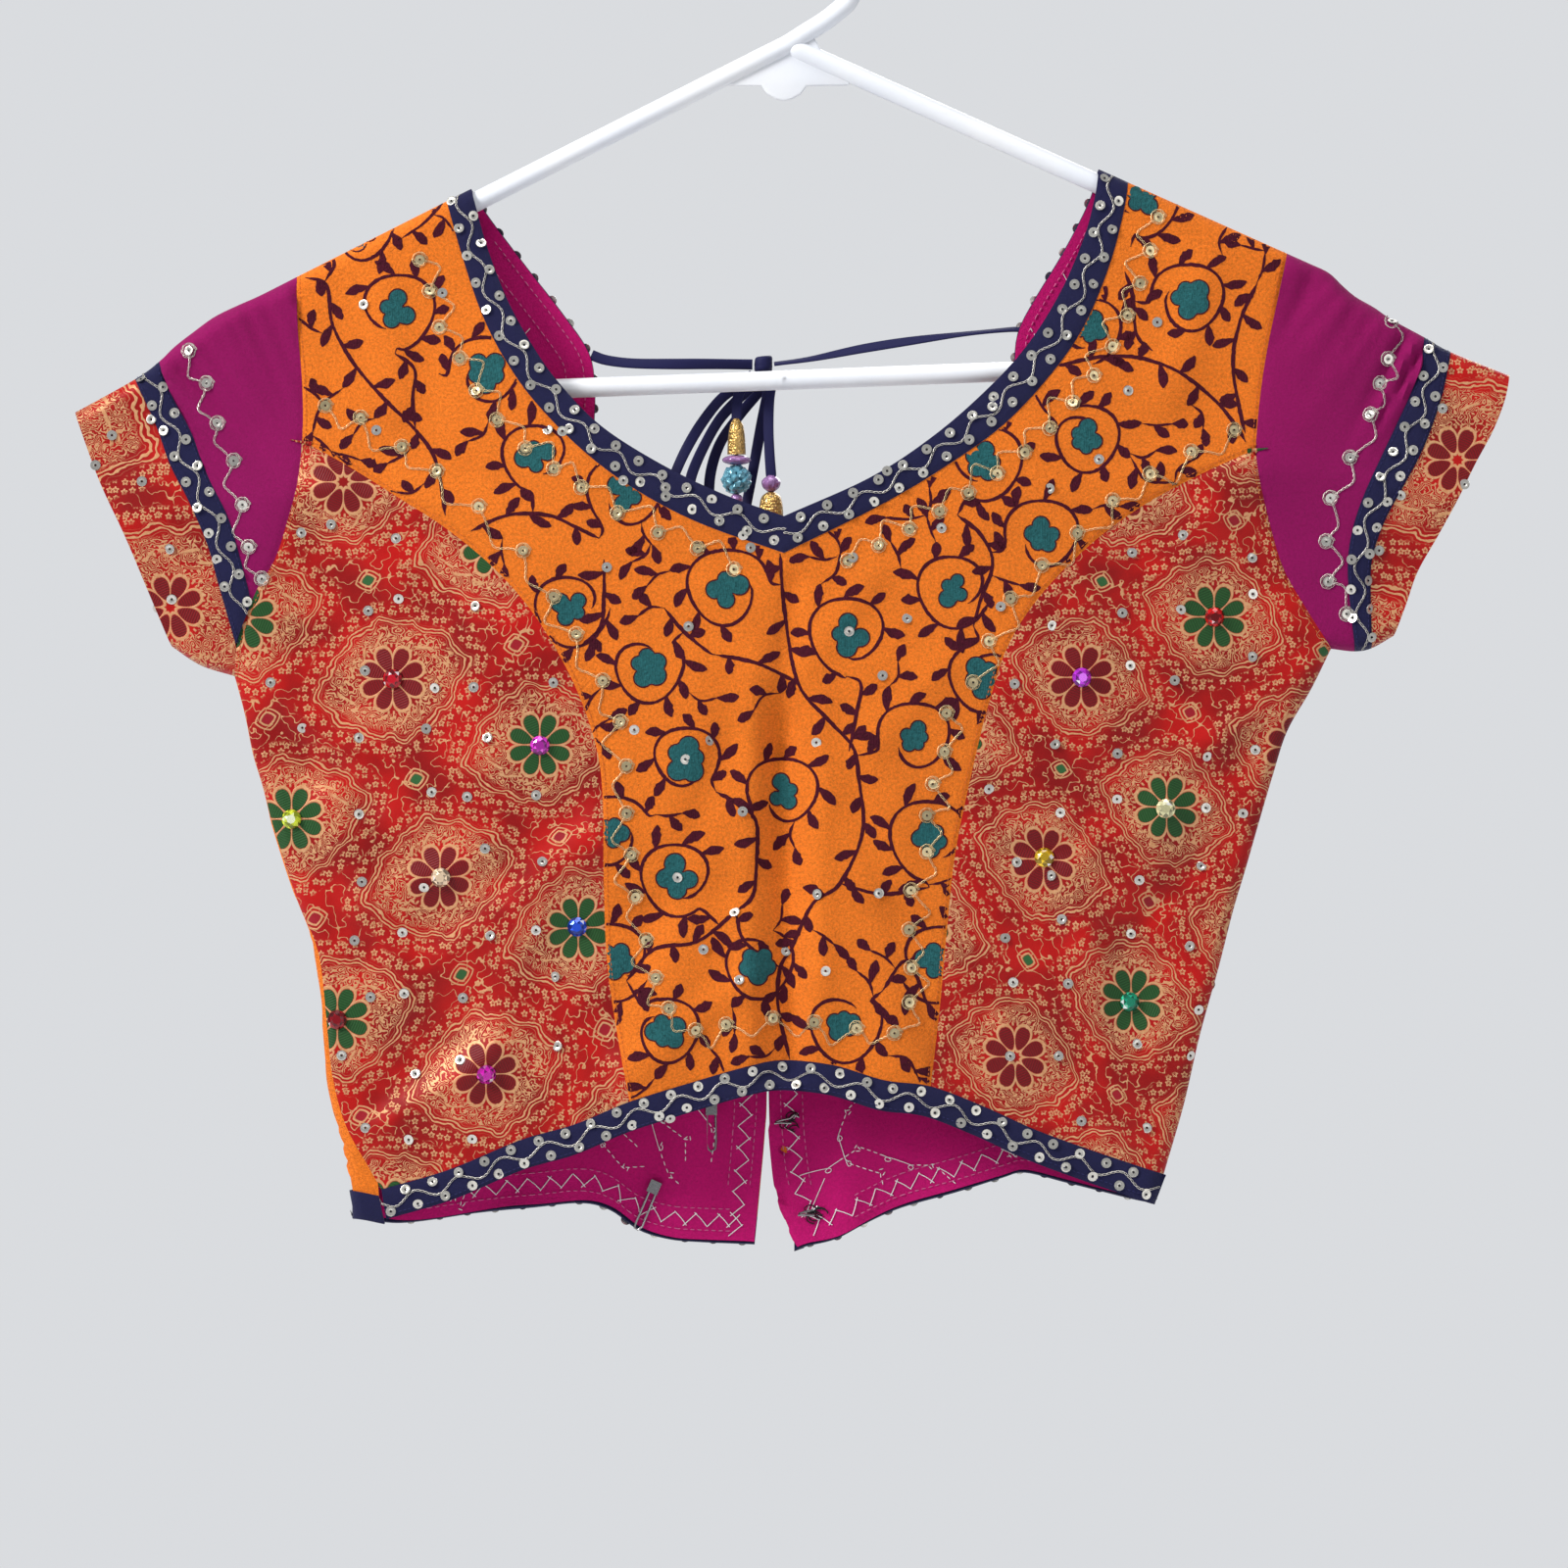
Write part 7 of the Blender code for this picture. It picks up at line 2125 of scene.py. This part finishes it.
@dataclass
class Trims:
    """The hand embroidery: chain stitch, sequins and the scallops between them."""

    looks: "Looks"
    stamper: Stamper
    front: Surface
    back: Surface
    silver: list = field(default_factory=list)
    gold: list = field(default_factory=list)
    pale: Marks = field(default_factory=Marks)
    warm: Marks = field(default_factory=Marks)

    def path(self, surface: Surface, line: Line, store: list, up: float = 0.3, step: float = 0.9) -> None:
        """Lays a line on the cloth, in the runs that have cloth under them."""
        close = at(line, np.arange(0, reach(line)[-1], step))
        points, normals, hit = surface.touch(close, up)
        first = None
        for k in range(len(close) + 1):
            good = k < len(close) and hit[k]
            if good and first is None:
                first = k
            if not good and first is not None:
                if k - first > 3:
                    store.append((points[first:k], normals[first:k]))
                first = None

    def wave(self, line: Line, high: float, long: float, phase: float = 0.0) -> Line:
        """A line that swings to both sides of another."""
        close = at(line, np.arange(0, reach(line)[-1], 1.0))
        run = reach(close)
        off = high * np.sin(2 * math.pi * run / long + phase + 0.35 * np.sin(run / 21.0))
        return close + off[:, None] * (beside(close, 1.0) - close)

    def banded(self, surface: Surface, line: Line, phase: float = 0.0) -> None:
        """A navy band's trim: a waving chain with sequins on both sides."""
        self.path(surface, self.wave(line, 2.0, 18.0, phase), self.silver)
        length = reach(line)[-1]
        for side, shift in ((3.3, 3.0), (-3.3, 8.6)):
            runs = np.arange(shift, length - 2, 11.0)
            runs = runs + 1.2 * np.sin(runs * 1.7 + phase)
            spots = at(line, runs)
            ahead = at(line, np.minimum(runs + 1.0, length)) - at(line, runs - 1.0)
            ahead /= np.linalg.norm(ahead, axis=1, keepdims=True)
            self.pale.put(surface, spots + side * np.column_stack([ahead[:, 1], -ahead[:, 0]]), 0.34)

    def ring(self, surface: Surface, middle: np.ndarray, store: list, radius: float = 2.75) -> None:
        """A ring of chain round a sequin."""
        turns = np.linspace(0.4, 0.4 + 2 * math.pi * 1.1, 30)
        radii = radius * np.linspace(1.0, 0.86, 30)
        self.path(surface, around(middle, radii, turns), store, 0.36, 0.6)

    def scallops(self, surface: Surface, rings: Line, side: float, store: list, marks: Marks,
                 high: float = 6.6) -> None:
        """Ringed sequins with a loop of chain between each two, bowed to one side."""
        for k, spot in enumerate(rings):
            self.ring(surface, spot, store)
            if k + 1 < len(rings):
                after = rings[k + 1]
                way = (after - spot) / max(np.linalg.norm(after - spot), 1e-9)
                bow = high * (1 + 0.22 * math.sin(2.3 * k)) * side
                corner = spot + (after - spot) * (0.5 + 0.12 * math.sin(1.7 * k + side)) \
                    + bow * np.array([way[1], -way[0]])
                self.path(surface, smooth_line([spot, (spot + corner) / 2 + 0.4, corner, (after + corner) / 2,
                                                after], 6), store)
        marks.put(surface, rings, 0.42)

    def bands(self) -> None:
        """The trim on every navy band."""
        for side in Side:
            name = side.value
            outer, inner = neck_edge(side), edge((LINES["neck_inner_" + name], NECK_STEPS, True))
            self.banded(self.front, (outer + inner) / 2)
            a, b = (at(line, np.linspace(0, reach(line)[-1], 60))
                    for line in (LINES["band_in_" + name], LINES["band_out_" + name]))
            for surface in (self.front, self.back):
                self.banded(surface, (a + b) / 2, 1.0)
            body = BackBody()
            neck = body.neck_grid(side)
            self.banded(self.back, neck[:, neck.shape[1] // 2], 0.6)
            hem = body.hem_grid(side)
            self.banded(self.back, hem[:, hem.shape[1] // 2], 0.3)
        hem = FrontBody().hem_grid()
        self.banded(self.front, hem[:, hem.shape[1] // 2])

    def build(self) -> None:
        """Lays out and bakes all the embroidery."""
        self.bands()
        front = self.front
        right = beside(LINES["neck_outer_right"], 13.5)
        if right[20][0] < LINES["neck_outer_right"][20][0]:
            right = beside(LINES["neck_outer_right"], -13.5)
        right = at(right, np.arange(12, reach(right)[-1] - 12, 13.4))
        for rings, turn in ((px(*NECK_RINGS), -1), (right, 1), (px(*SEAM_RINGS), 1),
                            (px(*RIGHT_SEAM_RINGS), 1)):
            self.scallops(front, rings, turn, self.gold, self.warm)
        for side in Side:
            for surface in (front, self.back):
                self.scallops(surface, px(*CAP_RINGS[side]), 1 if side is Side.LEFT else -1, self.silver,
                              self.pale, 5.0)
        self.pale.put(front, px(*CENTRE_SEQUINS))
        self.pale.put(front, px(*HEM_SEQUINS))
        self.scattered()
        link_one, sequin, knot = link_unit(), sequin_unit(), knot_unit()
        looks = self.looks
        for name, paths, finish, slot in (("chain_silver", self.silver, looks.silver_thread, "navy"),
                                          ("chain_gold", self.gold, looks.gold_thread, "orange_print")):
            self.stamper.chained(name, link_one, paths, 1.75, finish, slot)
        for colour, marks, finish in (("silver", self.pale, looks.sequin),
                                      ("gold", self.warm, looks.gold_sequin)):
            points, facing = np.vstack(marks.points), np.vstack(marks.facing)
            self.stamper.scatter("sequins_" + colour, sequin, points, facing, finish, "metal", tilt=0.3,
                                 seed=5)
            # Partly painted shade: each sequin's stitch is black, which also stands for the shade in its
            # hole.
            self.stamper.scatter("sequin_knots_" + colour, knot, points + 0.1 * facing, facing,
                                 looks.black_thread, "metal", tilt=0.2, seed=6)
        for unit in (link_one, sequin, knot):
            bpy.data.objects.remove(unit, do_unlink=True)

    def scattered(self) -> None:
        """Single sequins scattered over the brocade, the cuffs and the backs."""
        rng = np.random.default_rng(23)
        for surface in (self.front, self.back):
            spots = np.array([(x + rng.uniform(-8, 8), z + rng.uniform(-8, 8))
                              for x in np.arange(-268, 272, 25.0) for z in np.arange(-500, -190, 25.0)])
            stones = np.array([s[:2] for s in STONES])
            gap = np.min(np.linalg.norm(spots[:, None] - stones[None], axis=2), axis=1)
            keep = gap > 7
            if surface is self.front:
                centre = inside(spots, np.vstack([LINES["brocade_left"], LINES["hem_top"][::-1][30:90],
                                                  LINES["brocade_right"][::-1], LINES["neck_outer_right"],
                                                  LINES["neck_outer_left"][::-1]]))
                seams = np.min([near_line(spots, LINES[n])[0] for n in SEWN_EDGES + ("hem_top",)], axis=0)
                keep &= ~centre & (seams > 5)
            keep &= np.abs(spots[:, 0]) < 279
            for side in Side:
                cap = np.vstack([LINES["armhole_" + side.value], LINES["band_out_" + side.value][::-1]])
                keep &= ~inside(spots, cap)
            keep &= ~((np.abs(np.abs(spots[:, 0]) - 212) < 31) & (spots[:, 1] > -218))
            self.pale.put(surface, spots[keep])


@dataclass
class Stones:
    """The foil-backed stones at the middle of the woven flowers."""

    looks: "Looks"
    radius: float = 3.75

    def rings(self) -> list[Line]:
        """The stone's rings of points: across, up and height."""
        out = []
        wide = self.radius
        for radius, height, count, turn in ((1.75, 2.5, 8, 0.0), (2.85, 1.85, 8, 0.5), (wide, 0.85, 16, 0.0),
                                            (wide, 0.25, 16, 0.0), (wide * 0.8, -0.25, 16, 0.0)):
            flat = around((0, 0), radius, (np.arange(count) + turn) * 2 * math.pi / count)
            out.append(np.column_stack([flat, np.full(count, height)]))
        return out

    def build(self, surface: Surface) -> None:
        """Makes every stone on its place."""
        rings = self.rings()
        starts = np.cumsum([0] + [len(r) for r in rings])
        points = np.vstack(rings)
        faces: list[list[int]] = [list(range(8))]
        for k in range(8):
            n = (k + 1) % 8
            faces += [[k, 8 + k, n], [8 + k, 8 + n, n]]
            a, b, c = 16 + 2 * k, 16 + (2 * k + 1) % 16, 16 + (2 * k + 2) % 16
            faces += [[8 + (k - 1) % 8, a, 8 + k], [8 + k, a, b], [8 + k, b, c]]
        for low, high in ((2, 3), (3, 4)):
            faces += [[starts[low] + k, starts[high] + k, starts[high] + (k + 1) % 16,
                       starts[low] + (k + 1) % 16] for k in range(16)]
        faces.append([int(starts[4]) + k for k in range(16)])
        rng = np.random.default_rng(31)
        for number, (x, z, colour) in enumerate(STONES, 1):
            spot, normal, hit = surface.touch(np.array([[x, z]]))
            up = normal[0] if hit[0] else np.array([0, -1.0, 0])
            across = np.cross([0, 0, 1.0], up)
            across /= np.linalg.norm(across)
            third = np.cross(up, across)
            placed = spot[0] + points @ np.array([across, third, up])
            made = mesh_of(f"stone_{number:02d}", placed, faces, 5)
            made.data.shade_flat()
            face_out(made)
            # A random value for each facet, which the stone's finish turns into painted reflections and
            # painted glints.
            facet_painted_light = made.data.attributes.new("facet_painted_light", "FLOAT", "FACE")
            facet_painted_light.data.foreach_set("value", rng.uniform(0, 1, len(made.data.polygons)).astype(np.float32))
            glass = self.looks.stone(f"stone_glass_{number:02d}", colour)
            declare(dressed(made, glass), "stone", f"gem_{number:02d}")


@dataclass
class InnerStitches:
    """The reverse of the embroidery and the hand hemming on the lining."""

    looks: "Looks"
    stamper: Stamper
    surface: Surface
    hem: list = field(default_factory=list)
    loose: list = field(default_factory=list)
    runs: list = field(default_factory=list)

    def lay(self, line: Line, store: list, up: float = 0.28, step: float = 0.8) -> None:
        """Puts a line on the lining where there is any."""
        close = at(line, np.arange(0, reach(line)[-1], step))
        points, normals, hit = self.surface.touch(close, up)
        if len(close) > 2 and hit.all():
            store.append((points, normals))

    def zigzag(self, line: Line) -> None:
        """Slanted white stitches along an edge."""
        length, place, k = reach(line)[-1], 3.0, 0
        while place < length - 7:
            a, b = at(line, [place, place + 5.2])
            way = (b - a) / np.linalg.norm(b - a)
            out = np.array([way[1], -way[0]])
            high = 2.7 if k % 2 == 0 else -2.7
            self.lay(np.array([a - out * high, (a + b) / 2 + 0.2, b + out * high]), self.hem)
            place, k = place + 4.3 + 0.8 * math.sin(k * 1.9), k + 1

    def wander(self, rng: np.random.Generator, start: np.ndarray, count: int, store: list) -> None:
        """A wandering line with a small loop at each turn."""
        angle = rng.uniform(0, 2 * math.pi)
        points = [start]
        for _ in range(count):  # a stretch, then a small loop
            angle += rng.uniform(-1.1, 1.1)
            step = rng.uniform(9, 16) * np.array([math.cos(angle), math.sin(angle)])
            points.append(points[-1] + step)
            for turn in (1.2, 3.0, 4.8):
                points.append(points[-1] + 1.5 * np.array([math.cos(angle + turn), math.sin(angle + turn)]))
        line = smooth_line(points, 5)
        run = reach(line)
        cut = 0.0
        while cut < run[-1] - 26:
            self.lay(at(line, np.linspace(cut, cut + 26, 24)), store)
            cut += 26

    def build(self) -> None:
        """Makes the stitches on both linings."""
        rng = np.random.default_rng(17)
        for side in Side:
            name, turn = side.value, (1 if side is Side.LEFT else -1)
            hem, centre = LINES["back_hem_" + name], LINES["centre_back_" + name]
            self.zigzag(hem + [0, 9.0])
            self.zigzag(beside(centre, turn * 8.0))
            rows = [hem + [0, 5.0], hem + [0, 13.5]]
            rows += [beside(line, turn * off) for line, off in (
                (centre, 4.0), (centre, 12.5), (LINES["back_edge_" + name], 4.0),
                (LINES["back_edge_" + name], 11.0))]
            for line in rows:
                inner = stretch(line, line[2], line[-3])
                for cut in np.arange(0, reach(inner)[-1] - 20, 20.0):
                    self.lay(at(inner, np.linspace(cut, cut + 20, 16)), self.runs)
            for tries, across, up, turns in ((26, (8, 170), (-515, -330), 6),
                                             (14, (75, 165), (-330, -140), 4)):
                for _ in range(tries):
                    start = np.array([-turn * rng.uniform(*across), rng.uniform(*up)])
                    self.wander(rng, start, turns, self.loose)
        tied = []
        for place in HOOKS:
            for _ in range(5):
                middle, turns = np.array(place) + rng.uniform(-2.5, 3.5, 2), np.linspace(0, 5.2, 14)
                loop = rng.uniform(1.4, 2.8) * np.column_stack([np.cos(turns), np.sin(turns) * 0.7])
                self.lay(middle + loop, tied, 0.7)
        white, pink, dash = self.looks.white_thread, self.looks.pink_thread, dash_unit()
        for title, paths, radius, finish in (("hook_tying_threads", tied, 0.24, self.looks.black_thread),
                                             ("lining_zigzag_stitches", self.hem, 0.2, white),
                                             ("lining_loose_threads", self.loose[::2], 0.17, white)):
            self.stamper.threaded(title, paths, radius, finish, "lining")
        for title, paths, pitch, finish, tilt, seed in (
                ("lining_running_stitches", self.loose[1::2], 2.7, white, 0.1, 8),
                ("lining_hem_stitches", self.runs, 2.6, pink, 0.08, 9)):
            self.stamper.chained(title, dash, paths, pitch, finish, "lining", tilt, seed)
        bpy.data.objects.remove(dash, do_unlink=True)


@dataclass
class Seams:
    """Rows of small stitches beside the seams."""

    looks: "Looks"
    stamper: Stamper
    front: Surface
    back: Surface

    def build(self) -> None:
        """Makes the rows, in the colour of the cloth that they hold."""
        trims = Trims(self.looks, self.stamper, self.front, self.back)
        rows: list = []
        for side in Side:
            turn = -1 if side is Side.LEFT else 1
            trims.path(self.front, beside(LINES["brocade_" + side.value], turn * 1.5), rows, 0.12)
            for surface in (self.front, self.back):
                trims.path(surface, beside(LINES["armhole_" + side.value], turn * 1.4), rows, 0.12)
        hem = LINES["hem_top"] - [0, HEM_BAND_WIDTH - 1.2]
        dark: list = []
        trims.path(self.front, hem, dark, 0.12)
        for side in Side:
            for name in ("band_in_", "band_out_"):
                turn = (1 if name == "band_in_" else -1) * (1 if side is Side.LEFT else -1)
                for surface in (self.front, self.back):
                    trims.path(surface, beside(LINES[name + side.value], turn * 1.2), dark, 0.12)
        orange = self.looks.cloth("orange_thread", (0.62, 0.15, 0.03), 0.8, 0.3, 0.4, 0.0001)
        blue = self.looks.cloth("navy_thread", (0.03, 0.03, 0.12), 0.7, 0.3, 0.4, 0.0001)
        dash = dash_unit(0.62, 0.15)
        self.stamper.chained("seam_stitches", dash, rows, 1.9, orange, "orange_print", 0.06, 12)
        self.stamper.chained("band_stitches", dash, dark, 1.9, blue, "navy", 0.06, 13)
        bpy.data.objects.remove(dash, do_unlink=True)


@dataclass
class Tassel:
    """The beads that hang from an end of the tie."""

    looks: "Looks"

    @classmethod
    def first(cls, looks: "Looks") -> list[bpy.types.Object]:
        """A gold cone, a ring, a turquoise cluster and small beads."""
        top = np.array(TIE_ROUTES["tie_end_1"][-1])
        maker = cls(looks)
        cone = dressed(maker.turned("tassel_1_cone_beaded", top, CONE, 24), looks.gold)
        declare(cone, "gold_beads", "tassel_1_cone")
        beads = [maker.ball("tassel_1_ring", top + [0, 0, -16.4], (5.6, 5.6, 2.0), looks.purple_glass),
                 maker.cluster("tassel_1_cluster", top + [0, 0, -24.0], 6.2, looks.turquoise),
                 maker.ball("tassel_1_purple_bead", top + [0, 0, -31.6], (2.5, 2.5, 2.2), looks.purple_glass),
                 maker.ball("tassel_1_last_bead", top + [0.4, 0, -34.8], (1.5, 1.5, 1.5), looks.peach)]
        declare(beads[0], "glass_beads", "tassel_1_beads")
        for bead in beads[1:]:
            declare(bead, "glass_beads")
        return [cone] + beads

    @classmethod
    def second(cls, looks: "Looks") -> list[bpy.types.Object]:
        """A purple crystal over a gold dome."""
        top = np.array(TIE_ROUTES["tie_end_2"][-1])
        maker = cls(looks)
        crystal = dressed(maker.turned("tassel_2_crystal_cut", top, CRYSTAL, 10, 10.0), looks.purple_glass)
        declare(crystal, "crystal", "tassel_2_crystal")
        dome = dressed(maker.turned("tassel_2_dome_beaded", top, DOME, 24), looks.gold)
        declare(dome, "gold_beads", "tassel_2_dome")
        return [crystal, dome]

    def turned(self, name: str, top: np.ndarray, profile: Sequence[tuple[float, float]], sides: int,
               sharp: float = 60.0) -> bpy.types.Object:
        """A closed turned shape under a point."""
        rings = []
        for height, radius in smooth_line(profile, 5):
            flat = top[:2] + circle(max(radius, 0.2), sides)
            rings.append(np.column_stack([flat, np.full(sides, top[2] + height)]))
        points = np.vstack(rings)
        faces = [[k * sides + a, k * sides + (a + 1) % sides, (k + 1) * sides + (a + 1) % sides,
                  (k + 1) * sides + a] for k in range(len(rings) - 1) for a in range(sides)]
        faces += [list(range(sides)), list(range((len(rings) - 1) * sides, len(rings) * sides))]
        return face_out(mesh_of(name, points, faces, sharp))

    def ball(self, name: str, middle: np.ndarray, radii: tuple[float, float, float],
             material: bpy.types.Material) -> bpy.types.Object:
        """A bead."""
        work = bmesh.new()
        bmesh.ops.create_uvsphere(work, u_segments=24, v_segments=14, radius=1.0)
        for v in work.verts:
            v.co = Vector([(middle[k] + radii[k] * v.co[k]) * MM for k in range(3)])
        return dressed(from_bmesh(name, work), material)

    def cluster(self, name: str, middle: np.ndarray, radius: float,
                material: bpy.types.Material) -> bpy.types.Object:
        """Small faceted beads packed in a ball."""
        work = bmesh.new()
        rng = np.random.default_rng(11)
        for k in range(34):
            height = 1 - 2 * (k + 0.5) / 34
            turn = k * 2.39996
            flat = math.sqrt(1 - height * height)
            spot = middle + (radius - 1.9) * np.array([flat * math.cos(turn), flat * math.sin(turn), height])
            made = bmesh.ops.create_icosphere(work, subdivisions=1, radius=2.0)
            spin = Matrix.Rotation(rng.uniform(0, 3), 3, Vector(rng.normal(size=3)).normalized())
            for v in made["verts"]:
                v.co = (spin @ v.co + Vector(spot)) * MM
        return dressed(from_bmesh(name, work, None), material)


@dataclass
class Studio:
    """The camera, the soft light and the floor."""

    frame_wide: float = 0.608
    distance: float = 3.6
    middle: tuple[float, float] = (-0.00076, -0.3428)
    floor_z: float = -0.8
    floor_r: float = 1.7
    floor_sides: int = 64

    def build(self) -> None:
        """Makes the camera, the lights, the world and the floor."""
        camera = bpy.data.cameras.new("photo_camera")
        camera.sensor_width, camera.lens = 36.0, 36.0 * self.distance / self.frame_wide
        camera.clip_end = 20.0
        eye = link("photo_camera", camera)
        eye.location = (self.middle[0], -self.distance, self.middle[1])
        eye.rotation_euler = (math.pi / 2, 0, 0)
        bpy.context.scene.camera = eye
        self.room()
        for name, place, size, power in (("key", (-2.2, -1.35, 1.2), 0.9, 84.0),
                                         ("fill", (1.8, -2.0, -0.2), 1.6, 8.0),
                                         ("top", (0.1, -0.7, 1.6), 1.0, 16.0),
                                         ("back", (0.6, 2.2, 0.8), 1.5, 30.0)):
            lamp = bpy.data.lights.new(name, "AREA")
            lamp.size, lamp.energy = size, power
            light = link(name, lamp)
            light.location = place
            aim = Vector((0, 0, -0.3)) - Vector(place)
            light.rotation_euler = aim.to_track_quat("-Z", "Y").to_euler()
        rim = np.column_stack([circle(self.floor_r, self.floor_sides),
                               np.full(self.floor_sides, self.floor_z)])
        floor = mesh_of("pale_floor", rim, [list(range(self.floor_sides))], scale=1.0)
        finish = bpy.data.materials.new("floor_paint")
        finish.use_nodes = True
        fill(finish.node_tree, finish.node_tree.nodes["Principled BSDF"],
             {"Base Color": (0.72, 0.73, 0.75, 1), "Roughness": 0.9})
        dressed(floor, finish)
        bpy.context.scene.view_settings.view_transform = "Standard"

    def room(self) -> None:
        """A plain pale world: soft even light, and one paler colour behind the object."""
        world = bpy.data.worlds.new("soft_room")
        world.use_nodes = True
        tree = world.node_tree
        light = fill(tree, tree.nodes["Background"], {"Color": (0.80, 0.83, 0.90, 1), "Strength": 0.42})
        seen = add(tree, "ShaderNodeBackground", {"Color": (0.70, 0.715, 0.74, 1), "Strength": 1.0})
        share = add(tree, "ShaderNodeLightPath").outputs["Is Camera Ray"]
        both = add(tree, "ShaderNodeMixShader", {0: share, 1: light, 2: seen})
        tree.links.new(both.outputs[0], tree.nodes["World Output"].inputs["Surface"])
        bpy.context.scene.world = world


def pieces_named(*starts: str) -> list[bpy.types.Object]:
    """The finished pieces whose names start with any of these."""
    return [o for o in bpy.data.objects if o.name.startswith(starts) and o.name.endswith("_cloth")]


def back_layout(turn: int, rng: np.random.Generator) -> tuple[Line, list[Line]]:
    """The flowers and the stems of a back's print, in loose columns.

    Args:
        turn: -1 on the left back and 1 on the right.
        rng: the draws that shift each flower.

    Returns:
        The flowers' places and the stems.
    """
    blooms = [(turn * (22 + 36 * column + (18 if row % 2 else 0)) + rng.uniform(-5, 5),
               z + rng.uniform(-5, 5))
              for row, z in enumerate(np.arange(-145, -500, -33.0)) for column in range(6)]
    heights = np.arange(-130, -510, -12)
    stems = [np.array([(turn * (40 + 72 * column + 7 * math.sin(z / 14.0 + column)), z) for z in heights])
             for column in range(3)]
    return np.array(blooms), stems


def dress(looks: Looks) -> None:
    """Adds the print, the embroidery, the stones and the stitches to the finished cloth."""
    front = Surface(pieces_named("front", "neck_binding", "hem_binding", "sleeve"), Face.FRONT)
    back = Surface(pieces_named("back", "sleeve"), Face.BACK)
    stamper = Stamper()
    vine = VinePrint(Surface(pieces_named("front_centre"), Face.FRONT), 7)
    vine.lay_out(px(*BLOOMS), [px(*s) for s in STEMS])
    vine.finish("front", looks)
    for side, seed in ((Side.LEFT, 41), (Side.RIGHT, 42)):
        vine = VinePrint(Surface(pieces_named("back_" + side.value), Face.BACK), seed)
        vine.lay_out(*back_layout(-1 if side is Side.LEFT else 1, np.random.default_rng(seed)))
        vine.finish("back_" + side.value, looks)
    Trims(looks, stamper, front, back).build()
    Stones(looks).build(front)
    InnerStitches(looks, stamper, Surface(pieces_named("lining"), Face.FRONT)).build()
    Seams(looks, stamper, front, back).build()


def main() -> None:
    """Builds the whole scene in order: camera, tie, hanger, cloth and trimmings."""
    logging.basicConfig(level=logging.INFO, format="%(message)s")
    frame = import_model()
    Studio().build()
    looks = Looks()
    Tie().build(looks)
    Hanger().build(looks)
    BackBody().build(looks)
    FrontBody().build(looks)
    for side in Side:
        Sleeve(side).build(looks)
    for name, node in frame["nodes"].items():
        if name.startswith(("hook", "safety")):
            for slot in node.material_slots:
                slot.material = looks.metal
    dress(looks)


if __name__ == "__main__":
    main()
